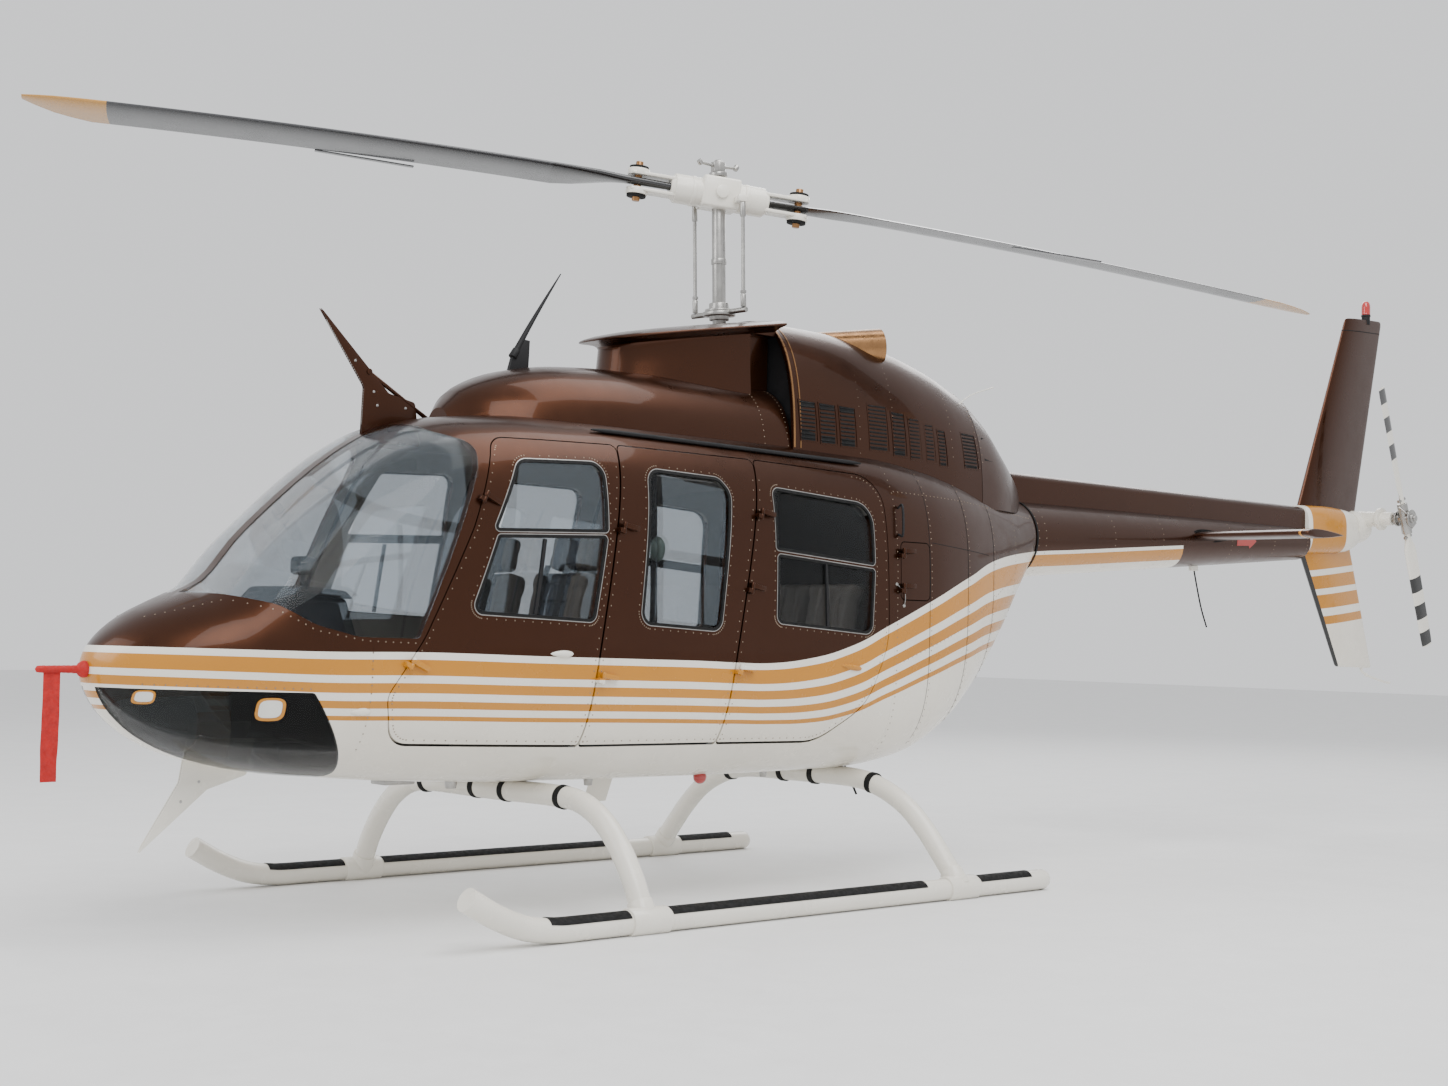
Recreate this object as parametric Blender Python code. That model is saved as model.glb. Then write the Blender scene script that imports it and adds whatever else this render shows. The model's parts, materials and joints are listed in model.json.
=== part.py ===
"""Light single-turbine helicopter on skids, as an assembly of panels, doors, rotors and landing gear.

Metres, +X towards the nose, +Y to port, +Z up, the ground at Z = 0. Lengths along X are measured from
the mast, and one empty moves the whole assembly so that the middle of its box stands on the origin.
"""

import math

import bmesh
import bpy
from mathutils import Matrix, Vector

GAP = 0.0003  # between pieces that touch
DOOR_GAP = 0.005  # round each door and moving piece
FRONT_REACH = 3.620  # end of the pitot cover, ahead of the mast
REAR_REACH = -6.710  # end of the tail guard
CENTRE_X = (FRONT_REACH + REAR_REACH) / 2
CENTRE_Y = -0.00649  # the drooping blades reach a little further to starboard

# Hull stations: x, bottom, height of greatest width, top, half width, upper and lower fullness
HULL = (
    (3.410, 1.060, 1.090, 1.120, 0.030, 2.0, 2.0),
    (3.370, 0.955, 1.090, 1.205, 0.145, 2.0, 2.0),
    (3.220, 0.815, 1.090, 1.325, 0.295, 2.1, 2.1),
    (3.090, 0.750, 1.090, 1.385, 0.370, 2.2, 2.2),
    (2.930, 0.700, 1.090, 1.460, 0.440, 2.3, 2.3),
    (2.760, 0.665, 1.100, 1.655, 0.492, 2.4, 2.4),
    (2.570, 0.640, 1.120, 1.835, 0.535, 2.5, 2.5),
    (2.390, 0.625, 1.140, 1.985, 0.568, 2.7, 2.6),
    (2.230, 0.612, 1.160, 2.095, 0.592, 2.9, 2.8),
    (2.070, 0.602, 1.180, 2.175, 0.612, 3.2, 3.0),
    (1.850, 0.592, 1.200, 2.232, 0.635, 3.6, 3.2),
    (1.500, 0.582, 1.220, 2.262, 0.655, 4.0, 3.4),
    (0.900, 0.576, 1.220, 2.275, 0.662, 4.2, 3.5),
    (0.100, 0.574, 1.220, 2.275, 0.662, 4.2, 3.5),
    (-0.600, 0.582, 1.240, 2.265, 0.658, 4.2, 3.4),
    (-0.980, 0.618, 1.330, 2.245, 0.634, 3.8, 3.1),
    (-1.300, 0.715, 1.450, 2.215, 0.578, 3.4, 2.8),
    (-1.600, 0.890, 1.580, 2.180, 0.492, 3.0, 2.5),
    (-1.900, 1.165, 1.710, 2.145, 0.385, 2.6, 2.3),
    (-2.120, 1.420, 1.795, 2.118, 0.298, 2.3, 2.1),
    (-2.300, 1.640, 1.870, 2.100, 0.230, 2.0, 2.0),
)
RING_POINTS = 30
WALL = 0.034  # cabin wall and doors
SKIN = 0.012  # nose, cowlings
PANE = 0.005
PANE_DEPTH = 0.009  # the panes sit this far inside the outer skin
AFT_BULKHEAD = -0.640
NOSE_FRAME = 2.420
REACH = 1.0  # cutters run out to this far from the middle plane

# Outlines seen from the side, as corners (x, z, corner radius)
WINDSHIELD = (
    (2.045, 2.60, 0.0), (2.045, 2.145, 0.06), (1.885, 2.085, 0.07), (1.905, 1.980, 0.10), (2.215, 1.235, 0.02),
    (2.480, 1.238, 0.20), (2.660, 1.285, 0.20), (2.800, 1.365, 0.15), (2.950, 1.405, 0.10), (3.300, 1.420, 0.0),
    (3.300, 2.60, 0.0),
)
POST_HALF = 0.030
CHIN_WINDOW = (
    (3.600, 1.022, 0.0), (2.660, 1.006, 0.02), (2.420, 0.655, 0.03), (2.420, 0.50, 0.0), (3.600, 0.50, 0.0),
)
KEEL_HALF = 0.055
CREW_DOOR = (
    (1.800, 2.125, 0.09), (1.955, 1.720, 0.50), (2.190, 1.235, 0.40), (2.350, 0.990, 0.09), (2.300, 0.790, 0.11),
    (1.360, 0.768, 0.015), (1.140, 2.135, 0.03),
)
MID_DOOR = (
    (1.135, 2.135, 0.03), (1.355, 0.768, 0.015), (0.535, 0.762, 0.015), (0.290, 2.128, 0.03),
)
AFT_DOOR = (
    (0.285, 2.128, 0.03), (0.530, 0.762, 0.015), (-0.130, 0.755, 0.30), (-0.450, 0.935, 0.35), (-0.600, 1.250, 0.40),
    (-0.575, 2.100, 0.17),
)
CREW_WINDOW = (
    ((1.700, 2.020, 0.06), (1.850, 1.715, 0.01), (1.265, 1.735, 0.01), (1.260, 2.035, 0.06)),
    ((1.835, 1.680, 0.01), (1.960, 1.355, 0.03), (1.335, 1.330, 0.03), (1.270, 1.700, 0.01)),
)
MID_WINDOW = (
    ((0.985, 2.025, 0.06), (1.050, 1.325, 0.05), (0.575, 1.300, 0.05), (0.500, 1.950, 0.08), (0.560, 2.010, 0.06)),
)
AFT_WINDOW = (
    ((0.200, 1.985, 0.03), (0.200, 1.700, 0.01), (-0.475, 1.650, 0.01), (-0.470, 1.940, 0.11)),
    ((0.190, 1.660, 0.01), (0.190, 1.345, 0.03), (-0.460, 1.300, 0.04), (-0.475, 1.610, 0.01)),
)
STARBOARD_MID = (
    ((1.020, 2.025, 0.07), (1.080, 1.325, 0.06), (0.480, 1.320, 0.06), (0.430, 2.015, 0.07)),
)
POSTS = (
    ("front_post", ((1.400, 0.490), (1.100, 2.350))),
    ("rear_post", ((0.579, 0.490), (0.245, 2.350))),
)
POST_HALF_WIDTH = 0.034
POST_DEPTHS = (0.058, 0.085)
POST_HINGE_SHIFT = 0.019  # so that the knuckle clears the door ahead
BAGGAGE_DOOR = ((-0.685, 1.770, 0.03), (-0.685, 1.470, 0.03), (-0.925, 1.470, 0.03), (-0.925, 1.770, 0.03))
BAGGAGE_HINGE = ((-0.687, 1.530), (-0.687, 1.710))
DOOR_SWING = 70.0  # degrees
AFT_EDGE_SLANT = 0.12  # aft edges run forward by this much per metre inboard
SILL_DROP = 0.006  # more room under each door, whose hinge line leans aft so that it sinks as it opens
FLANGE_HEIGHT = 0.022  # the foot of each door is only as thick as the skin
AFT_CAVITY = (-2.270, -0.680)  # hollow of the aft body
ENGINE_WELL = ((-1.150, -0.150), (-0.750, 0.150))  # opening in its top, under the engine
POCKET_BLOCK = ((-0.985, 0.020, 1.410), (-0.600, 1.0, 1.830))  # material left round the baggage pocket
BOOM_WALL = 0.012

# Cowlings: x, top, half width at the foot, fullness
ROOF_FAIRING = (
    (1.750, 2.290, 0.120, 2.4), (1.680, 2.370, 0.210, 2.5), (1.560, 2.440, 0.300, 2.6), (1.400, 2.495, 0.370, 2.8),
    (1.200, 2.530, 0.415, 3.0), (0.900, 2.545, 0.440, 3.2), (0.400, 2.545, 0.450, 3.3), (-0.080, 2.545, 0.455, 3.3),
)
ENGINE_COWL = (
    (-0.0803, 2.895, 0.462, 3.4), (-0.500, 2.890, 0.466, 3.3), (-0.900, 2.860, 0.460, 3.0), (-1.300, 2.785, 0.440, 2.7),
    (-1.600, 2.690, 0.410, 2.5),
)
AFT_COWL = (
    (-1.605, 2.688, 0.409, 2.5), (-1.800, 2.570, 0.370, 2.4), (-1.980, 2.420, 0.310, 2.3), (-2.130, 2.320, 0.230, 2.2),
    (-2.240, 2.265, 0.150, 2.2),
)
COWL_FOOT = 2.000
PYLON_FOOT = 2.410
PYLON_REAR = -0.0800
INTAKE_FACE = -0.105
HAT_FRONT = (0.860, 2.700)
HAT_REAR = (-0.080, 2.850)

# Boom and tail
BOOM_START = -2.305
BOOM_END = -5.420
BOOM_RADII = (0.230, 0.120)
BOOM_HEIGHTS = (1.870, 1.985)
COVER_HALF = 0.075
COVER_TOPS = (2.268, 2.236)
COVER_START = -2.262
STABILISER_FRONT = -3.970
STABILISER_CHORD = 0.430
STABILISER_HALF_SPAN = 0.990
STABILISER_HEIGHT = 1.965
TAIL_CONE = (
    (-5.4203, 1.905, 2.245, 0.105), (-5.700, 1.915, 2.255, 0.110), (-5.950, 1.935, 2.245, 0.110),
    (-6.080, 1.965, 2.225, 0.098), (-6.160, 2.010, 2.185, 0.075),
)
# Fin corners in the middle plane: leading foot, trailing foot, leading tip, trailing tip
UPPER_FIN = ((-5.440, 2.235), (-6.190, 2.235), (-6.045, 3.630), (-6.545, 3.660))
LOWER_FIN = ((-5.462, 1.941), (-6.120, 1.992), (-5.945, 1.125), (-6.430, 1.115))
FIN_THICKNESS = (0.085, 0.050)
BEACON_X = -6.330
TAIL_GEARBOX = ((-6.090, 0.105), (-6.140, 0.118), (-6.230, 0.112), (-6.290, 0.080), (-6.312, 0.035))

# Rotors
MAST_RADIUS = 0.035
MAST_TILT = math.radians(2.0)
MAST_FOOT = 2.800
HUB_HEIGHT = 3.545
HUB_X = 0.045
SWASH_HEIGHT = 2.935
ARM_RADIUS = 0.014
ROTOR_RADIUS = 3.440
ROTOR_AZIMUTH = math.radians(-28.2)
TEETER = math.radians(7.1)
BLADE_DROOP = 0.100
BLADE_ROOT = 0.400
BLADE_CHORD = 0.300
BLADE_PITCH = math.radians(8.0)
GRIP_BOLT = 0.430
TAIL_HUB = (-6.205, 0.385, 2.183)
TAIL_RADIUS = 0.955
TAIL_LEAN = math.radians(20.0)
TAIL_CHORD = 0.115

# Landing gear
SKID_HALF_SPACING = 1.126
SKID_RADIUS = 0.052
SKID_REAR = -1.300
LEG_RADIUS = 0.050
SLEEVE_RADIUS = 0.062
FRONT_LEG_X = 1.387
REAR_LEG_X = -0.625
FRONT_LEG = ((0.000, 0.535), (0.450, 0.538), (0.660, 0.522), (0.820, 0.452), (0.940, 0.345), (1.030, 0.225), (1.080, 0.130))
REAR_LEG = ((0.000, 0.548), (0.400, 0.545), (0.600, 0.505), (0.770, 0.425), (0.900, 0.318), (1.005, 0.205), (1.070, 0.130))

# Belly plate and cabin
HOOK_X = 0.400
HOOK_PLATE = 0.560
FLOOR_TOP = 0.730
SEAT_LEAN = math.radians(13.0)
SEAT_BASE_INSET = 0.100

# Wire cutters in the middle plane
UPPER_CUTTER = ((2.160, 2.100), (1.850, 2.100), (1.880, 2.300), (2.020, 2.330), (2.370, 2.665), (2.385, 2.675), (2.150, 2.350))
LOWER_CUTTER = ((2.960, 0.800), (2.640, 0.800), (2.680, 0.640), (2.860, 0.585), (3.160, 0.335), (3.145, 0.370), (2.990, 0.620))


def clear_scene():
    for item in list(bpy.data.objects):
        bpy.data.objects.remove(item)


clear_scene()
parts = bpy.data.collections.new("helicopter")
cutters = bpy.data.collections.new("cutters")
for group in (parts, cutters):
    bpy.context.scene.collection.children.link(group)

# The empty that carries the assembly, and with it every piece
frame = bpy.data.objects.new("frame", None)
frame.location = (-CENTRE_X, -CENTRE_Y, 0.0)
parts.objects.link(frame)


def finish(name, colour, roughness=0.4, metallic=0.0, alpha=1.0):
    """A Principled material, made once for each name."""
    known = bpy.data.materials.get(name)
    if known:
        return known
    made = bpy.data.materials.new(name)
    made.use_nodes = True
    shader = made.node_tree.nodes["Principled BSDF"]
    shader.inputs["Base Color"].default_value = (*colour, 1.0)
    shader.inputs["Roughness"].default_value = roughness
    shader.inputs["Metallic"].default_value = metallic
    shader.inputs["Alpha"].default_value = alpha
    made.diffuse_color = (*colour, alpha)
    return made


BROWN = finish("brown_paint", (0.075, 0.030, 0.016), 0.22, 0.5)
CREAM = finish("cream_paint", (0.82, 0.79, 0.72), 0.30)
GOLD = finish("gold_paint", (0.52, 0.26, 0.05), 0.35)
GLASS = finish("clear_glass", (0.60, 0.66, 0.70), 0.05, 0.0, 0.35)
DARK_GLASS = finish("dark_glass", (0.05, 0.06, 0.07), 0.06, 0.0, 0.70)
BLACK = finish("black_parts", (0.02, 0.02, 0.02), 0.6)
STEEL = finish("steel", (0.45, 0.45, 0.43), 0.35, 0.9)
BLADE_GREY = finish("blade_grey", (0.07, 0.07, 0.075), 0.45)
BRONZE = finish("bronze", (0.35, 0.20, 0.10), 0.3, 0.9)
LEATHER = finish("taupe_leather", (0.26, 0.22, 0.18), 0.6)
RED = finish("red_cloth", (0.55, 0.02, 0.02), 0.7)
LAMP_RED = finish("red_lamp", (0.60, 0.01, 0.01), 0.15)


def place(mesh, name, material=None, parent=frame, group=parts):
    """A named object for a mesh, smooth where its faces meet at under 35 degrees."""
    thing = bpy.data.objects.new(name, mesh)
    group.objects.link(thing)
    thing.parent = parent
    if material:
        mesh.materials.clear()
        mesh.materials.append(material)
        mesh.shade_smooth()
        mesh.set_sharp_from_angle(angle=math.radians(35))
    return thing


def mesh_of(bm, name):
    bmesh.ops.recalc_face_normals(bm, faces=bm.faces)
    mesh = bpy.data.meshes.new(name)
    bm.to_mesh(mesh)
    bm.free()
    return mesh


def cutter(mesh, name, parent=frame):
    """A helper solid, for Booleans only."""
    thing = place(mesh, name, parent=parent, group=cutters)
    thing.hide_render = True
    thing.display_type = "WIRE"
    return thing


def boolean(target, other, operation):
    change = target.modifiers.new(other.name, "BOOLEAN")
    change.operation = operation
    change.object = other
    change.solver = "EXACT"


def cut(target, *others):
    for other in others:
        boolean(target, other, "DIFFERENCE")


def keep(target, other):
    boolean(target, other, "INTERSECT")


def join(target, *others):
    for other in others:
        boolean(target, other, "UNION")


def loft(rings, name):
    """A closed skin over rings of equally many points, with a flat cap at each end."""
    bm = bmesh.new()
    rows = [[bm.verts.new(point) for point in ring] for ring in rings]
    for near, far in zip(rows, rows[1:]):
        for i in range(len(near)):
            j = (i + 1) % len(near)
            bm.faces.new((near[i], near[j], far[j]))
            bm.faces.new((near[i], far[j], far[i]))
    bm.faces.new(rows[0])
    bm.faces.new(rows[-1])
    return mesh_of(bm, name)


def box_mesh(low, high, name):
    bm = bmesh.new()
    size = Vector(high) - Vector(low)
    middle = (Vector(high) + Vector(low)) / 2
    place_and_size = Matrix.Translation(middle) @ Matrix.Diagonal((*size, 1.0))
    bmesh.ops.create_cube(bm, size=1.0, matrix=place_and_size)
    return mesh_of(bm, name)


def cylinder_mesh(start, end, radius, name, sides=12, end_radius=None):
    """A cylinder or cone from one point to another."""
    start = Vector(start)
    end = Vector(end)
    turn = (end - start).to_track_quat("Z", "Y").to_matrix().to_4x4()
    bm = bmesh.new()
    bmesh.ops.create_cone(
        bm,
        cap_ends=True,
        segments=sides,
        radius1=radius,
        radius2=radius if end_radius is None else end_radius,
        depth=(end - start).length,
        matrix=Matrix.Translation((start + end) / 2) @ turn,
    )
    return mesh_of(bm, name)


def rounded(corners):
    """The outline through corners (x, z, radius), each corner an arc in steps of about 42 degrees."""
    points = []
    count = len(corners)
    for i, (x, z, radius) in enumerate(corners):
        corner = Vector((x, z))
        back = Vector(corners[i - 1][:2]) - corner
        ahead = Vector(corners[(i + 1) % count][:2]) - corner
        angle = back.angle(ahead)
        if radius <= 0.0 or math.pi - angle < 0.02:
            points.append(corner)
            continue
        run = min(radius / math.tan(angle / 2), 0.48 * back.length, 0.48 * ahead.length)
        radius = run * math.tan(angle / 2)
        middle = corner + (back.normalized() + ahead.normalized()).normalized() * radius / math.sin(angle / 2)
        first = corner + back.normalized() * run - middle
        last = corner + ahead.normalized() * run - middle
        steps = max(1, round((math.pi - angle) / math.radians(42)))
        sweep = first.angle_signed(last)
        for step in range(steps + 1):
            points.append(middle + Matrix.Rotation(-sweep * step / steps, 2) @ first)
    return points


def area(points):
    return sum(a.x * b.y - b.x * a.y for a, b in zip(points, points[1:] + points[:1])) / 2


def grown(points, distance):
    """The outline moved outwards by distance, or inwards where it is negative."""
    side = 1.0 if area(points) > 0 else -1.0
    moved = []
    for i, point in enumerate(points):
        before = (point - points[i - 1]).normalized()
        after = (points[(i + 1) % len(points)] - point).normalized()
        normal = Vector((before.y + after.y, -before.x - after.x)).normalized() * side
        lean = max(0.3, abs(normal.dot(Vector((before.y, -before.x)))))
        moved.append(point + normal * distance / lean)
    return moved


def middle_at(points, z):
    """Half way between the front and the aft edge of an outline at a height."""
    heights = [point.y for point in points]
    z = min(max(z, min(heights) + 0.02), max(heights) - 0.02)
    edges = zip(points, points[1:] + points[:1])
    crossings = [a.x + (b.x - a.x) * (z - a.y) / (b.y - a.y) for a, b in edges if (a.y > z) != (b.y > z)]
    return (min(crossings) + max(crossings)) / 2


def prism(points, near, far, name, slant=0.0):
    """An outline in the side view, run across from y = near to y = far.

    With a slant, its aft edge at the inner end lies that much further forward per metre inboard.
    """
    bm = bmesh.new()
    face = bm.faces.new([bm.verts.new((point.x, near, point.y)) for point in points])
    side = bmesh.ops.extrude_face_region(bm, geom=[face])["geom"]
    moved = [item for item in side if isinstance(item, bmesh.types.BMVert)]
    bmesh.ops.translate(bm, vec=(0.0, far - near, 0.0), verts=moved)
    if slant:
        inner = min(abs(near), abs(far))
        for vert in bm.verts:
            if abs(abs(vert.co.y) - inner) < 1e-6 and vert.co.x < middle_at(points, vert.co.z):
                vert.co.x += slant * abs(far - near)
        bmesh.ops.triangulate(bm, faces=bm.faces)
    return mesh_of(bm, name)


def hull_ring(station, inset):
    """One ring of the hull, moved inwards by inset."""
    x, bottom, wide, top, half, upper, lower = station
    ring = []
    for i in range(RING_POINTS):
        turn = 2 * math.pi * i / RING_POINTS
        across = math.cos(turn)
        up = math.sin(turn)
        fullness = upper if up >= 0 else lower
        reach = (top - inset - wide) if up >= 0 else (wide - bottom - inset)
        y = math.copysign(abs(across) ** (2 / fullness), across) * (half - inset)
        z = wide + math.copysign(abs(up) ** (2 / fullness), up) * reach
        ring.append(Vector((x, y, z)))
    return ring


def hull_mesh(inset, name):
    """The hull as one solid, every surface moved inwards by inset and its nose shortened by it."""
    rings = []
    for station in HULL:
        x = station[0]
        least = min(station[3] - station[2], station[2] - station[1], station[4])
        if least <= inset + 0.004 and inset > 0:
            continue
        if x > 3.0:
            x -= inset * (x - 3.0) / (HULL[0][0] - 3.0)
        rings.append(hull_ring((x, *station[1:]), inset))
    return loft(rings, name)


def hull_half(z, x):
    """Half width of the hull at a height and a station."""
    for near, far in zip(HULL, HULL[1:]):
        if near[0] >= x >= far[0]:
            share = (near[0] - x) / (near[0] - far[0])
            mixed = [a + (b - a) * share for a, b in zip(near, far)]
            _, bottom, wide, top, half, upper, lower = mixed
            rise = (z - wide) / (top - wide) if z >= wide else (wide - z) / (wide - bottom)
            power = upper if z >= wide else lower
            return half * max(0.0, 1.0 - rise**power) ** (1 / power)
    return 0.0


# Solids that the panels are cut from and with
inner_hull = cutter(hull_mesh(WALL, "inner_hull"), "inner_hull")
skin_hull = cutter(hull_mesh(SKIN, "skin_hull"), "skin_hull")
pane_outer = cutter(hull_mesh(PANE_DEPTH, "pane_outer"), "pane_outer")
pane_inner = cutter(hull_mesh(PANE_DEPTH + PANE, "pane_inner"), "pane_inner")
outer_pane_inner = cutter(hull_mesh(PANE, "outer_pane_inner"), "outer_pane_inner")
grown_hull = cutter(hull_mesh(-GAP, "grown_hull"), "grown_hull")


def panel(name, material, outline, side, depth_hull, slant):
    """A piece of the hull's wall within an outline, on the side +1 (port) or -1 (starboard)."""
    piece = place(hull_mesh(0.0, name), name, material)
    cut(piece, depth_hull)
    shape = prism(outline, side * 0.2, side * REACH, name + "_outline", slant)
    keep(piece, cutter(shape, name + "_outline"))
    return piece


def full_window(windows):
    """The outline round all the openings of one window."""
    if len(windows) == 1:
        return rounded(windows[0])
    upper, lower = windows
    return rounded((upper[0], lower[0], lower[1], lower[2], lower[3], upper[3]))


def cut_window(target, windows, side, name):
    """Openings right through the wall, and behind the bar between them a rebate for the one pane."""
    for i, window in enumerate(windows):
        hole = prism(rounded(window), side * 0.2, side * REACH, f"{name}_{i}")
        cut(target, cutter(hole, f"{name}_{i}"))
    rebate = place(hull_mesh(PANE_DEPTH - GAP, name + "_rebate"), name + "_rebate", group=cutters)
    rebate.hide_render = True
    rebate.display_type = "WIRE"
    shape = prism(grown(full_window(windows), 0.004), side * 0.2, side * REACH, name + "_edge")
    keep(rebate, cutter(shape, name + "_edge"))
    cut(target, rebate)


def pane(name, windows, side):
    """One sheet of glass that fills the rebate of a window."""
    glass = place(hull_mesh(PANE_DEPTH, name), name, GLASS)
    cut(glass, pane_inner)
    shape = prism(grown(full_window(windows), 0.004 - GAP), side * 0.2, side * REACH, name + "_outline")
    keep(glass, cutter(shape, name + "_outline"))
    return glass


class Hinge:
    """A door's axis from its lower to its upper knuckle, in the side view, just outside the skin."""

    knuckle_radius = 0.010
    knuckle_height = 0.026
    standoff = 0.022
    arm_half = 0.006
    bar_bottom = -0.013
    foot_start = 0.016

    def __init__(self, lower, upper, side, knuckles):
        self.side = side
        out_low = hull_half(lower[1], lower[0]) + self.standoff
        out_high = hull_half(upper[1], upper[0]) + self.standoff
        self.low = Vector((lower[0], side * out_low, lower[1]))
        self.high = Vector((upper[0], side * out_high, upper[1]))
        self.axis = (self.high - self.low).normalized()
        self.knuckles = knuckles  # shares of the way from low to high

    def frame_at(self, share):
        """A matrix with Z up the axis, X forward and Y outboard, at one knuckle."""
        forward = Vector((1.0, 0.0, 0.0))
        out = self.axis.cross(forward).normalized() * self.side
        ahead = out.cross(self.axis).normalized() * self.side
        turn = Matrix((ahead, out, self.axis)).transposed().to_4x4()
        return Matrix.Translation(self.low.lerp(self.high, share)) @ turn

    def post_arm(self, share, name):
        """The arm that runs from the fixed knuckle straight inboard to the post, and the door's notch for it."""
        middle = -GAP / 2 - self.knuckle_height / 2
        here = self.frame_at(share)
        solids = []
        for grow, word in ((0.0, "_post_arm"), (DOOR_GAP, "_post_notch")):
            ahead = self.arm_half + grow if not grow else 0.030
            aft = self.arm_half + grow
            half_height = self.knuckle_height / 2 - 0.002 + 1.6 * grow
            outer = 0.0 if not grow else self.standoff
            inner = -self.standoff - (POST_DEPTHS[0] + 0.010 if not grow else WALL + 0.020)
            bm = bmesh.new()
            size = Matrix.Diagonal((ahead + aft, outer - inner, 2 * half_height, 1.0))
            shift = Matrix.Translation(((ahead - aft) / 2, (outer + inner) / 2, middle))
            bmesh.ops.create_cube(bm, size=1.0, matrix=here @ shift @ size)
            solids.append(cutter(mesh_of(bm, name + word), name + word))
        return solids

    def leaf(self, share, name, ahead, length, depth):
        """One leaf: a knuckle round the axis and an arm from it, ahead (1) or aft (-1), into the panel."""
        bm = bmesh.new()
        start = GAP / 2 if ahead < 0 else -GAP / 2 - self.knuckle_height
        middle = start + self.knuckle_height / 2
        here = self.frame_at(share)
        lift = Matrix.Translation((0.0, 0.0, middle))
        bmesh.ops.create_cone(
            bm,
            cap_ends=True,
            segments=8,
            radius1=self.knuckle_radius,
            radius2=self.knuckle_radius,
            depth=self.knuckle_height,
            matrix=here @ lift,
        )
        knuckle = cutter(mesh_of(bm, name + "_knuckle"), name + "_knuckle")
        arms = []
        outer = self.knuckle_radius * 0.8
        height = self.knuckle_height - 0.004
        foot = -self.standoff - depth
        for word, start, bottom in (("_bar", 0.0, self.bar_bottom), ("_foot", self.foot_start, foot)):
            bm = bmesh.new()
            size = Matrix.Diagonal((length - start, outer - bottom, height, 1.0))
            shift = Matrix.Translation((ahead * (length + start) / 2, (outer + bottom) / 2, middle))
            bmesh.ops.create_cube(bm, size=1.0, matrix=here @ shift @ size)
            arms.append(cutter(mesh_of(bm, name + word), name + word))
            outer -= 0.002
            height -= 0.003
            length -= 0.002
        return knuckle, *arms


def add_hinge(hinge, door, wall, name, on_post=False):
    """Leaves of one hinge. On a post, the fixed half runs inboard through a notch in the door's front edge."""
    for i, share in enumerate(hinge.knuckles):
        if on_post:
            knuckle = hinge.leaf(share, f"{name}_wall_leaf_{i}", 1, 0.034, 0.016)[0]
            arm, notch = hinge.post_arm(share, f"{name}_{i}")
            cut(door, notch)
            join(wall, knuckle, arm)
        else:
            join(wall, *hinge.leaf(share, f"{name}_wall_leaf_{i}", 1, 0.034, 0.016))
        join(door, *hinge.leaf(share, f"{name}_door_leaf_{i}", -1, 0.095, 0.012))


def side_name(side):
    return "port" if side > 0 else "starboard"


# Cabin shell: roof, posts, belly and the sides round the doors
cabin = place(hull_mesh(0.0, "cabin_shell"), "cabin_shell", BROWN)
cut(cabin, inner_hull)
cabin_span = cutter(box_mesh((AFT_BULKHEAD, -REACH, 0.3), (NOSE_FRAME - GAP, REACH, 2.6), "cabin_span"), "cabin_span")
keep(cabin, cabin_span)

# Nose shell: everything ahead of the nose frame, with the post between the windshields
nose = place(hull_mesh(0.0, "nose_shell"), "nose_shell", BROWN)
cut(nose, skin_hull)
keep(nose, cutter(box_mesh((NOSE_FRAME, -REACH, 0.3), (3.6, REACH, 2.6), "nose_span"), "nose_span"))

windshield_outline = rounded(WINDSHIELD)
chin_outline = rounded(CHIN_WINDOW)
for side in (1, -1):
    word = side_name(side)
    opening = prism(grown(windshield_outline, GAP), side * (POST_HALF - GAP), side * REACH, "windshield_cut_" + word)
    opening = cutter(opening, "windshield_cut_" + word)
    cut(cabin, opening)
    cut(nose, opening)
    glass = place(hull_mesh(0.0, "windshield_" + word), "windshield_" + word, GLASS)
    cut(glass, outer_pane_inner)
    shape = prism(windshield_outline, side * POST_HALF, side * REACH, "windshield_outline_" + word)
    keep(glass, cutter(shape, "windshield_outline_" + word))
    opening = prism(grown(chin_outline, GAP), side * (KEEL_HALF - GAP), side * REACH, "chin_cut_" + word)
    cut(nose, cutter(opening, "chin_cut_" + word))
    glass = place(hull_mesh(0.0, "chin_window_" + word), "chin_window_" + word, DARK_GLASS)
    cut(glass, outer_pane_inner)
    shape = prism(chin_outline, side * KEEL_HALF, side * REACH, "chin_outline_" + word)
    keep(glass, cutter(shape, "chin_outline_" + word))

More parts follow.
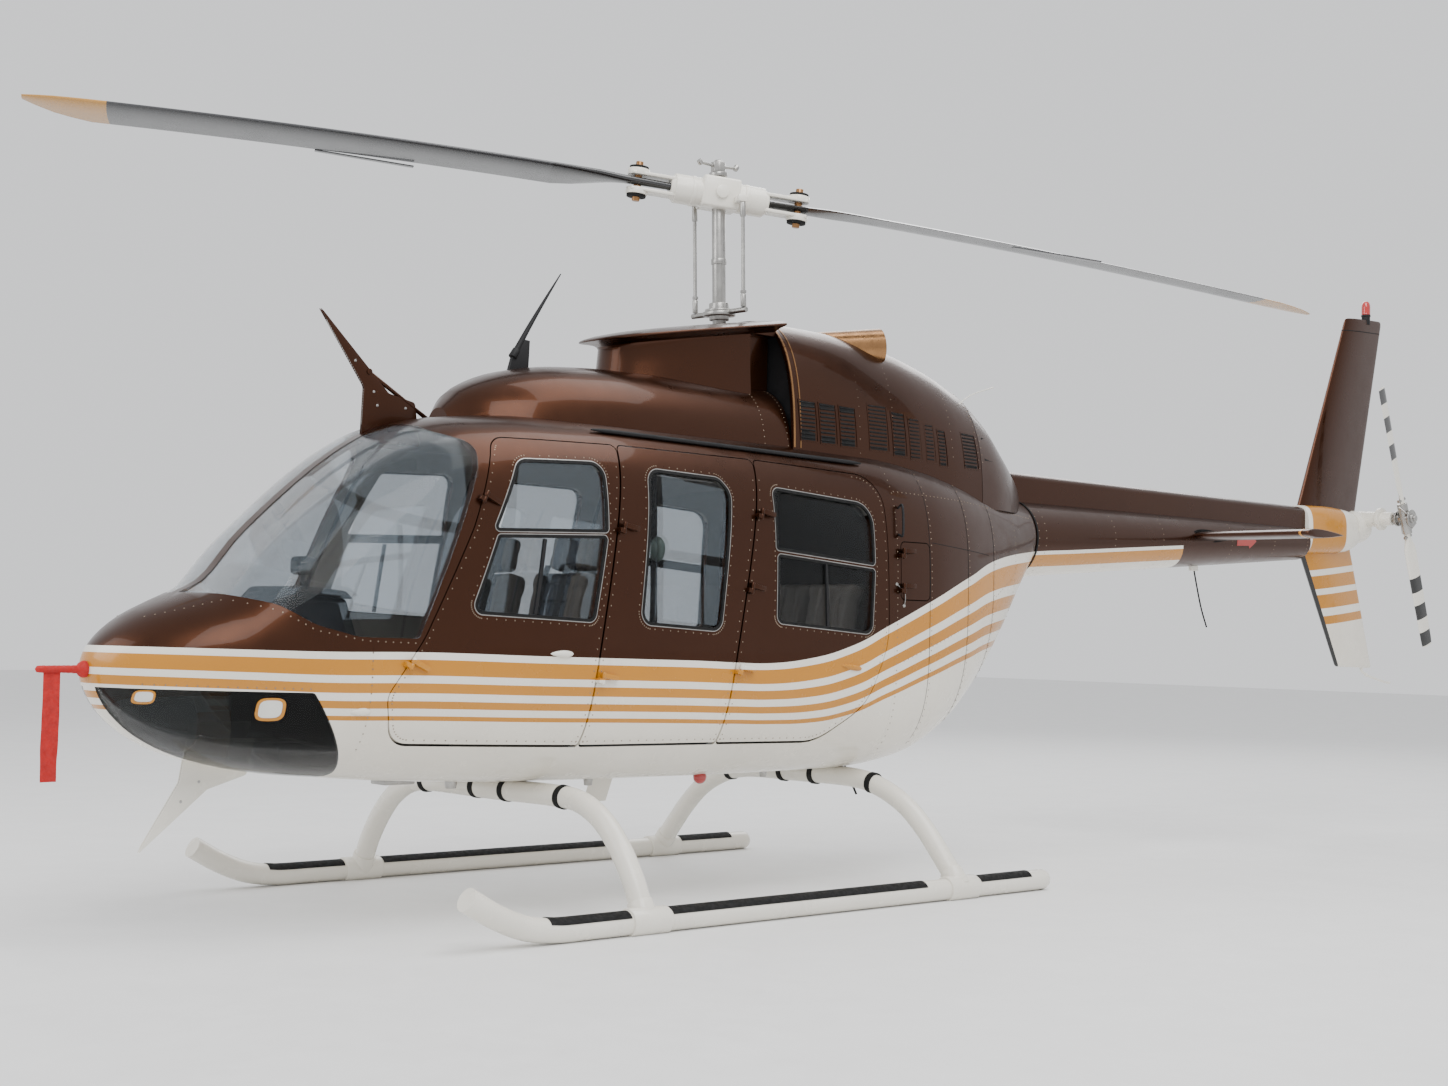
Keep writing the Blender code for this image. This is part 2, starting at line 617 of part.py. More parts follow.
# Doors: three to port, two to starboard with a fixed window between them
DOORS = (
    ("crew_door", CREW_DOOR, CREW_WINDOW, (1, -1), ((2.255, 1.130), (1.905, 1.850)), (0.0, 1.0)),
    ("mid_door", MID_DOOR, MID_WINDOW, (1,), ((1.306, 1.070), (1.197, 1.750)), (0.0, 1.0)),
    ("aft_door", AFT_DOOR, AFT_WINDOW, (1, -1), ((0.468, 1.110), (0.333, 1.860)), (0.0, 0.52, 1.0)),
)
hinge_jobs = []
for base, outline, windows, sides, hinge_line, knuckles in DOORS:
    for side in sides:
        name = base + "_" + side_name(side)
        shape = rounded(outline)
        door = panel(name, BROWN, grown(shape, -DOOR_GAP / 2), side, inner_hull, AFT_EDGE_SLANT)
        lowest = min(z for _, z, _ in outline)
        room = [(x, z - SILL_DROP if z < lowest + 0.03 else z, radius) for x, z, radius in outline]
        hole = prism(grown(rounded(room), DOOR_GAP / 2), side * 0.2, side * REACH, name + "_hole")
        cut(cabin, cutter(hole, name + "_hole"))
        foot = cutter(hull_mesh(SKIN, name + "_foot"), name + "_foot")
        span = box_mesh((-0.6, -REACH, 0.5), (2.4, REACH, lowest + FLANGE_HEIGHT), name + "_foot_span")
        keep(foot, cutter(span, name + "_foot_span"))
        cut(door, foot)
        cut_window(door, windows, side, name + "_window")
        pane(name.replace("door", "glass"), windows, side)
        on_post = side > 0 and base != "crew_door"
        shift = POST_HINGE_SHIFT if on_post else 0.0
        line = [(x - shift, z) for x, z in hinge_line]
        hinge_jobs.append((Hinge(*line, side, knuckles), door, name, on_post))

cut_window(cabin, STARBOARD_MID, -1, "side_window")
pane("side_glass_starboard", STARBOARD_MID, -1)

# Posts behind the seams between the doors, thinned where the doors close over them
post_outer = cutter(hull_mesh(WALL - 0.004, "post_outer"), "post_outer")
post_inner = cutter(hull_mesh(POST_DEPTHS[1], "post_inner"), "post_inner")
post_room = cutter(hull_mesh(POST_DEPTHS[1] + GAP, "post_room"), "post_room")
door_room = cutter(hull_mesh(POST_DEPTHS[0], "door_room"), "door_room")
floor_cuts = []
for side in (1, -1):
    for base, (low, high) in POSTS:
        name = f"{base}_{side_name(side)}"
        outline = [Vector((low[0] + POST_HALF_WIDTH, low[1])), Vector((high[0] + POST_HALF_WIDTH, high[1]))]
        outline += [Vector((high[0] - POST_HALF_WIDTH, high[1])), Vector((low[0] - POST_HALF_WIDTH, low[1]))]
        post = cutter(hull_mesh(WALL - 0.004, name), name)
        cut(post, post_inner)
        keep(post, cutter(prism(outline, side * 0.42, side * REACH, name + "_span"), name + "_span"))
        for door_base, shape, _, sides, _, _ in DOORS:
            if side in sides:
                hole = prism(grown(rounded(shape), 0.012), side * 0.2, side * REACH, name + door_base)
                hole = cutter(hole, f"{name}_{door_base}_room")
                cut(hole, door_room)
                cut(post, hole)
        join(cabin, post)
        clear = cutter(prism(grown(outline, GAP), side * (0.42 - GAP), side * REACH, name + "_clear"), name + "_clear")
        cut(clear, post_room)
        floor_cuts.append(clear)
for hinge, door, name, on_post in hinge_jobs:
    add_hinge(hinge, door, cabin, name, on_post)


def hang(hinge, name, *pieces):
    """An empty on the hinge's axis, and the pieces that turn with it as its children."""
    axis = bpy.data.objects.new(name + "_axis", None)
    axis.matrix_basis = hinge.frame_at(0.0)
    axis.parent = frame
    parts.objects.link(axis)
    for piece in pieces:
        piece.parent = axis
        piece.matrix_parent_inverse = axis.matrix_basis.inverted()


for hinge, door, name, _ in hinge_jobs:
    hang(hinge, name, door, bpy.data.objects[name.replace("door", "glass")])

# Aft body, hollow, with the baggage pocket behind its door
aft_body = place(hull_mesh(0.0, "aft_body"), "aft_body", BROWN)
aft_span = box_mesh((-2.6, -REACH, 0.3), (AFT_BULKHEAD - GAP, REACH, 2.6), "aft_span")
keep(aft_body, cutter(aft_span, "aft_span"))
cavity = cutter(hull_mesh(WALL, "aft_cavity"), "aft_cavity")
keep(cavity, cutter(box_mesh((AFT_CAVITY[0], -REACH, 0.3), (AFT_CAVITY[1], REACH, 2.6), "cavity_span"), "cavity_span"))
cut(cavity, cutter(box_mesh(*POCKET_BLOCK, "pocket_block"), "pocket_block"))
(well_aft, well_starboard), (well_front, well_port) = ENGINE_WELL
well = box_mesh((well_aft, well_starboard, 2.0), (well_front, well_port, 2.5), "engine_well")
cut(aft_body, cavity, cutter(well, "engine_well"))
baggage_outline = rounded(BAGGAGE_DOOR)
baggage_hull = cutter(hull_mesh(0.020, "baggage_depth"), "baggage_depth")
baggage_rebate = cutter(hull_mesh(0.025, "baggage_rebate_depth"), "baggage_rebate_depth")
baggage_door = panel("baggage_door", BROWN, grown(baggage_outline, -DOOR_GAP / 2), 1, baggage_hull, AFT_EDGE_SLANT)
rebate = cutter(prism(grown(baggage_outline, DOOR_GAP / 2), 0.2, REACH, "baggage_hole"), "baggage_hole")
cut(rebate, baggage_rebate)
pocket = cutter(prism(grown(baggage_outline, -0.016), 0.05, REACH, "baggage_pocket"), "baggage_pocket")
cut(aft_body, rebate, pocket)
baggage_hinge = Hinge(*BAGGAGE_HINGE, 1, (0.0, 1.0))
add_hinge(baggage_hinge, baggage_door, aft_body, "baggage_door")
hang(baggage_hinge, "baggage_door", baggage_door)


def arch_ring(station, inset, foot):
    """An arch over the roof, closed along its foot."""
    x, top, half, fullness = station
    ring = []
    steps = 12
    for i in range(steps + 1):
        turn = math.pi * i / steps
        across = math.cos(turn)
        up = math.sin(turn)
        y = math.copysign(abs(across) ** (2 / fullness), across) * (half - inset)
        z = foot + up ** (2 / fullness) * (top - inset - foot) if 0 < i < steps else foot
        ring.append(Vector((x, y, z)))
    return ring


def cowling(name, stations, front_wall=True, back_wall=False):
    """A thin cowling that follows the stations and stands on the roof."""
    shell = place(loft([arch_ring(s, 0.0, COWL_FOOT) for s in stations], name), name, BROWN)
    inner = [arch_ring(s, SKIN, COWL_FOOT - 0.05) for s in stations]
    before = [a + (a - b) * 0.1 for a, b in zip(inner[0], inner[1])]
    after = [a + (a - b) * 0.1 for a, b in zip(inner[-1], inner[-2])]
    inner = inner[1:] if front_wall else [before] + inner
    inner = inner[:-1] if back_wall else inner + [after]
    cut(shell, cutter(loft(inner, name + "_inside"), name + "_inside"), grown_hull)
    return shell


roof_fairing = cowling("roof_fairing", ROOF_FAIRING)
engine_cowl = cowling("engine_cowl", ENGINE_COWL, front_wall=False)
aft_cowl = cowling("aft_cowl", AFT_COWL, front_wall=False, back_wall=True)


def pylon_ring(front, half, low, rise):
    """A plan outline with a round front and a straight back, at a height that rises towards the tail."""
    ring = []
    steps = 16
    fullness = 2.4
    for i in range(steps + 1):
        turn = math.pi * (i / steps - 0.5)
        x = PYLON_REAR + (front - PYLON_REAR) * max(0.0, math.cos(turn)) ** (2 / fullness)
        y = math.copysign(abs(math.sin(turn)) ** (2 / fullness), math.sin(turn)) * half
        ring.append(Vector((x, y, low + rise * (HAT_FRONT[0] - x))))
    return ring


hat_rise = (HAT_REAR[1] - HAT_FRONT[1]) / (HAT_FRONT[0] - HAT_REAR[0])
hat_low = HAT_FRONT[1]
pylon = loft(
    [
        pylon_ring(HAT_FRONT[0] - 0.060, 0.330, PYLON_FOOT, 0.0),
        pylon_ring(HAT_FRONT[0] - 0.100, 0.315, hat_low - 0.035, hat_rise),
        pylon_ring(HAT_FRONT[0] - 0.060, 0.345, hat_low - 0.018, hat_rise),
        pylon_ring(HAT_FRONT[0], 0.400, hat_low - 0.004, hat_rise),
        pylon_ring(HAT_FRONT[0] - 0.004, 0.398, hat_low + 0.006, hat_rise),
        pylon_ring(HAT_FRONT[0] - 0.080, 0.330, hat_low + 0.024, hat_rise),
    ],
    "pylon_fairing",
)
pylon = place(pylon, "pylon_fairing", BROWN)
fairing_grown = [arch_ring((x, top + 2 * GAP, half + 2 * GAP, full), 0.0, COWL_FOOT) for x, top, half, full in ROOF_FAIRING]
fairing_grown.append([a + (a - b) * 0.1 for a, b in zip(fairing_grown[-1], fairing_grown[-2])])
fairing_grown = cutter(loft(fairing_grown, "fairing_grown"), "fairing_grown")
hub_at = Vector((HUB_X, 0.0, HUB_HEIGHT))
mast_up = Vector((math.sin(MAST_TILT), 0.0, math.cos(MAST_TILT)))
well_foot = hub_at - mast_up * (HUB_HEIGHT - MAST_FOOT + GAP)
mast_well = cylinder_mesh(well_foot, hub_at, MAST_RADIUS + DOOR_GAP, "mast_well", 16)
cut(pylon, fairing_grown, cutter(mast_well, "mast_well"))

side_cuts = []
for side in (1, -1):
    low = (PYLON_REAR - 0.05, min(side * 0.260, side * 0.6), 2.30)
    high = (0.090, max(side * 0.260, side * 0.6), 2.795)
    side_cuts.append(cutter(box_mesh(low, high, f"intake_side_{side}"), f"intake_side_{side}"))
cut(pylon, *side_cuts)

# Dark screen just inside the mouth of the engine cowl
mouth = [arch_ring(station, SKIN + GAP, COWL_FOOT - 0.05) for station in ENGINE_COWL[:2]]
mouth = [[a + (b - a) * (a.x - x) / (a.x - b.x) for a, b in zip(*mouth)] for x in (INTAKE_FACE, INTAKE_FACE - 0.200)]
intake = loft(mouth, "intake_screen")
intake = place(intake, "intake_screen", BLACK)
cut(intake, grown_hull)

# Engine, as one block at its own place and size
engine = box_mesh((-1.300, -0.230, 2.100), (-0.330, 0.230, 2.700), "engine_block")
engine = place(engine, "engine_block", STEEL)
cut(engine, grown_hull)

# Exhaust stacks, which leave the cowl aft and outboard
for side in (1, -1):
    name = "exhaust_" + side_name(side)
    start = Vector((-0.560, side * 0.120, 2.800))
    end = Vector((-0.900, side * 0.270, 2.835))
    stack = place(cylinder_mesh(start, end, 0.088, name, 16, 0.098), name, BRONZE)
    along = (end - start).normalized()
    cut(stack, cutter(cylinder_mesh(end - along * 0.200, end + along * 0.05, 0.085, name + "_bore"), name + "_bore"))
    room = cylinder_mesh(start - along * GAP, end + along * GAP, 0.088 + GAP, name + "_room", 16, 0.098 + GAP)
    cut(engine_cowl, cutter(room, name + "_room"))


def circle_ring(x, height, radius, steps=20):
    turns = [2 * math.pi * i / steps for i in range(steps)]
    return [Vector((x, math.cos(a) * radius, height + math.sin(a) * radius)) for a in turns]


def airfoil(chord, thickness, count=12):
    """Points round a symmetric section in its own plane: 0 at the leading edge, chord at the trailing one."""
    points = []
    for i in range(count):
        turn = 2 * math.pi * i / count
        along = (1 - math.cos(turn)) / 2
        bulge = math.sin(turn) * (1 - 0.75 * along)
        points.append((along * chord, bulge * thickness * 0.72))
    return points


# Tail boom, with the long cover of the tail rotor's shaft on top of it
def boom_share(x):
    return (BOOM_START - x) / (BOOM_START - BOOM_END)


def boom_at(x, grow=0.0):
    share = boom_share(x)
    height = BOOM_HEIGHTS[0] + (BOOM_HEIGHTS[1] - BOOM_HEIGHTS[0]) * share
    radius = BOOM_RADII[0] + (BOOM_RADII[1] - BOOM_RADII[0]) * share
    return circle_ring(x, height, radius + grow)


boom = place(loft([boom_at(BOOM_START), boom_at(BOOM_END)], "tail_boom"), "tail_boom", BROWN)
bore = loft([boom_at(BOOM_START + 0.02, -BOOM_WALL), boom_at(BOOM_END - 0.02, -BOOM_WALL)], "boom_bore")
cut(boom, cutter(bore, "boom_bore"))
boom_grown = cutter(loft([boom_at(BOOM_START + 0.02, GAP), boom_at(BOOM_END - 0.02, GAP)], "boom_grown"), "boom_grown")


def cover_ring(x, top):
    """Upright sides and a rounded top, down into the boom."""
    foot = 2.000
    shoulder = top - 0.045
    ring = [Vector((x, COVER_HALF, foot)), Vector((x, COVER_HALF, shoulder))]
    for i in range(1, 6):
        turn = math.pi * i / 6
        ring.append(Vector((x, math.cos(turn) * COVER_HALF, shoulder + math.sin(turn) * 0.045)))
    return ring + [Vector((x, -COVER_HALF, shoulder)), Vector((x, -COVER_HALF, foot))]


shaft_cover = loft([cover_ring(COVER_START, COVER_TOPS[0]), cover_ring(BOOM_END, COVER_TOPS[1])], "shaft_cover")
shaft_cover = place(shaft_cover, "shaft_cover", BROWN)
cut(shaft_cover, boom_grown, grown_hull)
cowl_room = [arch_ring((x, top + GAP, half + GAP, full), 0.0, COWL_FOOT) for x, top, half, full in AFT_COWL]
cowl_room[-1] = [point - Vector((GAP, 0.0, 0.0)) for point in cowl_room[-1]]
cut(shaft_cover, cutter(loft(cowl_room, "cowl_room"), "cowl_room"))

# Horizontal stabiliser, one piece from tip to tip through a slot in the boom
def stabiliser_ring(y, grow=0.0):
    chord = STABILISER_CHORD + 2 * grow
    front = STABILISER_FRONT + grow
    points = airfoil(chord, 0.055 + 2 * grow)
    return [Vector((front - along, y, STABILISER_HEIGHT + up)) for along, up in points]


half_span = STABILISER_HALF_SPAN
stabiliser = loft([stabiliser_ring(-half_span), stabiliser_ring(half_span)], "stabiliser")
stabiliser = place(stabiliser, "stabiliser", BROWN)
slot = cutter(loft([stabiliser_ring(-0.5, GAP), stabiliser_ring(0.5, GAP)], "stabiliser_slot"), "stabiliser_slot")
cut(boom, slot)

# Tail cone behind the boom, and the fins above and below it
def cone_ring(station, grow=0.0):
    x, bottom, top, half = station
    middle = (bottom + top) / 2
    ring = []
    for i in range(20):
        turn = 2 * math.pi * (i + 0.5) / 20
        y = math.copysign(abs(math.cos(turn)) ** 0.7, math.cos(turn)) * (half + grow)
        z = middle + math.copysign(abs(math.sin(turn)) ** 0.7, math.sin(turn)) * ((top - bottom) / 2 + grow)
        ring.append(Vector((x, y, z)))
    return ring


tail_cone = place(loft([cone_ring(s) for s in TAIL_CONE], "tail_cone"), "tail_cone", GOLD)
cone_grown = [cone_ring(s, 1.5 * GAP) for s in TAIL_CONE]
cone_grown.insert(0, [a + (a - b) * 0.1 for a, b in zip(*cone_grown[:2])])
cone_grown[-1] = [point - Vector((GAP, 0.0, 0.0)) for point in cone_grown[-1]]
cone_grown = cutter(loft(cone_grown, "cone_grown"), "cone_grown")


def fin_rings(corners, grow=0.0):
    """Airfoil rings at the foot and the tip of a fin, sunk into the tail cone at its foot."""
    lead_foot, trail_foot, lead_tip, trail_tip = corners
    rings = []
    for lead, trail, thickness in ((lead_foot, trail_foot, FIN_THICKNESS[0]), (lead_tip, trail_tip, FIN_THICKNESS[1])):
        chord = lead[0] - trail[0]
        rise = (trail[1] - lead[1]) / chord
        points = airfoil(chord + 2 * grow, thickness + 4 * grow)
        rings.append([Vector((lead[0] + grow - along, up, lead[1] + grow + rise * along)) for along, up in points])
    return rings


fins = {}
for name, corners, paint in (("upper_fin", UPPER_FIN, BROWN), ("lower_fin", LOWER_FIN, CREAM)):
    fins[name] = place(loft(fin_rings(corners), name), name, paint)
    cut(fins[name], cone_grown, boom_grown)

# Beacon on the tip of the fin, and the tail guard under the lower one
beacon_foot = (UPPER_FIN[2][1] + UPPER_FIN[3][1]) / 2
rows = []
for radius, rise in ((0.030, -0.030), (0.030, 0.030), (0.034, 0.040), (0.034, 0.110), (0.024, 0.134), (0.008, 0.142)):
    turns = [2 * math.pi * i / 12 for i in range(12)]
    rows.append(
        [Vector((BEACON_X + math.cos(a) * radius, math.sin(a) * radius, beacon_foot + rise)) for a in turns]
    )
beacon = place(loft(rows, "beacon"), "beacon", LAMP_RED)
cut(beacon, cutter(loft(fin_rings(UPPER_FIN, GAP), "fin_room"), "fin_room"))


def smooth_path(points, steps):
    """Points along one smooth curve through the given ones, with so many steps between each two."""
    points = [Vector(point) for point in points]
    ends = [2 * points[0] - points[1]] + points + [2 * points[-1] - points[-2]]
    path = []
    for a, b, c, d in zip(ends, ends[1:], ends[2:], ends[3:]):
        for step in range(steps):
            t = step / steps
            path.append(
                ((2 * b) + (c - a) * t + (2 * a - 5 * b + 4 * c - d) * t * t + (3 * b - a - 3 * c + d) * t**3) / 2
            )
    return path + [points[-1]]


def tube(name, points, radius, material=None, radii=None, parent=frame, group=parts, resolution=2):
    """A tube along points, as a curve made into a mesh so that it can be cut and joined."""
    curve = bpy.data.curves.new(name, "CURVE")
    curve.dimensions = "3D"
    curve.bevel_depth = radius
    curve.bevel_resolution = resolution
    curve.use_fill_caps = True
    curve.twist_mode = "MINIMUM"
    spline = curve.splines.new("POLY")
    spline.points.add(len(points) - 1)
    for i, point in enumerate(points):
        spline.points[i].co = (*point, 1.0)
        spline.points[i].radius = radii[i] if radii else 1.0
    guide = bpy.data.objects.new(name + "_curve", curve)
    group.objects.link(guide)
    bpy.context.view_layer.update()
    mesh = bpy.data.meshes.new_from_object(guide.evaluated_get(bpy.context.evaluated_depsgraph_get()))
    bm = bmesh.new()
    bm.from_mesh(mesh)
    bmesh.ops.remove_doubles(bm, verts=bm.verts, dist=1e-5)
    bpy.data.meshes.remove(mesh)
    bpy.data.objects.remove(guide)
    return place(mesh_of(bm, name), name, material, parent, group)


GUARD_TIP_HEIGHT = 1.010
guard_path = smooth_path([(-6.302, 0.0, 1.095), (-6.420, 0.0, 1.052), (-6.640, 0.0, GUARD_TIP_HEIGHT)], 3)
guard_path = [Vector((-6.300, 0.0, 1.1160))] + guard_path + [Vector((REAR_REACH, 0.0, GUARD_TIP_HEIGHT))]
tail_guard = tube("tail_guard", guard_path, 0.009, CREAM)


# Tail gearbox on the end of the cone, and the two-bladed rotor on its output shaft
TAIL_HUB_AT = Vector(TAIL_HUB)
gearbox_middle = Vector((TAIL_HUB[0], 0.030, TAIL_HUB[2]))
def gearbox_rings(grow):
    return [circle_ring(x, TAIL_HUB[2] - 0.055, radius + grow, 16) for x, radius in TAIL_GEARBOX]


gearbox = place(loft(gearbox_rings(0.0), "tail_gearbox"), "tail_gearbox", CREAM)
output = cylinder_mesh(gearbox_middle, TAIL_HUB_AT - Vector((0, 0.090 + GAP, 0)), 0.062, "output_tube", 12, 0.046)
flange = cylinder_mesh((TAIL_HUB[0], 0.190, TAIL_HUB[2]), (TAIL_HUB[0], 0.215, TAIL_HUB[2]), 0.080, "output_flange")
join(gearbox, cutter(output, "output_tube"), cutter(flange, "output_flange"))
cut(gearbox, cone_grown)
cut(fins["upper_fin"], cutter(loft(gearbox_rings(1.5 * GAP), "gearbox_grown"), "gearbox_grown"))


def turning(name, place_at, turn):
    """An empty that a turning group hangs from, with its local axes at the hub."""
    empty = bpy.data.objects.new(name, None)
    empty.matrix_basis = Matrix.Translation(place_at) @ turn
    empty.parent = frame
    parts.objects.link(empty)
    return empty


tail_axis = turning("tail_rotor_axis", TAIL_HUB_AT, Matrix.Rotation(TAIL_LEAN, 4, "Y"))


def blade_ring(along, lead, chord, thickness, pitch, drop=0.0, count=12):
    """An airfoil at a station of a blade whose span runs along X, turned by its pitch about the quarter chord."""
    ring = []
    turn = Matrix.Rotation(pitch, 2)
    for back, up in airfoil(chord, thickness, count):
        point = turn @ Vector((lead - back, up))
        ring.append(Vector((along, point.x, point.y - drop)))
    return ring


# The tail rotor's blades stand upright: local X is up the blade, local Y outboard
half = TAIL_CHORD / 2
blade_turn = Matrix.Rotation(-math.pi / 2, 4, "Y") @ Matrix.Rotation(math.pi / 2, 4, "X")
tail_rings = [
    blade_ring(0.050, 0.022, 0.044, 0.036, 0.0, 0.0, 12),
    blade_ring(0.150, 0.026, 0.052, 0.034, math.radians(20), 0.0, 12),
    blade_ring(0.240, half, TAIL_CHORD, 0.020, math.radians(14), 0.0, 12),
    blade_ring(TAIL_RADIUS, half, TAIL_CHORD, 0.014, math.radians(8), 0.0, 12),
]
tail_rotor = place(cylinder_mesh((0, -0.090, 0), (0, 0.075, 0), 0.034, "tail_rotor"), "tail_rotor", CREAM, tail_axis)
yoke = cylinder_mesh((0.0, 0.0, -0.110), (0.0, 0.0, 0.110), 0.036, "tail_yoke", 16)
join(tail_rotor, cutter(yoke, "tail_yoke", tail_axis))
for flip in (0, 1):
    name = f"tail_blade_{flip}"
    blade = loft(tail_rings, name)
    blade.transform(Matrix.Rotation(math.pi * flip, 4, "Y") @ blade_turn)
    join(tail_rotor, cutter(blade, name, tail_axis))
for name, low, high, radius in (("pitch_plate", 0.045, 0.060, 0.062), ("drive_collar", -0.060, -0.045, 0.055)):
    join(tail_rotor, cutter(cylinder_mesh((0, low, 0), (0, high, 0), radius, name), name, tail_axis))

# Main rotor: mast, swashplate, hub with its grips, two blades and two pitch links
main_axis = turning("main_rotor_axis", hub_at, Matrix.Rotation(MAST_TILT, 4, "Y") @ Matrix.Rotation(ROTOR_AZIMUTH, 4, "Z"))
teeter_axis = bpy.data.objects.new("teeter_axis", None)
teeter_axis.matrix_basis = Matrix.Rotation(-TEETER, 4, "Y")
teeter_axis.parent = main_axis
parts.objects.link(teeter_axis)

mast_low = -(HUB_HEIGHT - MAST_FOOT)
mast = place(cylinder_mesh((0, 0, mast_low), (0, 0, 0.130), MAST_RADIUS, "mast", 16), "mast", STEEL, main_axis)
nut = cylinder_mesh((0, 0, 0.120), (0, 0, 0.185), 0.040, "mast_nut", 8)
join(mast, cutter(nut, "mast_nut", main_axis))

swash_height = SWASH_HEIGHT - HUB_HEIGHT
swash = cylinder_mesh((0, 0, swash_height - 0.018), (0, 0, swash_height + 0.018), 0.085, "swashplate", 16)
swash = place(swash, "swashplate", STEEL, main_axis)
LINK_FOOT = Vector((-0.091, 0.150, 0.0))
for flip in (1, -1):
    arm = cylinder_mesh((0, 0, swash_height), LINK_FOOT * flip * 1.12 + Vector((0, 0, swash_height)), ARM_RADIUS, "swash_arm", 8)
    join(swash, cutter(arm, f"swash_arm_{flip}", main_axis))
bore = cylinder_mesh((0, 0, -1.0), (0, 0, 1.0), MAST_RADIUS + GAP, "mast_bore", 16)
mast_bore = cutter(bore, "mast_bore", main_axis)
cut(swash, mast_bore)

hub = place(box_mesh((-0.100, -0.080, -0.075), (0.100, 0.080, 0.085), "rotor_hub"), "rotor_hub", CREAM, teeter_axis)
for flip in (1, -1):
    barrel = cylinder_mesh((flip * 0.060, 0, 0), (flip * 0.240, 0, 0), 0.076, "barrel")
    join(hub, cutter(barrel, f"barrel_{flip}", teeter_axis))
    for level in (1, -1):
        low = (min(flip * 0.180, flip * 0.470), -0.052, min(level * 0.032, level * 0.050))
        high = (max(flip * 0.180, flip * 0.470), 0.052, max(level * 0.032, level * 0.050))
        name = f"tongue_{flip}_{level}"
        join(hub, cutter(box_mesh(low, high, name), name, teeter_axis))
        pad = cylinder_mesh((flip * GRIP_BOLT, 0, level * 0.030), (flip * GRIP_BOLT, 0, level * 0.078), 0.056, "pad", 10)
        join(hub, cutter(pad, f"pad_{flip}_{level}", teeter_axis))
    bolt = cylinder_mesh((flip * GRIP_BOLT, 0, -0.100), (flip * GRIP_BOLT, 0, 0.105), 0.020, "grip_bolt", 8)
    join(hub, cutter(bolt, f"grip_bolt_{flip}", teeter_axis))
    low = (min(-flip * 0.115, -flip * 0.067), min(flip * 0.050, flip * 0.170), -0.045)
    high = (max(-flip * 0.115, -flip * 0.067), max(flip * 0.050, flip * 0.170), -0.010)
    join(hub, cutter(box_mesh(low, high, f"horn_{flip}"), f"horn_{flip}", teeter_axis))
cut(hub, mast_bore)

reach = ROTOR_RADIUS - BLADE_ROOT
chord = BLADE_CHORD


def droop(along):
    return BLADE_DROOP * ((along - BLADE_ROOT) / reach) ** 2


STATIONS = (
    (0.250, 0.045, 0.090, 0.036, 0.0), (0.500, 0.060, 0.130, 0.040, 0.0), (0.640, 0.075, 0.220, 0.044, 0.6),
    (0.850, 0.075, chord, 0.040, 1.0), (1.500, 0.075, chord, 0.038, 1.0), (2.300, 0.075, chord, 0.036, 1.0),
    (3.130, 0.075, chord, 0.034, 1.0), (3.300, 0.070, 0.215, 0.026, 1.0), (ROTOR_RADIUS, 0.050, 0.060, 0.010, 1.0),
)
for i, flip in enumerate((0, 1)):
    name = f"main_blade_{i + 1}"
    rings = []
    for along, lead, width, thickness, share in STATIONS:
        rings.append(blade_ring(along, lead, width, thickness, BLADE_PITCH * share, droop(along)))
    mesh = loft(rings, name)
    mesh.transform(Matrix.Rotation(math.pi * flip, 4, "Z"))
    blade = place(mesh, name, BLADE_GREY, teeter_axis)
    side = 1 - 2 * flip
    hole = cylinder_mesh((side * GRIP_BOLT, 0, -0.1), (side * GRIP_BOLT, 0, 0.1), 0.020 + GAP, name + "_hole", 8)
    cut(blade, cutter(hole, name + "_hole", teeter_axis))

HORN_FOOT = -0.045
LINK_RADIUS = 0.015
for i, flip in enumerate((1, -1)):
    name = f"pitch_link_{i + 1}"
    foot = LINK_FOOT * flip + Vector((0, 0, swash_height + ARM_RADIUS + GAP))
    lowest = foot.x - LINK_RADIUS - HORN_FOOT * -math.sin(TEETER)
    rise = HORN_FOOT * math.cos(TEETER) + lowest * math.tan(TEETER) - GAP
    head = LINK_FOOT * flip + Vector((0, 0, rise))
    link = place(cylinder_mesh(foot, head, LINK_RADIUS, name, 16), name, STEEL, main_axis)


# Landing gear: two cross tubes under the belly, two skids with a socket for each leg
def leg_points(points, x):
    half = [Vector((x, y, z)) for y, z in points]
    return [Vector((p.x, -p.y, p.z)) for p in reversed(half[1:])] + half


for name, x, points in (("front_cross_tube", FRONT_LEG_X, FRONT_LEG), ("rear_cross_tube", REAR_LEG_X, REAR_LEG)):
    place_points = leg_points(points, x)
    tube(name, place_points, LEG_RADIUS, CREAM)
    channel = tube(name + "_channel", place_points, LEG_RADIUS + GAP, group=cutters)
    channel.hide_render = True
    channel.display_type = "WIRE"
    cut(cabin, channel)
    if name == "rear_cross_tube":
        cut(aft_body, channel)

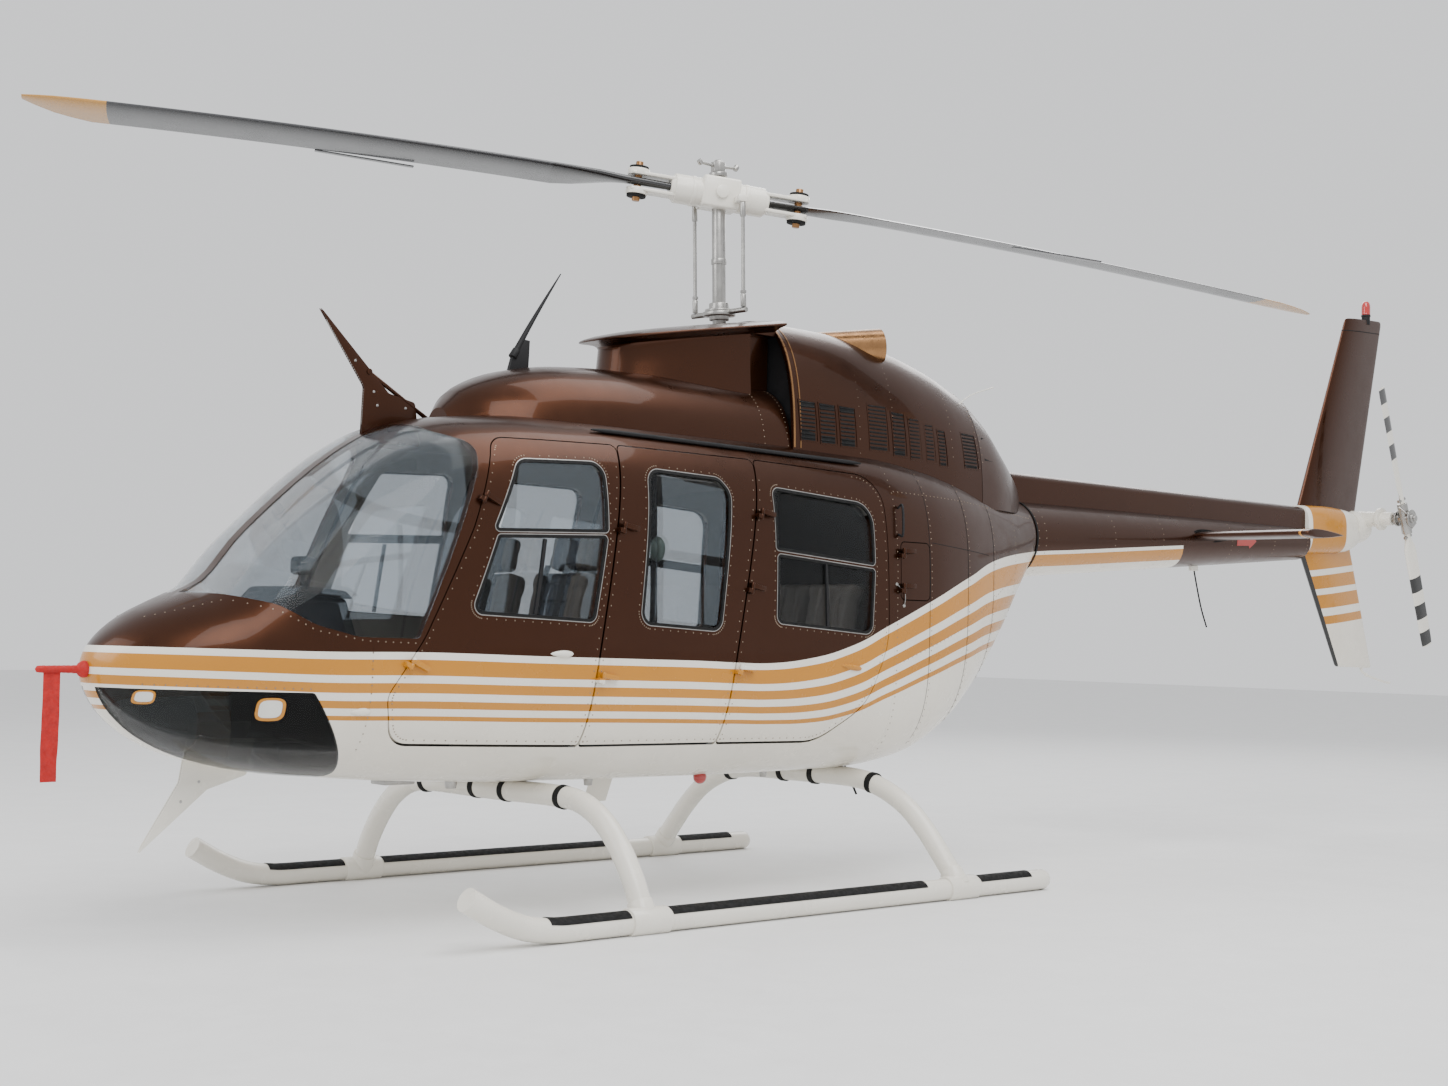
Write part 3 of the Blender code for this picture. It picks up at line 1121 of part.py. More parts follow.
for side in (1, -1):
    name = "skid_" + side_name(side)
    y = side * SKID_HALF_SPACING
    rear = [(SKID_REAR, y, SKID_RADIUS), (SKID_REAR + 0.012, y, SKID_RADIUS), (SKID_REAR + 0.040, y, SKID_RADIUS)]
    rear += [(-0.900, y, SKID_RADIUS), (-0.300, y, SKID_RADIUS), (0.500, y, SKID_RADIUS), (1.250, y, SKID_RADIUS)]
    front = smooth_path(
        [(1.700, y, SKID_RADIUS), (1.860, y, SKID_RADIUS), (2.020, y, 0.074), (2.170, y, 0.130), (2.320, y, 0.212)], 2
    )
    radii = [0.45, 0.80, 1.0] + [1.0] * (4 + len(front))
    skid = tube(name, rear + front, SKID_RADIUS, CREAM, radii=radii)
    for x, points in ((FRONT_LEG_X, FRONT_LEG), (REAR_LEG_X, REAR_LEG)):
        leg_y, leg_z = points[-1]
        lean = Vector((0.0, side * (leg_y - points[-2][0]), leg_z - points[-2][1])).normalized()
        end = Vector((x, side * leg_y, leg_z))
        word = f"{name}_{x:.0f}"
        sleeve = cylinder_mesh((x - 0.105, y, SKID_RADIUS), (x + 0.105, y, SKID_RADIUS), SLEEVE_RADIUS, word)
        deep = end + lean * (SKID_RADIUS - leg_z) / lean.z
        socket = cylinder_mesh(end + lean * GAP, deep, LEG_RADIUS + 0.007, word)
        join(skid, cutter(sleeve, word + "_sleeve"), cutter(socket, word + "_socket"))
    ground = box_mesh((-2.0, y - 0.2, -0.2), (3.0, y + 0.2, 0.0), name + "_ground")
    cut(skid, cutter(ground, name + "_ground"))

# Plate under the belly between the cross tubes, where a cargo hook is bolted
plate = box_mesh((HOOK_X - 0.160, -0.120, HOOK_PLATE), (HOOK_X + 0.160, 0.120, 0.600), "hook_plate")
join(cabin, cutter(plate, "hook_plate"))

# Cabin floor, hood, seats and stick
floor = place(hull_mesh(WALL + 0.0006, "cabin_floor"), "cabin_floor", LEATHER)
floor_box = box_mesh((-0.590, -REACH, 0.6725), (2.400, REACH, FLOOR_TOP), "floor_box")
keep(floor, cutter(floor_box, "floor_box"))
cut(floor, *floor_cuts)


def rounded_box(low, high, radius, name, lean=0.0, about=None):
    """A block with bevelled edges, leaning aft about its lower edge."""
    bm = bmesh.new()
    size = Vector(high) - Vector(low)
    middle = (Vector(high) + Vector(low)) / 2
    bmesh.ops.create_cube(bm, size=1.0, matrix=Matrix.Translation(middle) @ Matrix.Diagonal((*size, 1.0)))
    bmesh.ops.bevel(bm, geom=bm.edges, offset=radius, segments=1, affect="EDGES")
    if lean:
        pivot = Matrix.Translation(about)
        bmesh.ops.transform(bm, matrix=pivot @ Matrix.Rotation(lean, 4, "Y") @ pivot.inverted(), verts=bm.verts)
    return mesh_of(bm, name)


def seat(name, x, y, width, facing=1, headrest=True):
    """Base box, cushion, leaning back and headrest as one body; facing is +1 forward or -1 aft."""
    half = width / 2
    base_low, base_high = sorted((x - facing * 0.020, x + facing * 0.400))
    body = place(
        rounded_box((base_low, y - half + SEAT_BASE_INSET, FLOOR_TOP + GAP), (base_high, y + half - SEAT_BASE_INSET, 1.000), 0.015, name),
        name,
        LEATHER,
    )
    low, high = sorted((x - facing * 0.060, x + facing * 0.470))
    cushion = rounded_box((low, y - half, 0.980), (high, y + half, 1.110), 0.035, name + "_cushion")
    low, high = sorted((x - facing * 0.110, x + facing * 0.030))
    foot = Vector((x, y, 1.000))
    back = rounded_box((low, y - half, 1.000), (high, y + half, 1.600), 0.040, name + "_back", -facing * SEAT_LEAN, foot)
    join(body, cutter(cushion, name + "_cushion"), cutter(back, name + "_back"))
    if headrest:
        low, high = sorted((x - facing * 0.095, x + facing * 0.020))
        rest = rounded_box((low, y - 0.13, 1.570), (high, y + 0.13, 1.760), 0.035, name + "_rest", -facing * SEAT_LEAN, foot)
        join(body, cutter(rest, name + "_rest"))
    return body


for side in (1, -1):
    seat("front_seat_" + side_name(side), 1.360, side * 0.290, 0.440)
seat("rear_bench", -0.370, 0.0, 1.020, headrest=False)

hood_points = [Vector(p) for p in ((2.200, FLOOR_TOP + GAP), (2.640, FLOOR_TOP + GAP), (2.700, 1.280), (2.560, 1.420), (2.330, 1.400), (2.250, 1.180))]
hood = place(prism([Vector((p.x, p.y)) for p in hood_points], -0.200, 0.200, "instrument_hood"), "instrument_hood", BLACK)
stick_path = smooth_path([(1.880, 0.290, 0.800), (1.930, 0.290, 1.000), (1.900, 0.290, 1.300)], 3)
stick_path.insert(0, Vector((1.880, 0.290, FLOOR_TOP + GAP)))
tube("control_stick", stick_path, 0.014, BLACK)

# Wire cutters, antenna, pitot tube with its cover and ribbon
def blade_outline(points, half, name, material):
    return place(prism([Vector(p) for p in points], -half, half, name), name, material)


upper_cutter = blade_outline(UPPER_CUTTER, 0.009, "upper_wire_cutter", BROWN)
brace = cylinder_mesh((2.130, 0.0, 2.420), (1.790, 0.0, 2.220), 0.011, "cutter_brace", 10)
join(upper_cutter, cutter(brace, "cutter_brace"))
cut(upper_cutter, grown_hull)
lower_cutter = blade_outline(LOWER_CUTTER, 0.009, "lower_wire_cutter", CREAM)
cut(lower_cutter, grown_hull)

whip = place(
    cylinder_mesh((1.330, 0.0, 2.560), (1.060, 0.0, 3.000), 0.016, "whip_antenna", 10, 0.003), "whip_antenna", BLACK
)
fin = prism([Vector(p) for p in ((1.390, 2.400), (1.250, 2.400), (1.240, 2.660), (1.275, 2.660))], -0.010, 0.010, "whip_foot")
join(whip, cutter(fin, "whip_foot"))
cut(whip, fairing_grown)

PITOT_HEIGHT = 1.088
pitot = cylinder_mesh((3.350, 0.0, PITOT_HEIGHT), (FRONT_REACH, 0.0, PITOT_HEIGHT), 0.0165, "pitot_cover", 12)
pitot = place(pitot, "pitot_cover", RED)
collar = cylinder_mesh((3.350, 0.0, PITOT_HEIGHT), (3.435, 0.0, PITOT_HEIGHT), 0.036, "pitot_collar", 12)
join(pitot, cutter(collar, "pitot_collar"))
cut(pitot, grown_hull)
ribbon = box_mesh((3.515, -0.0015, 0.640), (3.585, 0.0015, PITOT_HEIGHT - 0.0165 - GAP), "pitot_ribbon")
ribbon = place(ribbon, "pitot_ribbon", RED)
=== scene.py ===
# Light helicopter on skids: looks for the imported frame.
import math

import bmesh
import bpy
from mathutils import Matrix, Vector
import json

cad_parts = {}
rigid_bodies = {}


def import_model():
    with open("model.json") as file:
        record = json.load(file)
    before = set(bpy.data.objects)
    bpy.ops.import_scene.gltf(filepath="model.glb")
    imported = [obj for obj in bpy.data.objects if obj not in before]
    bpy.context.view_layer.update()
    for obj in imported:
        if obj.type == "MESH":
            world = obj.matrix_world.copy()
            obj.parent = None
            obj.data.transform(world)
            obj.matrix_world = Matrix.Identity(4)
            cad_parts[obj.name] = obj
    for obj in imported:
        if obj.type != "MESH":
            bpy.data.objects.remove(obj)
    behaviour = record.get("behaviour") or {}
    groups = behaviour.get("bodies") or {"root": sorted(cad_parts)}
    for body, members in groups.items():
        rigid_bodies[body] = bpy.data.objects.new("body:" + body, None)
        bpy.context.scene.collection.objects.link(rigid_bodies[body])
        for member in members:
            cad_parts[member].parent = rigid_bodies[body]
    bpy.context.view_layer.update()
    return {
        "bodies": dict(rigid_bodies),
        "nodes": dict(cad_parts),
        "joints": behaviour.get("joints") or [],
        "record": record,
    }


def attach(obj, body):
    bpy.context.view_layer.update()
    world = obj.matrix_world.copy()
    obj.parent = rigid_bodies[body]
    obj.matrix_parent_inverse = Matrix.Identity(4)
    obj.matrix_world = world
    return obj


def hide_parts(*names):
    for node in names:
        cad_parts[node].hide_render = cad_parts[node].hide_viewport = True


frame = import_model()
# lengths below are measured from the mast, and finished pieces move by this
shift = Vector((1.545, 0.00649, 0.0))
scene = bpy.context.scene

# Camera at the photo's view
lookout = {"lens": 50.47, "at": (7.02, 7.76, 1.295), "yaw": 3.974, "pitch": 0.043, "roll": 0.020}


def makeCamera(v):
    camera = bpy.data.objects.new("camera", bpy.data.cameras.new("camera"))
    scene.collection.objects.link(camera)
    camera.data.lens = v["lens"]
    camera.data.sensor_width = 36.0
    camera.data.sensor_fit = "HORIZONTAL"
    camera.data.clip_end = 200.0
    ahead = Vector((math.cos(v["pitch"]) * math.cos(v["yaw"]), math.cos(v["pitch"]) * math.sin(v["yaw"]),
            math.sin(v["pitch"])))
    right = ahead.cross(Vector((0, 0, 1))).normalized()
    up = right.cross(ahead)
    tilted = right * math.cos(v["roll"]) + up * math.sin(v["roll"])
    upright = up * math.cos(v["roll"]) - right * math.sin(v["roll"])
    turn = Matrix((tilted, upright, -ahead)).transposed().to_4x4()
    camera.matrix_world = Matrix.Translation(Vector(v["at"]) + shift) @ turn
    scene.camera = camera


makeCamera(lookout)
print("camera placed")

# Hull rows: x, bottom, height of greatest width, top, half width, upper and lower fullness
hullRows = [
    (3.410, 1.060, 1.090, 1.120, 0.030, 2.0, 2.0), (3.400, 1.015, 1.090, 1.160, 0.080, 2.0, 2.0),
    (3.370, 0.955, 1.090, 1.205, 0.145, 2.0, 2.0), (3.310, 0.885, 1.090, 1.262, 0.220, 2.1, 2.1),
    (3.220, 0.815, 1.090, 1.325, 0.295, 2.1, 2.1), (3.090, 0.750, 1.090, 1.385, 0.370, 2.2, 2.2),
    (2.930, 0.700, 1.090, 1.460, 0.440, 2.3, 2.3), (2.760, 0.665, 1.100, 1.655, 0.492, 2.4, 2.4),
    (2.570, 0.640, 1.120, 1.835, 0.535, 2.5, 2.5), (2.390, 0.625, 1.140, 1.985, 0.568, 2.7, 2.6),
    (2.230, 0.612, 1.160, 2.095, 0.592, 2.9, 2.8), (2.070, 0.602, 1.180, 2.175, 0.612, 3.2, 3.0),
    (1.850, 0.592, 1.200, 2.232, 0.635, 3.6, 3.2), (1.500, 0.582, 1.220, 2.262, 0.655, 4.0, 3.4),
    (0.900, 0.576, 1.220, 2.275, 0.662, 4.2, 3.5), (0.100, 0.574, 1.220, 2.275, 0.662, 4.2, 3.5),
    (-0.600, 0.582, 1.240, 2.265, 0.658, 4.2, 3.4), (-0.980, 0.618, 1.330, 2.245, 0.634, 3.8, 3.1),
    (-1.300, 0.715, 1.450, 2.215, 0.578, 3.4, 2.8), (-1.600, 0.890, 1.580, 2.180, 0.492, 3.0, 2.5),
    (-1.900, 1.165, 1.710, 2.145, 0.385, 2.6, 2.3), (-2.120, 1.420, 1.795, 2.118, 0.298, 2.3, 2.1),
    (-2.300, 1.640, 1.870, 2.100, 0.230, 2.0, 2.0),
]
hull = {
    "ring": 88, "wall": 0.034, "skin": 0.012, "screen": 0.005, "paneOut": 0.009, "paneIn": 0.014,
    "gap": 0.0025,
}


def slopesOf(rows, column):
    # slopes that keep a curve through the rows free of overshoot
    steps = [(b[column] - a[column]) / (b[0] - a[0]) for a, b in zip(rows, rows[1:])]
    slopes = [steps[0]]
    for a, b in zip(steps, steps[1:]):
        slopes.append(0.0 if a * b <= 0 else 2 * a * b / (a + b))
    return slopes + [steps[-1]]


hullSlopes = [slopesOf(hullRows, column) for column in range(7)]


def rowAt(x):
    x = min(hullRows[0][0], max(hullRows[-1][0], x))
    i = next(k for k in range(len(hullRows) - 1) if hullRows[k + 1][0] <= x)
    a, b = hullRows[i], hullRows[i + 1]
    step = b[0] - a[0]
    t = (x - a[0]) / step
    values = [x]
    for c in range(1, 7):
        m, n = hullSlopes[c][i] * step, hullSlopes[c][i + 1] * step
        values.append((2 * t**3 - 3 * t**2 + 1) * a[c] + (t**3 - 2 * t**2 + t) * m
                + (3 * t**2 - 2 * t**3) * b[c] + (t**3 - t**2) * n)
    return values


def roundPower(value, power):
    return math.copysign(abs(value) ** power, value)


def hullRing(row, inset, x=None):
    atX, bottom, wide, top, half, upper, lower = row
    ring = []
    for i in range(hull["ring"]):
        turn = 2 * math.pi * (i + 0.5) / hull["ring"]
        across, up = math.cos(turn), math.sin(turn)
        full = upper if up >= 0 else lower
        reach = top - inset - wide if up >= 0 else wide - bottom - inset
        y = roundPower(across, 2 / full) * (half - inset)
        ring.append(Vector((atX if x is None else x, y, wide + roundPower(up, 2 / full) * reach)))
    return ring


def halfWidth(x, z):
    atX, bottom, wide, top, half, upper, lower = rowAt(x)
    rise = (z - wide) / (top - wide) if z >= wide else (wide - z) / (wide - bottom)
    full = upper if z >= wide else lower
    return half * max(0.0, 1.0 - min(1.0, rise) ** full) ** (1 / full)


def skinPoint(x, z, side, lift=0.0):
    # a point on the hull's side, and lifted off it along the slope there
    y = halfWidth(x, z)
    step = 0.004
    dx = (halfWidth(x + step, z) - halfWidth(x - step, z)) / (2 * step)
    dz = (halfWidth(x, z + step) - halfWidth(x, z - step)) / (2 * step)
    out = Vector((-dx, 1.0, -dz)).normalized()
    return Vector((x + out.x * lift, side * (y + out.y * lift), z + out.z * lift))


def select(*things):
    bpy.ops.object.select_all(action="DESELECT")
    for thing in things:
        thing.select_set(True)
    bpy.context.view_layer.objects.active = things[0]


def makeObject(name, mesh):
    thing = bpy.data.objects.new(name, mesh)
    scene.collection.objects.link(thing)
    return thing


def fromBmesh(name, bm, outward=True):
    if outward:
        bmesh.ops.recalc_face_normals(bm, faces=bm.faces)
    mesh = bpy.data.meshes.new(name)
    bm.to_mesh(mesh)
    bm.free()
    return makeObject(name, mesh)


def loft(name, rings, caps=True, closed=False):
    bm = bmesh.new()
    rows = [[bm.verts.new(point) for point in ring] for ring in rings]
    pairs = list(zip(rows, rows[1:])) + ([(rows[-1], rows[0])] if closed else [])
    for near, far in pairs:
        for i in range(len(near)):
            j = (i + 1) % len(near)
            bm.faces.new((near[i], near[j], far[j], far[i]))
    if caps and not closed:
        bm.faces.new(rows[0])
        bm.faces.new(rows[-1])
    return fromBmesh(name, bm)


def booleanWith(target, tools, operation="DIFFERENCE"):
    for tool in tools if isinstance(tools, (list, tuple)) else [tools]:
        change = target.modifiers.new("shape", "BOOLEAN")
        change.operation = operation
        change.object = tool
        change.solver = "EXACT"
        select(target)
        bpy.ops.object.modifier_apply(modifier=change.name)
    return target


def discard(*things):
    for thing in things:
        bpy.data.objects.remove(thing)


def copyOf(thing, name):
    return makeObject(name, thing.data.copy())


def joinPieces(name, pieces):
    select(*pieces)
    if len(pieces) > 1:
        bpy.ops.object.join()
    pieces[0].name = name
    return pieces[0]


# Sampled positions along the hull, closer at the nose
hullPlaces = [3.41, 3.405, 3.40, 3.39, 3.375, 3.355, 3.33, 3.30, 3.265, 3.225, 3.18, 3.13, 3.08, 3.03, 2.98]
hullPlaces += [2.98 - 0.05 * i for i in range(1, 24)] + [1.83 - 0.09 * i for i in range(1, 27)]
hullPlaces += [-0.51 - 0.06 * i for i in range(1, 30)] + [-2.30]


def hullBody(name, inset):
    rings = []
    for place in hullPlaces:
        row = rowAt(place)
        if inset > 0 and min(row[3] - row[2], row[2] - row[1], row[4]) <= inset + 0.004:
            continue
        x = place
        if x > 3.0:
            x -= inset * (x - 3.0) / 0.41
        rings.append(hullRing(row, inset, x))
    return loft(name, rings)


def rounded(corners, stepDegrees=9):
    points = []
    for i, (x, z, radius) in enumerate(corners):
        corner = Vector((x, z))
        back = Vector(corners[i - 1][:2]) - corner
        ahead = Vector(corners[(i + 1) % len(corners)][:2]) - corner
        angle = back.angle(ahead)
        if radius <= 0.0 or math.pi - angle < 0.02:
            points.append(corner)
            continue
        run = min(radius / math.tan(angle / 2), 0.48 * back.length, 0.48 * ahead.length)
        radius = run * math.tan(angle / 2)
        inward = (back.normalized() + ahead.normalized()).normalized()
        middle = corner + inward * radius / math.sin(angle / 2)
        first, last = corner + back.normalized() * run - middle, corner + ahead.normalized() * run - middle
        steps = max(2, round(math.degrees(math.pi - angle) / stepDegrees))
        sweep = first.angle_signed(last)
        points += [middle + Matrix.Rotation(-sweep * k / steps, 2) @ first for k in range(steps + 1)]
    return points


def grown(points, distance):
    side = 1.0 if sum(a.x * b.y - b.x * a.y for a, b in zip(points, points[1:] + points[:1])) > 0 else -1.0
    moved = []
    for i, point in enumerate(points):
        before = (point - points[i - 1]).normalized()
        after = (points[(i + 1) % len(points)] - point).normalized()
        normal = Vector((before.y + after.y, -before.x - after.x)).normalized() * side
        lean = max(0.3, abs(normal.dot(Vector((before.y, -before.x)))))
        moved.append(point + normal * distance / lean)
    return moved


def prism(name, points, near, far):
    bm = bmesh.new()
    face = bm.faces.new([bm.verts.new((p.x, near, p.y)) for p in points])
    side = bmesh.ops.extrude_face_region(bm, geom=[face])["geom"]
    moved = [item for item in side if isinstance(item, bmesh.types.BMVert)]
    bmesh.ops.translate(bm, vec=(0.0, far - near, 0.0), verts=moved)
    return fromBmesh(name, bm)


def boxPiece(name, low, high, bevel=0.0, segments=2):
    bpy.ops.object.select_all(action="DESELECT")
    middle = [(a + b) / 2 for a, b in zip(low, high)]
    bpy.ops.mesh.primitive_cube_add(size=1.0, location=middle, scale=[b - a for a, b in zip(low, high)])
    thing = bpy.context.object
    thing.name = name
    bpy.ops.object.transform_apply(location=True, rotation=True, scale=True)
    if bevel:
        change = thing.modifiers.new("edges", "BEVEL")
        change.width, change.segments = bevel, segments
        bpy.ops.object.modifier_apply(modifier=change.name)
    return thing


def rodPiece(name, start, end, radius, endRadius=None, sides=24, bevel=0.0):
    start, end = Vector(start), Vector(end)
    bpy.ops.object.select_all(action="DESELECT")
    bpy.ops.mesh.primitive_cone_add(
        vertices=sides, radius1=radius, radius2=radius if endRadius is None else endRadius,
        depth=(end - start).length,
        location=(start + end) / 2, rotation=(end - start).to_track_quat("Z", "Y").to_euler(),
    )
    thing = bpy.context.object
    thing.name = name
    bpy.ops.object.transform_apply(location=True, rotation=True, scale=True)
    if bevel:
        change = thing.modifiers.new("edges", "BEVEL")
        change.width, change.segments, change.limit_method = bevel, 2, "ANGLE"
        bpy.ops.object.modifier_apply(modifier=change.name)
    return thing


def tubePiece(name, points, radius, closed=False, resolution=4, radii=None):
    curve = bpy.data.curves.new(name, "CURVE")
    curve.dimensions = "3D"
    curve.bevel_depth, curve.bevel_resolution = radius, resolution
    curve.use_fill_caps = not closed
    spline = curve.splines.new("POLY")
    spline.points.add(len(points) - 1)
    for i, point in enumerate(points):
        spline.points[i].co = (*point, 1.0)
        spline.points[i].radius = radii[i] if radii else 1.0
    spline.use_cyclic_u = closed
    thing = makeObject(name, curve)
    select(thing)
    bpy.ops.object.convert(target="MESH")
    bpy.ops.object.mode_set(mode="EDIT")
    bpy.ops.mesh.select_all(action="SELECT")
    bpy.ops.mesh.remove_doubles(threshold=1e-5)
    bpy.ops.mesh.normals_make_consistent(inside=False)
    bpy.ops.object.mode_set(mode="OBJECT")
    return bpy.context.object


def smoothPath(points, steps):
    points = [Vector(p) for p in points]
    ends = [2 * points[0] - points[1]] + points + [2 * points[-1] - points[-2]]
    path = []
    for a, b, c, d in zip(ends, ends[1:], ends[2:], ends[3:]):
        for k in range(steps):
            t = k / steps
            path.append(((2 * b) + (c - a) * t + (2 * a - 5 * b + 4 * c - d) * t * t
                    + (3 * b - a - 3 * c + d) * t**3) / 2)
    return path + [points[-1]]


def finish(piece, material, body="airframe", nodes=(), angle=32):
    # moves a finished piece into the row frame, gives it its finish and its body, and hides the nodes it
    # stands for
    if isinstance(piece, list):
        piece = joinPieces(piece[0].name, piece)
    piece.data.transform(Matrix.Translation(shift))
    piece.data.materials.clear()
    piece.data.materials.append(material)
    select(piece)
    bpy.ops.object.shade_smooth_by_angle(angle=math.radians(angle))
    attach(piece, body)
    if nodes:
        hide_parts(*nodes)
    return piece


# Finishes
def newMaterial(name, color, roughness=0.4, metallic=0.0, coat=0.0):
    material = bpy.data.materials.new(name)
    material.use_nodes = True
    shader = material.node_tree.nodes["Principled BSDF"]
    shader.inputs["Base Color"].default_value = (*color, 1.0)
    shader.inputs["Roughness"].default_value = roughness
    shader.inputs["Metallic"].default_value = metallic
    shader.inputs["Coat Weight"].default_value = coat
    shader.inputs["Coat Roughness"].default_value = 0.04
    return material, material.node_tree, shader


def addNode(tree, kind, **values):
    node = tree.nodes.new(kind)
    for key, value in values.items():
        setattr(node, key, value)
    return node


def objectPlace(tree, scale=(1.0, 1.0, 1.0)):
    # the object's coordinates, measured from the mast as the lengths here are
    source = addNode(tree, "ShaderNodeTexCoord")
    mapping = addNode(tree, "ShaderNodeMapping")
    mapping.inputs["Location"].default_value = [-a * b for a, b in zip(shift, scale)]
    mapping.inputs["Scale"].default_value = scale
    tree.links.new(source.outputs["Object"], mapping.inputs["Vector"])
    return mapping.outputs["Vector"]


def noiseOf(tree, vector, scale, detail=4.0, roughness=0.55):
    node = addNode(tree, "ShaderNodeTexNoise")
    node.inputs["Scale"].default_value = scale
    node.inputs["Detail"].default_value = detail
    node.inputs["Roughness"].default_value = roughness
    tree.links.new(vector, node.inputs["Vector"])
    return node.outputs["Fac"]


def rangeOf(tree, value, low, high, newLow, newHigh):
    node = addNode(tree, "ShaderNodeMapRange")
    for socket, number in zip(("From Min", "From Max", "To Min", "To Max"), (low, high, newLow, newHigh)):
        node.inputs[socket].default_value = number
    tree.links.new(value, node.inputs["Value"])
    return node.outputs["Result"]


def mathOf(tree, operation, first, second=0.0):
    node = addNode(tree, "ShaderNodeMath", operation=operation)
    for socket, value in zip(node.inputs, (first, second)):
        if isinstance(value, (int, float)):
            socket.default_value = value
        else:
            tree.links.new(value, socket)
    return node.outputs["Value"]


def mixOf(tree, share, first, second, blend="MIX"):
    node = addNode(tree, "ShaderNodeMix", data_type="RGBA", blend_type=blend)
    for socket, value in zip((node.inputs["Factor"], node.inputs[6], node.inputs[7]),
            (share, first, second)):
        if isinstance(value, (int, float)):
            socket.default_value = value
        elif isinstance(value, tuple):
            socket.default_value = (*value, 1.0)
        else:
            tree.links.new(value, socket)
    return node.outputs[2]


def rampOf(tree, value, stops, interpolation="CONSTANT"):
    node = addNode(tree, "ShaderNodeValToRGB")
    ramp = node.color_ramp
    ramp.interpolation = interpolation
    while len(ramp.elements) > 1:
        ramp.elements.remove(ramp.elements[-1])
    for i, (position, color) in enumerate(stops):
        element = ramp.elements[0] if i == 0 else ramp.elements.new(position)
        element.position = position
        element.color = color if len(color) == 4 else (*color, 1.0)
    tree.links.new(value, node.inputs["Fac"])
    return node


def curveOf(tree, value, points, lowX, highX, lowY, highY):
    node = addNode(tree, "ShaderNodeFloatCurve")
    curve = node.mapping.curves[0]
    spots = [((x - lowX) / (highX - lowX), (y - lowY) / (highY - lowY)) for x, y in sorted(points)]
    while len(curve.points) < len(spots):
        curve.points.new(0.5, 0.5)
    for point, spot in zip(curve.points, spots):
        point.location = spot
    node.mapping.update()
    tree.links.new(rangeOf(tree, value, lowX, highX, 0.0, 1.0), node.inputs["Value"])
    return rangeOf(tree, node.outputs["Value"], 0.0, 1.0, lowY, highY)


def bumpOf(tree, shader, heights, distance=0.001, strength=1.0):
    bump = addNode(tree, "ShaderNodeBump")
    bump.inputs["Distance"].default_value = distance
    bump.inputs["Strength"].default_value = strength
    tree.links.new(heights, bump.inputs["Height"])
    tree.links.new(bump.outputs["Normal"], shader.inputs["Normal"])
    return bump


tones = {
    "brown": (0.052, 0.0158, 0.0048), "white": (0.80, 0.77, 0.69), "cream": (0.78, 0.74, 0.65),
    "gold": (0.50, 0.200, 0.008),
}


def paintSurface(tree, shader, vector, color, brown):
    # dirt in the color, fine flakes and a soft waviness under the clear coat
    # brown is 1 where the paint is metallic
    cloud = noiseOf(tree, vector, 2.2, 5.0)
    color = mixOf(tree, rangeOf(tree, cloud, 0.30, 0.75, 0.0, 0.22), color,
            mixOf(tree, 1.0, color, (0.62, 0.58, 0.54), "MULTIPLY"))
    flake = addNode(tree, "ShaderNodeTexVoronoi")
    flake.inputs["Scale"].default_value = 900.0
    tree.links.new(vector, flake.inputs["Vector"])
    glint = rangeOf(tree, flake.outputs["Distance"], 0.0, 0.6, 1.25, 0.85)
    glint = mathOf(tree, "ADD", mathOf(tree, "MULTIPLY", mathOf(tree, "SUBTRACT", glint, 1.0), brown), 1.0)
    tree.links.new(mixOf(tree, 1.0, color, glint, "MULTIPLY"), shader.inputs["Base Color"])
    rough = mathOf(tree, "ADD", rangeOf(tree, noiseOf(tree, vector, 9.0), 0.3, 0.7, 0.20, 0.30),
            mathOf(tree, "MULTIPLY", brown, 0.06))
    tree.links.new(rough, shader.inputs["Roughness"])
    tree.links.new(mathOf(tree, "MULTIPLY", brown, 0.88), shader.inputs["Metallic"])
    bumpOf(tree, shader, noiseOf(tree, vector, 3.4, 2.0), 0.0022, 0.30)


def plainPaint(name, tone, brown=0.0):
    material, tree, shader = newMaterial(name, tones[tone], coat=0.22)
    vector = objectPlace(tree)
    base = addNode(tree, "ShaderNodeRGB")
    base.outputs[0].default_value = (*tones[tone], 1.0)
    metal = addNode(tree, "ShaderNodeValue")
    metal.outputs[0].default_value = brown
    paintSurface(tree, shader, vector, base.outputs[0], metal.outputs[0])
    return material


# Stripes: the upper edge and the height of the whole band, along the hull
stripeTop = [
    (3.41, 1.186), (3.20, 1.184), (2.92, 1.180), (2.60, 1.176), (2.20, 1.178), (1.61, 1.166), (1.00, 1.156),
    (0.70, 1.151), (0.47, 1.144), (0.25, 1.141), (-0.03, 1.166), (-0.31, 1.226), (-0.60, 1.337),
    (-0.94, 1.468), (-1.33, 1.612), (-1.71, 1.724), (-2.22, 1.785), (-2.75, 1.821), (-3.47, 1.870),
    (-4.00, 1.905),
]
stripeHeight = [
    (3.41, 0.255), (3.20, 0.261), (2.92, 0.268), (2.60, 0.281), (2.20, 0.288), (1.61, 0.289), (1.00, 0.291),
    (0.70, 0.293), (0.25, 0.294), (-0.03, 0.318), (-0.31, 0.345), (-0.60, 0.369), (-0.94, 0.398),
    (-1.33, 0.442), (-1.71, 0.49), (-2.30, 0.52), (-4.00, 0.52),
]
stripeShares = (0.0, 0.108, 0.338, 0.452, 0.597, 0.711, 0.824, 0.932, 1.0)


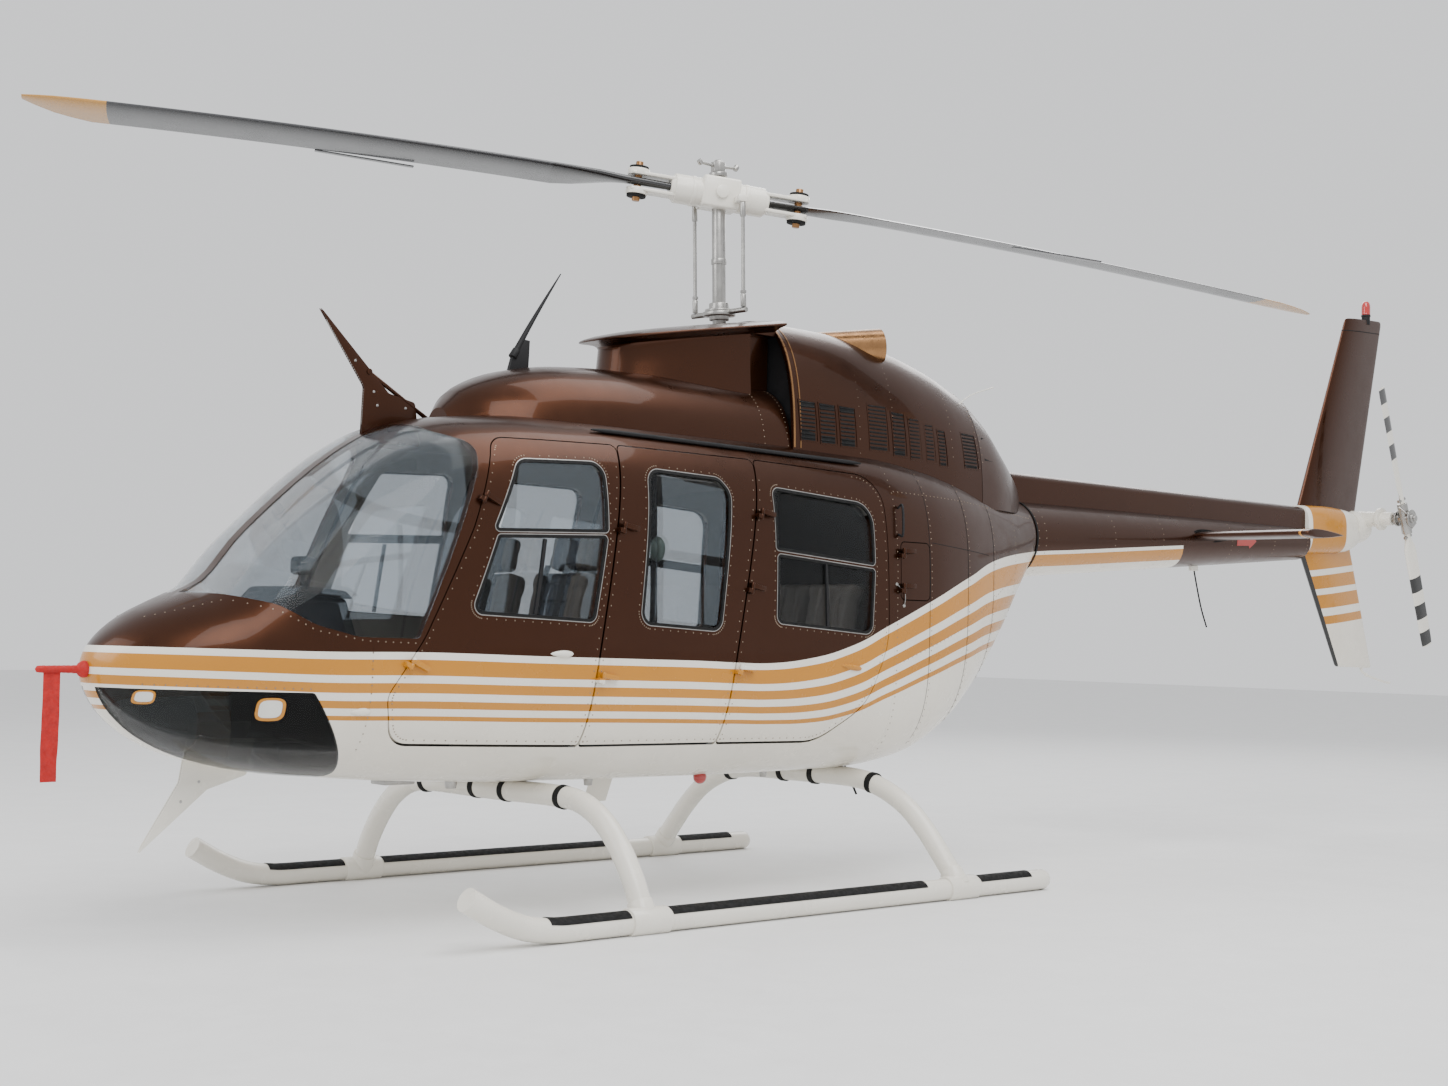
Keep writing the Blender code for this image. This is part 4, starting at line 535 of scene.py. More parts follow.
def stripedPaint(name, onBoom=False):
    material, tree, shader = newMaterial(name, tones["brown"], coat=0.22)
    vector = objectPlace(tree)
    parts = addNode(tree, "ShaderNodeSeparateXYZ")
    tree.links.new(vector, parts.inputs[0])
    top = curveOf(tree, parts.outputs["X"], stripeTop, -4.6, 3.6, 1.0, 2.0)
    below = mathOf(tree, "SUBTRACT", top, parts.outputs["Z"])
    brown, white, gold, cream = ((*tones[tone], 1.0 if tone == "brown" else 0.0)
            for tone in ("brown", "white", "gold", "cream"))
    if onBoom:
        position = rangeOf(tree, below, -0.02, 0.20, 0.0, 1.0)
        stops = [(0.0, brown), (0.091, white), (0.191, gold), (0.51, cream)]
    else:
        height = curveOf(tree, parts.outputs["X"], stripeHeight, -4.6, 3.6, 0.0, 1.0)
        position = rangeOf(tree, mathOf(tree, "DIVIDE", below, height), -0.05, 1.05, 0.0, 1.0)
        bands = [white, gold] * 4 + [cream]
        stops = [(0.0, brown)] + [((share + 0.05) / 1.1, band) for share, band in zip(stripeShares, bands)]
    ramp = rampOf(tree, position, stops)
    color, metal = ramp.outputs["Color"], ramp.outputs["Alpha"]
    if onBoom:
        slanted = mathOf(tree, "ADD", parts.outputs["X"],
                mathOf(tree, "MULTIPLY", mathOf(tree, "SUBTRACT", parts.outputs["Z"], 1.85), -0.35))
        plain = mathOf(tree, "LESS_THAN", slanted, -3.86)
        color = mixOf(tree, plain, color, tones["brown"])
        metal = mathOf(tree, "MAXIMUM", metal, plain)
    paintSurface(tree, shader, vector, color, metal)
    return material


def glassPane(name, color, dark=0.0):
    material, tree, shader = newMaterial(name, color, 0.0)
    shader.inputs["Transmission Weight"].default_value = 1.0
    shader.inputs["IOR"].default_value = 1.25
    shader.inputs["Alpha"].default_value = 0.75 if dark else 0.4
    vector = objectPlace(tree)
    smear = rangeOf(tree, noiseOf(tree, vector, 14.0, 6.0), 0.45, 0.8, 0.0, 0.015)
    tree.links.new(smear, shader.inputs["Roughness"])
    tree.links.new(mixOf(tree, rangeOf(tree, noiseOf(tree, vector, 1.5), 0.3, 0.8, 0.0, 0.5), color,
            tuple(c * 0.9 for c in color)), shader.inputs["Base Color"])
    bumpOf(tree, shader, noiseOf(tree, vector, 2.0, 1.0), 0.002, 0.12)
    return material


def grainy(name, color, roughness, metallic=0.0, scale=120.0, depth=0.0004, spread=0.35, coat=0.0,
        stretch=(1.0, 1.0, 1.0)):
    # an even material with worn tones and a fine grain
    material, tree, shader = newMaterial(name, color, roughness, metallic, coat)
    vector = objectPlace(tree, stretch)
    worn = rangeOf(tree, noiseOf(tree, vector, scale * 0.07, 6.0, 0.6), 0.3, 0.75, 0.0, 1.0)
    dark = tuple(c * (1 - spread) for c in color)
    tree.links.new(mixOf(tree, worn, color, dark), shader.inputs["Base Color"])
    tree.links.new(rangeOf(tree, noiseOf(tree, vector, scale * 0.2), 0.3, 0.7, roughness * 0.8,
            min(1.0, roughness * 1.25)), shader.inputs["Roughness"])
    bumpOf(tree, shader, noiseOf(tree, vector, scale, 3.0), depth, 0.6)
    return material


def leatherOf(name, color):
    material, tree, shader = newMaterial(name, color, 0.5)
    vector = objectPlace(tree)
    cells = addNode(tree, "ShaderNodeTexVoronoi", feature="DISTANCE_TO_EDGE")
    cells.inputs["Scale"].default_value = 420.0
    tree.links.new(vector, cells.inputs["Vector"])
    tone = rangeOf(tree, noiseOf(tree, vector, 6.0, 6.0), 0.3, 0.75, 0.0, 1.0)
    tree.links.new(mixOf(tree, tone, color, tuple(c * 0.7 for c in color)), shader.inputs["Base Color"])
    tree.links.new(rangeOf(tree, noiseOf(tree, vector, 30.0), 0.3, 0.7, 0.42, 0.62),
            shader.inputs["Roughness"])
    bumpOf(tree, shader, rangeOf(tree, cells.outputs["Distance"], 0.0, 0.12, 0.0, 1.0), 0.0005, 0.6)
    return material


bodyPaint = stripedPaint("striped coach paint")
boomPaint = stripedPaint("boom paint", True)
brownPaint = plainPaint("metallic brown paint", "brown", 1.0)
creamPaint = plainPaint("cream paint", "white")
goldPaint = plainPaint("gold paint", "gold")
clearGlass = glassPane("clear window", (0.22, 0.28, 0.33))
darkGlass = glassPane("smoked window", (0.03, 0.035, 0.035), 1.0)
blackPlastic = grainy("black plastic", (0.014, 0.014, 0.015), 0.5)
rivetMetal = grainy("worn rivets", (0.30, 0.23, 0.17), 0.4, 0.9, 160.0, 0.0001)
rubber = grainy("black rubber", (0.010, 0.010, 0.010), 0.75, scale=260.0, depth=0.0006)
steel = grainy("bare steel", (0.46, 0.45, 0.43), 0.32, 1.0, 180.0, 0.0002)
bronze = grainy("bronze fittings", (0.36, 0.19, 0.085), 0.30, 1.0, 160.0, 0.0002)
taupeLeather = leatherOf("taupe leather", (0.20, 0.165, 0.135))
blueLeather = leatherOf("slate leather", (0.045, 0.055, 0.075))
liner = grainy("cabin liner", (0.24, 0.215, 0.18), 0.8, scale=90.0, depth=0.0001, spread=0.2)
webbing = grainy("dark webbing", (0.020, 0.021, 0.024), 0.8, scale=900.0, depth=0.0006)
harnessMetal = grainy("grey-green disc", (0.16, 0.20, 0.17), 0.4, 0.3, 200.0, 0.0002)
hoodLeather = leatherOf("hood leather", (0.020, 0.021, 0.024))
dialGlass = grainy("dial face", (0.012, 0.012, 0.013), 0.12, scale=90.0, depth=0.00005, coat=1.0)
castMetal = grainy("cast casing", (0.30, 0.30, 0.29), 0.5, 0.8, 140.0, 0.0006)
carpet = grainy("floor carpet", (0.05, 0.045, 0.042), 0.95, scale=350.0, depth=0.0004)
for dull in (rubber, carpet, webbing, blackPlastic):
    dull.node_tree.nodes["Principled BSDF"].inputs["Specular IOR Level"].default_value = 0.22
redCloth = grainy("red cloth", (0.50, 0.012, 0.010), 0.75, scale=500.0, depth=0.0008)
print("finishes made")


# Hull panels
outerHull = hullBody("outerHull", 0.0)
depths = {key: hullBody(f"{key}Hull", hull[key]) for key in ("wall", "skin", "screen", "paneOut", "paneIn")}
wallShell = booleanWith(copyOf(outerHull, "wallShell"), depths["wall"])
skinShell = booleanWith(copyOf(outerHull, "skinShell"), depths["skin"])
screenShell = booleanWith(copyOf(outerHull, "screenShell"), depths["screen"])
paneShell = booleanWith(copyOf(depths["paneOut"], "paneShell"), depths["paneIn"])
outlines = {
    "windshield": (
        (2.045, 2.60, 0), (2.045, 2.145, 0.06), (1.885, 2.085, 0.07), (1.905, 1.980, 0.10),
        (2.215, 1.235, 0.02), (2.480, 1.238, 0.20), (2.660, 1.285, 0.20), (2.800, 1.365, 0.15),
        (2.950, 1.405, 0.10), (3.300, 1.420, 0), (3.300, 2.60, 0),
    ),
    "chin": (
        (3.600, 1.022, 0), (2.660, 1.006, 0.02), (2.420, 0.655, 0.03), (2.420, 0.50, 0), (3.600, 0.50, 0),
    ),
    "crewDoor": (
        (1.800, 2.125, 0.09), (1.955, 1.720, 0.50), (2.190, 1.235, 0.40), (2.350, 0.990, 0.09),
        (2.300, 0.790, 0.11), (1.360, 0.768, 0.015), (1.140, 2.135, 0.03),
    ),
    "midDoor": ((1.135, 2.135, 0.03), (1.355, 0.768, 0.015), (0.535, 0.762, 0.015), (0.290, 2.128, 0.03)),
    "aftDoor": (
        (0.285, 2.128, 0.03), (0.530, 0.762, 0.015), (-0.130, 0.755, 0.30), (-0.450, 0.935, 0.35),
        (-0.600, 1.250, 0.40), (-0.575, 2.100, 0.17),
    ),
    "baggageDoor": (
        (-0.685, 1.770, 0.03), (-0.685, 1.470, 0.03), (-0.925, 1.470, 0.03), (-0.925, 1.770, 0.03),
    ),
}
windows = {
    "crew": (
        ((1.700, 2.020, 0.06), (1.850, 1.715, 0.01), (1.265, 1.735, 0.01), (1.260, 2.035, 0.06)),
        ((1.835, 1.680, 0.01), (1.960, 1.355, 0.03), (1.335, 1.330, 0.03), (1.270, 1.700, 0.01)),
    ),
    "mid": (
        (
            (0.985, 2.025, 0.06), (1.050, 1.325, 0.05), (0.575, 1.300, 0.05), (0.500, 1.950, 0.08),
            (0.560, 2.010, 0.06),
        ),
    ),
    "aft": (
        ((0.200, 1.985, 0.03), (0.200, 1.700, 0.01), (-0.475, 1.650, 0.01), (-0.470, 1.940, 0.11)),
        ((0.190, 1.660, 0.01), (0.190, 1.345, 0.03), (-0.460, 1.300, 0.04), (-0.475, 1.610, 0.01)),
    ),
    "side": (((1.020, 2.025, 0.07), (1.080, 1.325, 0.06), (0.480, 1.320, 0.06), (0.430, 2.015, 0.07)),),
}
sideWord = {1: "port", -1: "starboard"}
bodyWord = {1: "left", -1: "right"}


def cutBy(target, points, near, far, operation="DIFFERENCE"):
    tool = prism("tool", points, near, far)
    booleanWith(target, tool, operation)
    discard(tool)
    return target


def spanBox(target, low, high, operation="INTERSECT"):
    tool = boxPiece("tool", low, high)
    booleanWith(target, tool, operation)
    discard(tool)
    return target


def windowHoles(target, parts, side):
    for part in parts:
        cutBy(target, rounded(part), side * 0.2, side)


def fullWindow(parts):
    if len(parts) == 1:
        return rounded(parts[0])
    upper, lower = parts
    return rounded((upper[0], lower[0], lower[1], lower[2], lower[3], upper[3]))


def windowPane(name, parts, side, body, node):
    glass = copyOf(paneShell, name)
    cutBy(glass, grown(fullWindow(parts), 0.003), side * 0.2, side, "INTERSECT")
    finish(glass, clearGlass, body, [node])


def rebateOf(target, parts, side):
    # room for the pane behind the bar between two openings
    room = copyOf(depths["paneOut"], "room")
    cutBy(room, grown(fullWindow(parts), 0.0035), side * 0.2, side, "INTERSECT")
    booleanWith(target, room)
    discard(room)


def lined(piece, material=None):
    # the liner covers the faces that look into the cabin
    piece.data.materials.append(material or liner)
    for face in piece.data.polygons:
        at = face.center - shift
        out = Vector((0.0, at.y, at.z - 1.35)).normalized()
        deep = at + out * 0.024
        level = min(max(deep.z, rowAt(at.x)[1] + 0.001), rowAt(at.x)[3] - 0.001)
        within = level == deep.z and abs(deep.y) < halfWidth(at.x, deep.z)
        inside = within and face.normal.dot(out) < -0.35
        bulkhead = face.normal.x > 0.9 and abs(at.x + 0.6403) < 0.001
        if inside or bulkhead:
            face.material_index = 1


cabin = spanBox(copyOf(wallShell, "cabinShell"), (-0.640, -1, 0.3), (2.4197, 1, 2.6))
nose = spanBox(copyOf(skinShell, "noseShell"), (2.420, -1, 0.3), (3.6, 1, 2.6))
aftBody = spanBox(copyOf(outerHull, "aftBody"), (-2.6, -1, 0.3), (-0.6403, 1, 2.6))
for side in (1, -1):
    screen = copyOf(screenShell, f"windshield_{sideWord[side]}")
    cutBy(screen, rounded(outlines["windshield"]), side * 0.030, side, "INTERSECT")
    finish(screen, clearGlass, "airframe", [f"windshield_{sideWord[side]}"])
    for target in (cabin, nose):
        cutBy(target, grown(rounded(outlines["windshield"]), 0.0006), side * 0.0294, side)
    chin = copyOf(screenShell, f"chinWindow_{sideWord[side]}")
    cutBy(chin, rounded(outlines["chin"]), side * 0.055, side, "INTERSECT")
    finish(chin, darkGlass, "airframe", [f"chin_window_{sideWord[side]}"])
    cutBy(nose, grown(rounded(outlines["chin"]), 0.0006), side * 0.0544, side)
doors = (
    ("crewDoor", "crew", "crew_door", "crew_glass", (1, -1)),
    ("midDoor", "mid", "mid_door", "mid_glass", (1,)), ("aftDoor", "aft", "aft_door", "aft_glass", (1, -1)),
)
for outline, opening, node, glassNode, sides in doors:
    for side in sides:
        word = f"{node}_{bodyWord[side]}"
        door = copyOf(wallShell, f"{outline}_{sideWord[side]}")
        cutBy(door, grown(rounded(outlines[outline]), -hull["gap"]), side * 0.2, side, "INTERSECT")
        foot = spanBox(copyOf(depths["skin"], "foot"), (-0.6, -1, 0.5),
                (2.4, 1, min(z for x, z, radius in outlines[outline]) + 0.022))
        booleanWith(door, foot)
        discard(foot)
        windowHoles(door, windows[opening], side)
        rebateOf(door, windows[opening], side)
        lowest = min(z for x, z, radius in outlines[outline])
        sill = [(x, z - 0.006 if z < lowest + 0.03 else z, radius) for x, z, radius in outlines[outline]]
        cutBy(cabin, grown(rounded(sill), hull["gap"]), side * 0.2, side)
        finish(door, bodyPaint, word, [f"{node}_{sideWord[side]}"])
        lined(door)
        windowPane(f"{opening}Glass_{sideWord[side]}", windows[opening], side, word,
                f"{glassNode}_{sideWord[side]}")
windowHoles(cabin, windows["side"], -1)
rebateOf(cabin, windows["side"], -1)
windowPane("sideGlass", windows["side"], -1, "airframe", "side_glass_starboard")
finish(cabin, bodyPaint, "airframe", ["cabin_shell"])
lined(cabin)
finish(nose, bodyPaint, "airframe", ["nose_shell"])
baggageDoor = copyOf(skinShell, "baggageDoor")
cutBy(baggageDoor, grown(rounded(outlines["baggageDoor"]), -hull["gap"]), 0.2, 1, "INTERSECT")
finish(baggageDoor, bodyPaint, "baggage_lid", ["baggage_door"])
cutBy(aftBody, grown(rounded(outlines["baggageDoor"]), hull["gap"]), 0.05, 1)
finish(aftBody, bodyPaint, "airframe", ["aft_body"])
lined(aftBody, carpet)
print("hull panels made")


discard(outerHull, wallShell, skinShell, screenShell, paneShell)


# Cowlings
cowls = {
    "roof": [
        (1.750, 2.290, 0.120, 2.4), (1.680, 2.370, 0.210, 2.5), (1.560, 2.440, 0.300, 2.6),
        (1.400, 2.495, 0.370, 2.8), (1.200, 2.530, 0.415, 3.0), (0.900, 2.545, 0.440, 3.2),
        (0.400, 2.545, 0.450, 3.3), (-0.080, 2.545, 0.455, 3.3),
    ],
    "engine": [
        (-0.0803, 2.895, 0.462, 3.4), (-0.500, 2.890, 0.466, 3.3), (-0.900, 2.860, 0.460, 3.0),
        (-1.300, 2.785, 0.440, 2.7), (-1.600, 2.690, 0.410, 2.5),
    ],
    "aft": [
        (-1.605, 2.688, 0.409, 2.5), (-1.800, 2.570, 0.370, 2.4), (-1.980, 2.420, 0.310, 2.3),
        (-2.130, 2.320, 0.230, 2.2), (-2.240, 2.265, 0.150, 2.2),
    ],
    "foot": 2.000, "skin": 0.012, "arc": 64,
}


def betweenRows(rows, step):
    slopes = [slopesOf(rows, column) for column in range(len(rows[0]))]
    fine = []
    for i, (a, b) in enumerate(zip(rows, rows[1:])):
        count = max(1, round(abs(b[0] - a[0]) / step))
        for k in range(count):
            t = k / count
            run = b[0] - a[0]
            fine.append([a[0] + run * t] + [
                (2 * t**3 - 3 * t**2 + 1) * a[c] + (t**3 - 2 * t**2 + t) * slopes[c][i] * run
                + (3 * t**2 - 2 * t**3) * b[c] + (t**3 - t**2) * slopes[c][i + 1] * run
                for c in range(1, len(a))
            ])
    return fine + [list(rows[-1])]


def archRing(row, inset, foot):
    x, top, half, full = row
    ring = []
    for i in range(cowls["arc"] + 1):
        turn = math.pi * i / cowls["arc"]
        y = roundPower(math.cos(turn), 2 / full) * (half - inset)
        z = foot + math.sin(turn) ** (2 / full) * (top - inset - foot) if 0 < i < cowls["arc"] else foot
        ring.append(Vector((x, y, z)))
    return ring


cowlHull = hullBody("cowlHull", -0.0003)


def cowling(name, rows, frontWall, backWall):
    fine = betweenRows(rows, 0.05)
    shell = loft(name, [archRing(row, 0.0, cowls["foot"]) for row in fine])
    inner = [archRing(row, cowls["skin"], cowls["foot"] - 0.05) for row in fine]
    before = [a + (a - b) * 0.4 for a, b in zip(inner[0], inner[1])]
    after = [a + (a - b) * 0.4 for a, b in zip(inner[-1], inner[-2])]
    inner = inner[1:] if frontWall else [before] + inner
    inner = inner[:-1] if backWall else inner + [after]
    room = loft("room", inner)
    booleanWith(shell, [room, cowlHull])
    discard(room)
    return shell


def cowlPoint(rows, x, turn, lift=0.0):
    # a point on a cowling at a share of its arch from port (0) to starboard (1)
    i = next(k for k in range(len(rows) - 1) if rows[k + 1][0] <= x)
    a, b = rows[i], rows[i + 1]
    t = (x - a[0]) / (b[0] - a[0])
    top, half, full = (a[c] + (b[c] - a[c]) * t for c in (1, 2, 3))
    angle = math.pi * turn
    y = roundPower(math.cos(angle), 2 / full) * (half + lift)
    return Vector((x, y, cowls["foot"] + math.sin(angle) ** (2 / full) * (top + lift - cowls["foot"])))


roofCowl = cowling("roofFairing", cowls["roof"], True, False)
engineCowl = cowling("engineCowl", cowls["engine"], False, False)
aftCowl = cowling("aftCowl", cowls["aft"], False, True)
print("cowlings made")

# Pylon fairing with its hat, and the mouth of the intake behind it
pylon = {
    "foot": 2.410, "rear": -0.080, "front": 0.860, "rise": 0.1596, "full": 2.4, "arc": 56,
}


def pylonRing(front, half, low, rise):
    ring = []
    for i in range(pylon["arc"] + 1):
        turn = math.pi * (i / pylon["arc"] - 0.5)
        x = pylon["rear"] + (front - pylon["rear"]) * max(0.0, math.cos(turn)) ** (2 / pylon["full"])
        y = roundPower(math.sin(turn), 2 / pylon["full"]) * half
        ring.append(Vector((x, y, low + rise * (pylon["front"] - x))))
    return ring


hatRows = [
    (0.800, 0.330, 2.410, 0), (0.785, 0.326, 2.500, 0.06), (0.768, 0.319, 2.590, 0.12),
    (0.760, 0.315, 2.655, 1), (0.766, 0.318, 2.667, 1), (0.782, 0.330, 2.677, 1), (0.810, 0.355, 2.685, 1),
    (0.845, 0.388, 2.692, 1), (0.858, 0.399, 2.696, 1), (0.860, 0.401, 2.701, 1), (0.856, 0.398, 2.706, 1),
    (0.836, 0.378, 2.713, 1), (0.790, 0.340, 2.722, 1), (0.700, 0.270, 2.731, 1), (0.560, 0.180, 2.737, 1),
]
pylonCowl = loft("pylonFairing", [pylonRing(front, half, low, pylon["rise"] * rise)
        for front, half, low, rise in hatRows])
for side in (1, -1):
    low, high = sorted((side * 0.260, side * 0.6))
    spanBox(pylonCowl, (-0.130, low, 2.30), (0.090, high, 2.795), "DIFFERENCE")
roofRoom = [archRing((row[0], row[1] + 0.0006, row[2] + 0.0006, row[3]), 0.0, cowls["foot"])
        for row in betweenRows(cowls["roof"], 0.05)]
roofRoom.append([a + (a - b) * 0.4 for a, b in zip(roofRoom[-1], roofRoom[-2])])
roofRoom = loft("roofRoom", roofRoom)
mastRoom = rodPiece("mastRoom", (0.0190, 0, 2.7997), (0.0450, 0, 3.545), 0.040, sides=48)
booleanWith(pylonCowl, [roofRoom, mastRoom])
discard(roofRoom, mastRoom)

mouth = [archRing(row, 0.0123, cowls["foot"] - 0.05) for row in cowls["engine"][:2]]
mouthRings = [[a + (b - a) * (a.x - x) / (a.x - b.x) for a, b in zip(*mouth)] for x in (-0.105, -0.305)]
screen = booleanWith(loft("intakeScreen", mouthRings), cowlHull)
finish(screen, blackPlastic, "airframe", ["intake_screen"])

# Exhaust stacks
for side in (1, -1):
    start, end = Vector((-0.560, side * 0.120, 2.800)), Vector((-0.900, side * 0.270, 2.835))
    along = (end - start).normalized()
    room = rodPiece("room", start - along * 0.0003, end + along * 0.0003, 0.0883, 0.0983, 64)
    booleanWith(engineCowl, room)
    stack = rodPiece("stack", start, end, 0.088, 0.098, 64)
    bore = rodPiece("bore", end - along * 0.200, end + along * 0.05, 0.085, sides=64)
    booleanWith(stack, bore)
    stack.name = f"exhaust_{sideWord[side]}"
    finish(stack, bronze, "airframe", [f"exhaust_{sideWord[side]}"])
    discard(room, bore)
finish(roofCowl, brownPaint, "airframe", ["roof_fairing"])
finish(engineCowl, brownPaint, "airframe", ["engine_cowl"])
finish(aftCowl, brownPaint, "airframe", ["aft_cowl"])
finish(pylonCowl, brownPaint, "airframe", ["pylon_fairing"])
print("pylon, intake and exhausts made")

# Tail boom, shaft cover, tail cone
boom = {"start": -2.305, "end": -5.420, "radii": (0.230, 0.120), "heights": (1.870, 1.985), "sides": 72}


def circleRing(x, height, radius, count):
    return [Vector((x, math.cos(2 * math.pi * (i + 0.5) / count) * radius,
            height + math.sin(2 * math.pi * (i + 0.5) / count) * radius)) for i in range(count)]


def boomAt(x):
    # height and radius of the boom at a place along it
    share = (boom["start"] - x) / (boom["start"] - boom["end"])
    return [first + (last - first) * share for first, last in (boom["heights"], boom["radii"])]


def boomRing(x, grow=0.0):
    height, radius = boomAt(x)
    
    return circleRing(x, height, radius + grow, boom["sides"])


boomBody = loft("tailBoom", [boomRing(boom["start"] - 0.2077 * i) for i in range(15)]
        + [boomRing(boom["end"])])
boomRoom = loft("boomRoom", [boomRing(boom["start"] + 0.02, 0.0003), boomRing(boom["end"] - 0.02, 0.0003)])


def coverRing(x, top):
    half, foot, arch = 0.075, 2.000, 0.045
    ring = [Vector((x, half, foot)), Vector((x, half, top - arch))]
    ring += [Vector((x, math.cos(math.pi * i / 18) * half, top - arch + math.sin(math.pi * i / 18) * arch))
            for i in range(1, 18)]
    return ring + [Vector((x, -half, top - arch)), Vector((x, -half, foot))]


cover = loft("shaftCover", [coverRing(-2.262 - 0.3509 * i, 2.268 - 0.00356 * i) for i in range(9)]
        + [coverRing(-5.420, 2.236)])
cowlRoom = [archRing((row[0], row[1] + 0.0003, row[2] + 0.0003, row[3]), 0.0, cowls["foot"])
        for row in betweenRows(cowls["aft"], 0.05)]
cowlRoom[-1] = [point - Vector((0.0003, 0, 0)) for point in cowlRoom[-1]]
cowlRoom = loft("cowlRoom", cowlRoom)
booleanWith(cover, [boomRoom, cowlHull, cowlRoom])
finish(cover, brownPaint, "airframe", ["shaft_cover"])


def airfoil(chord, thickness, count=44):
    points = []
    for i in range(count):
        turn = 2 * math.pi * i / count
        along = (1 - math.cos(turn)) / 2
        points.append((along * chord, math.sin(turn) * (1 - 0.75 * along) * thickness * 0.72))
    return points


def stabiliserRing(y, shrink=1.0, grow=0.0):
    return [Vector((-3.970 + grow - 0.12 * (1 - shrink) - along, y, 1.965 + up))
            for along, up in airfoil((0.430 + 2 * grow) * shrink, (0.055 + 2 * grow) * shrink)]


tips = [(0.990, 0.86), (0.987, 0.93), (0.980, 0.975), (0.968, 0.995), (0.950, 1.0)]
spans = [(-y, s) for y, s in tips] + [(y, 1.0) for y in (-0.6, -0.25, 0.25, 0.6)] + tips[::-1]
stabiliser = loft("stabiliser", [stabiliserRing(y, s) for y, s in spans])
slotRoom = loft("slotRoom", [stabiliserRing(-0.5, 1.0, 0.0003), stabiliserRing(0.5, 1.0, 0.0003)])
boomBore = loft("boomBore", [boomRing(boom["start"] + 0.02, -0.012), boomRing(boom["end"] - 0.02, -0.012)])
booleanWith(boomBody, [slotRoom, boomBore])
discard(boomBore)
finish(boomBody, boomPaint, "airframe", ["tail_boom"])
discard(cowlRoom, slotRoom)

coneRows = [
    (-5.4203, 1.905, 2.245, 0.105), (-5.700, 1.915, 2.255, 0.110), (-5.950, 1.935, 2.245, 0.110),
    (-6.080, 1.965, 2.225, 0.098), (-6.160, 2.010, 2.185, 0.075),
]


def coneRing(row, grow=0.0):
    x, bottom, top, half = row
    ring = []
    for i in range(64):
        turn = 2 * math.pi * (i + 0.5) / 64
        y = roundPower(math.cos(turn), 0.7) * (half + grow)
        ring.append(Vector((x, y, (bottom + top) / 2 + roundPower(math.sin(turn),
                0.7) * ((top - bottom) / 2 + grow))))
    return ring


coneFine = betweenRows(coneRows, 0.03)
tailCone = loft("tailCone", [coneRing(row) for row in coneFine])
coneRoom = [coneRing(row, 0.0004) for row in coneFine]
coneRoom.insert(0, [a + (a - b) * 0.5 for a, b in zip(*coneRoom[:2])])
coneRoom[-1] = [point - Vector((0.0003, 0, 0)) for point in coneRoom[-1]]
coneRoom = loft("coneRoom", coneRoom)


def bandedPaint(name, axis, stops, low, high, lean=0.0, other="Z", edge=None):
    # bands of paint across one direction, which may lean along another
    material, tree, shader = newMaterial(name, tones["brown"], coat=0.22)
    vector = objectPlace(tree)
    parts = addNode(tree, "ShaderNodeSeparateXYZ")
    tree.links.new(vector, parts.inputs[0])
    value = mathOf(tree, "ADD", parts.outputs[axis], mathOf(tree, "MULTIPLY", parts.outputs[other], lean))
    bands = [((at - low) / (high - low), (*tones[tone], 1.0 if tone == "brown" else 0.0))
            for at, tone in stops]
    ramp = rampOf(tree, rangeOf(tree, value, low, high, 0.0, 1.0), bands)
    color = ramp.outputs["Color"]
    if edge:
        front = mathOf(tree, "ADD", parts.outputs["X"],
                mathOf(tree, "MULTIPLY", parts.outputs["Z"], edge[0]))
        color = mixOf(tree, mathOf(tree, "GREATER_THAN", front, edge[1]), color, (0.012, 0.012, 0.012))
    paintSurface(tree, shader, vector, color, ramp.outputs["Alpha"])
    return material


conePaint = bandedPaint("tail cone paint", "X", [(-6.4, "white"), (-5.905, "gold"), (-5.475, "white"),
        (-5.335, "brown")], -6.4, -5.2)
finish(tailCone, conePaint, "airframe", ["tail_cone"])
finish(stabiliser, brownPaint, "airframe", ["stabiliser"])


def finRings(corners, rows, grow=0.0):
    leadFoot, trailFoot, leadTip, trailTip = (Vector(c) for c in corners)
    rings = []
    for share, shrink in rows:
        lead, trail = leadFoot.lerp(leadTip, share), trailFoot.lerp(trailTip, share)
        thickness = (0.085 + (0.050 - 0.085) * share) * shrink
        chord = (lead.x - trail.x) * shrink
        rise = (trail.y - lead.y) / (lead.x - trail.x)
        front = lead.x - (lead.x - trail.x) * (1 - shrink) * 0.4
        rings.append([Vector((front + grow - along, up, lead.y + rise * (lead.x - front + along)))
                for along, up in airfoil(chord + 2 * grow, thickness + 4 * grow)])
    return rings


finRows = [
    (0.0, 1.0), (0.25, 1.0), (0.5, 1.0), (0.75, 1.0), (0.975, 1.0), (0.988, 0.985), (0.996, 0.955),
    (1.0, 0.90),
]
gearboxRows = [(-6.090, 0.105), (-6.140, 0.118), (-6.230, 0.112), (-6.290, 0.080), (-6.312, 0.035)]


def gearboxBody(name, grow):
    return loft(name, [circleRing(x, 2.128, radius + grow, 56)
            for x, radius in betweenRows(gearboxRows, 0.012)])


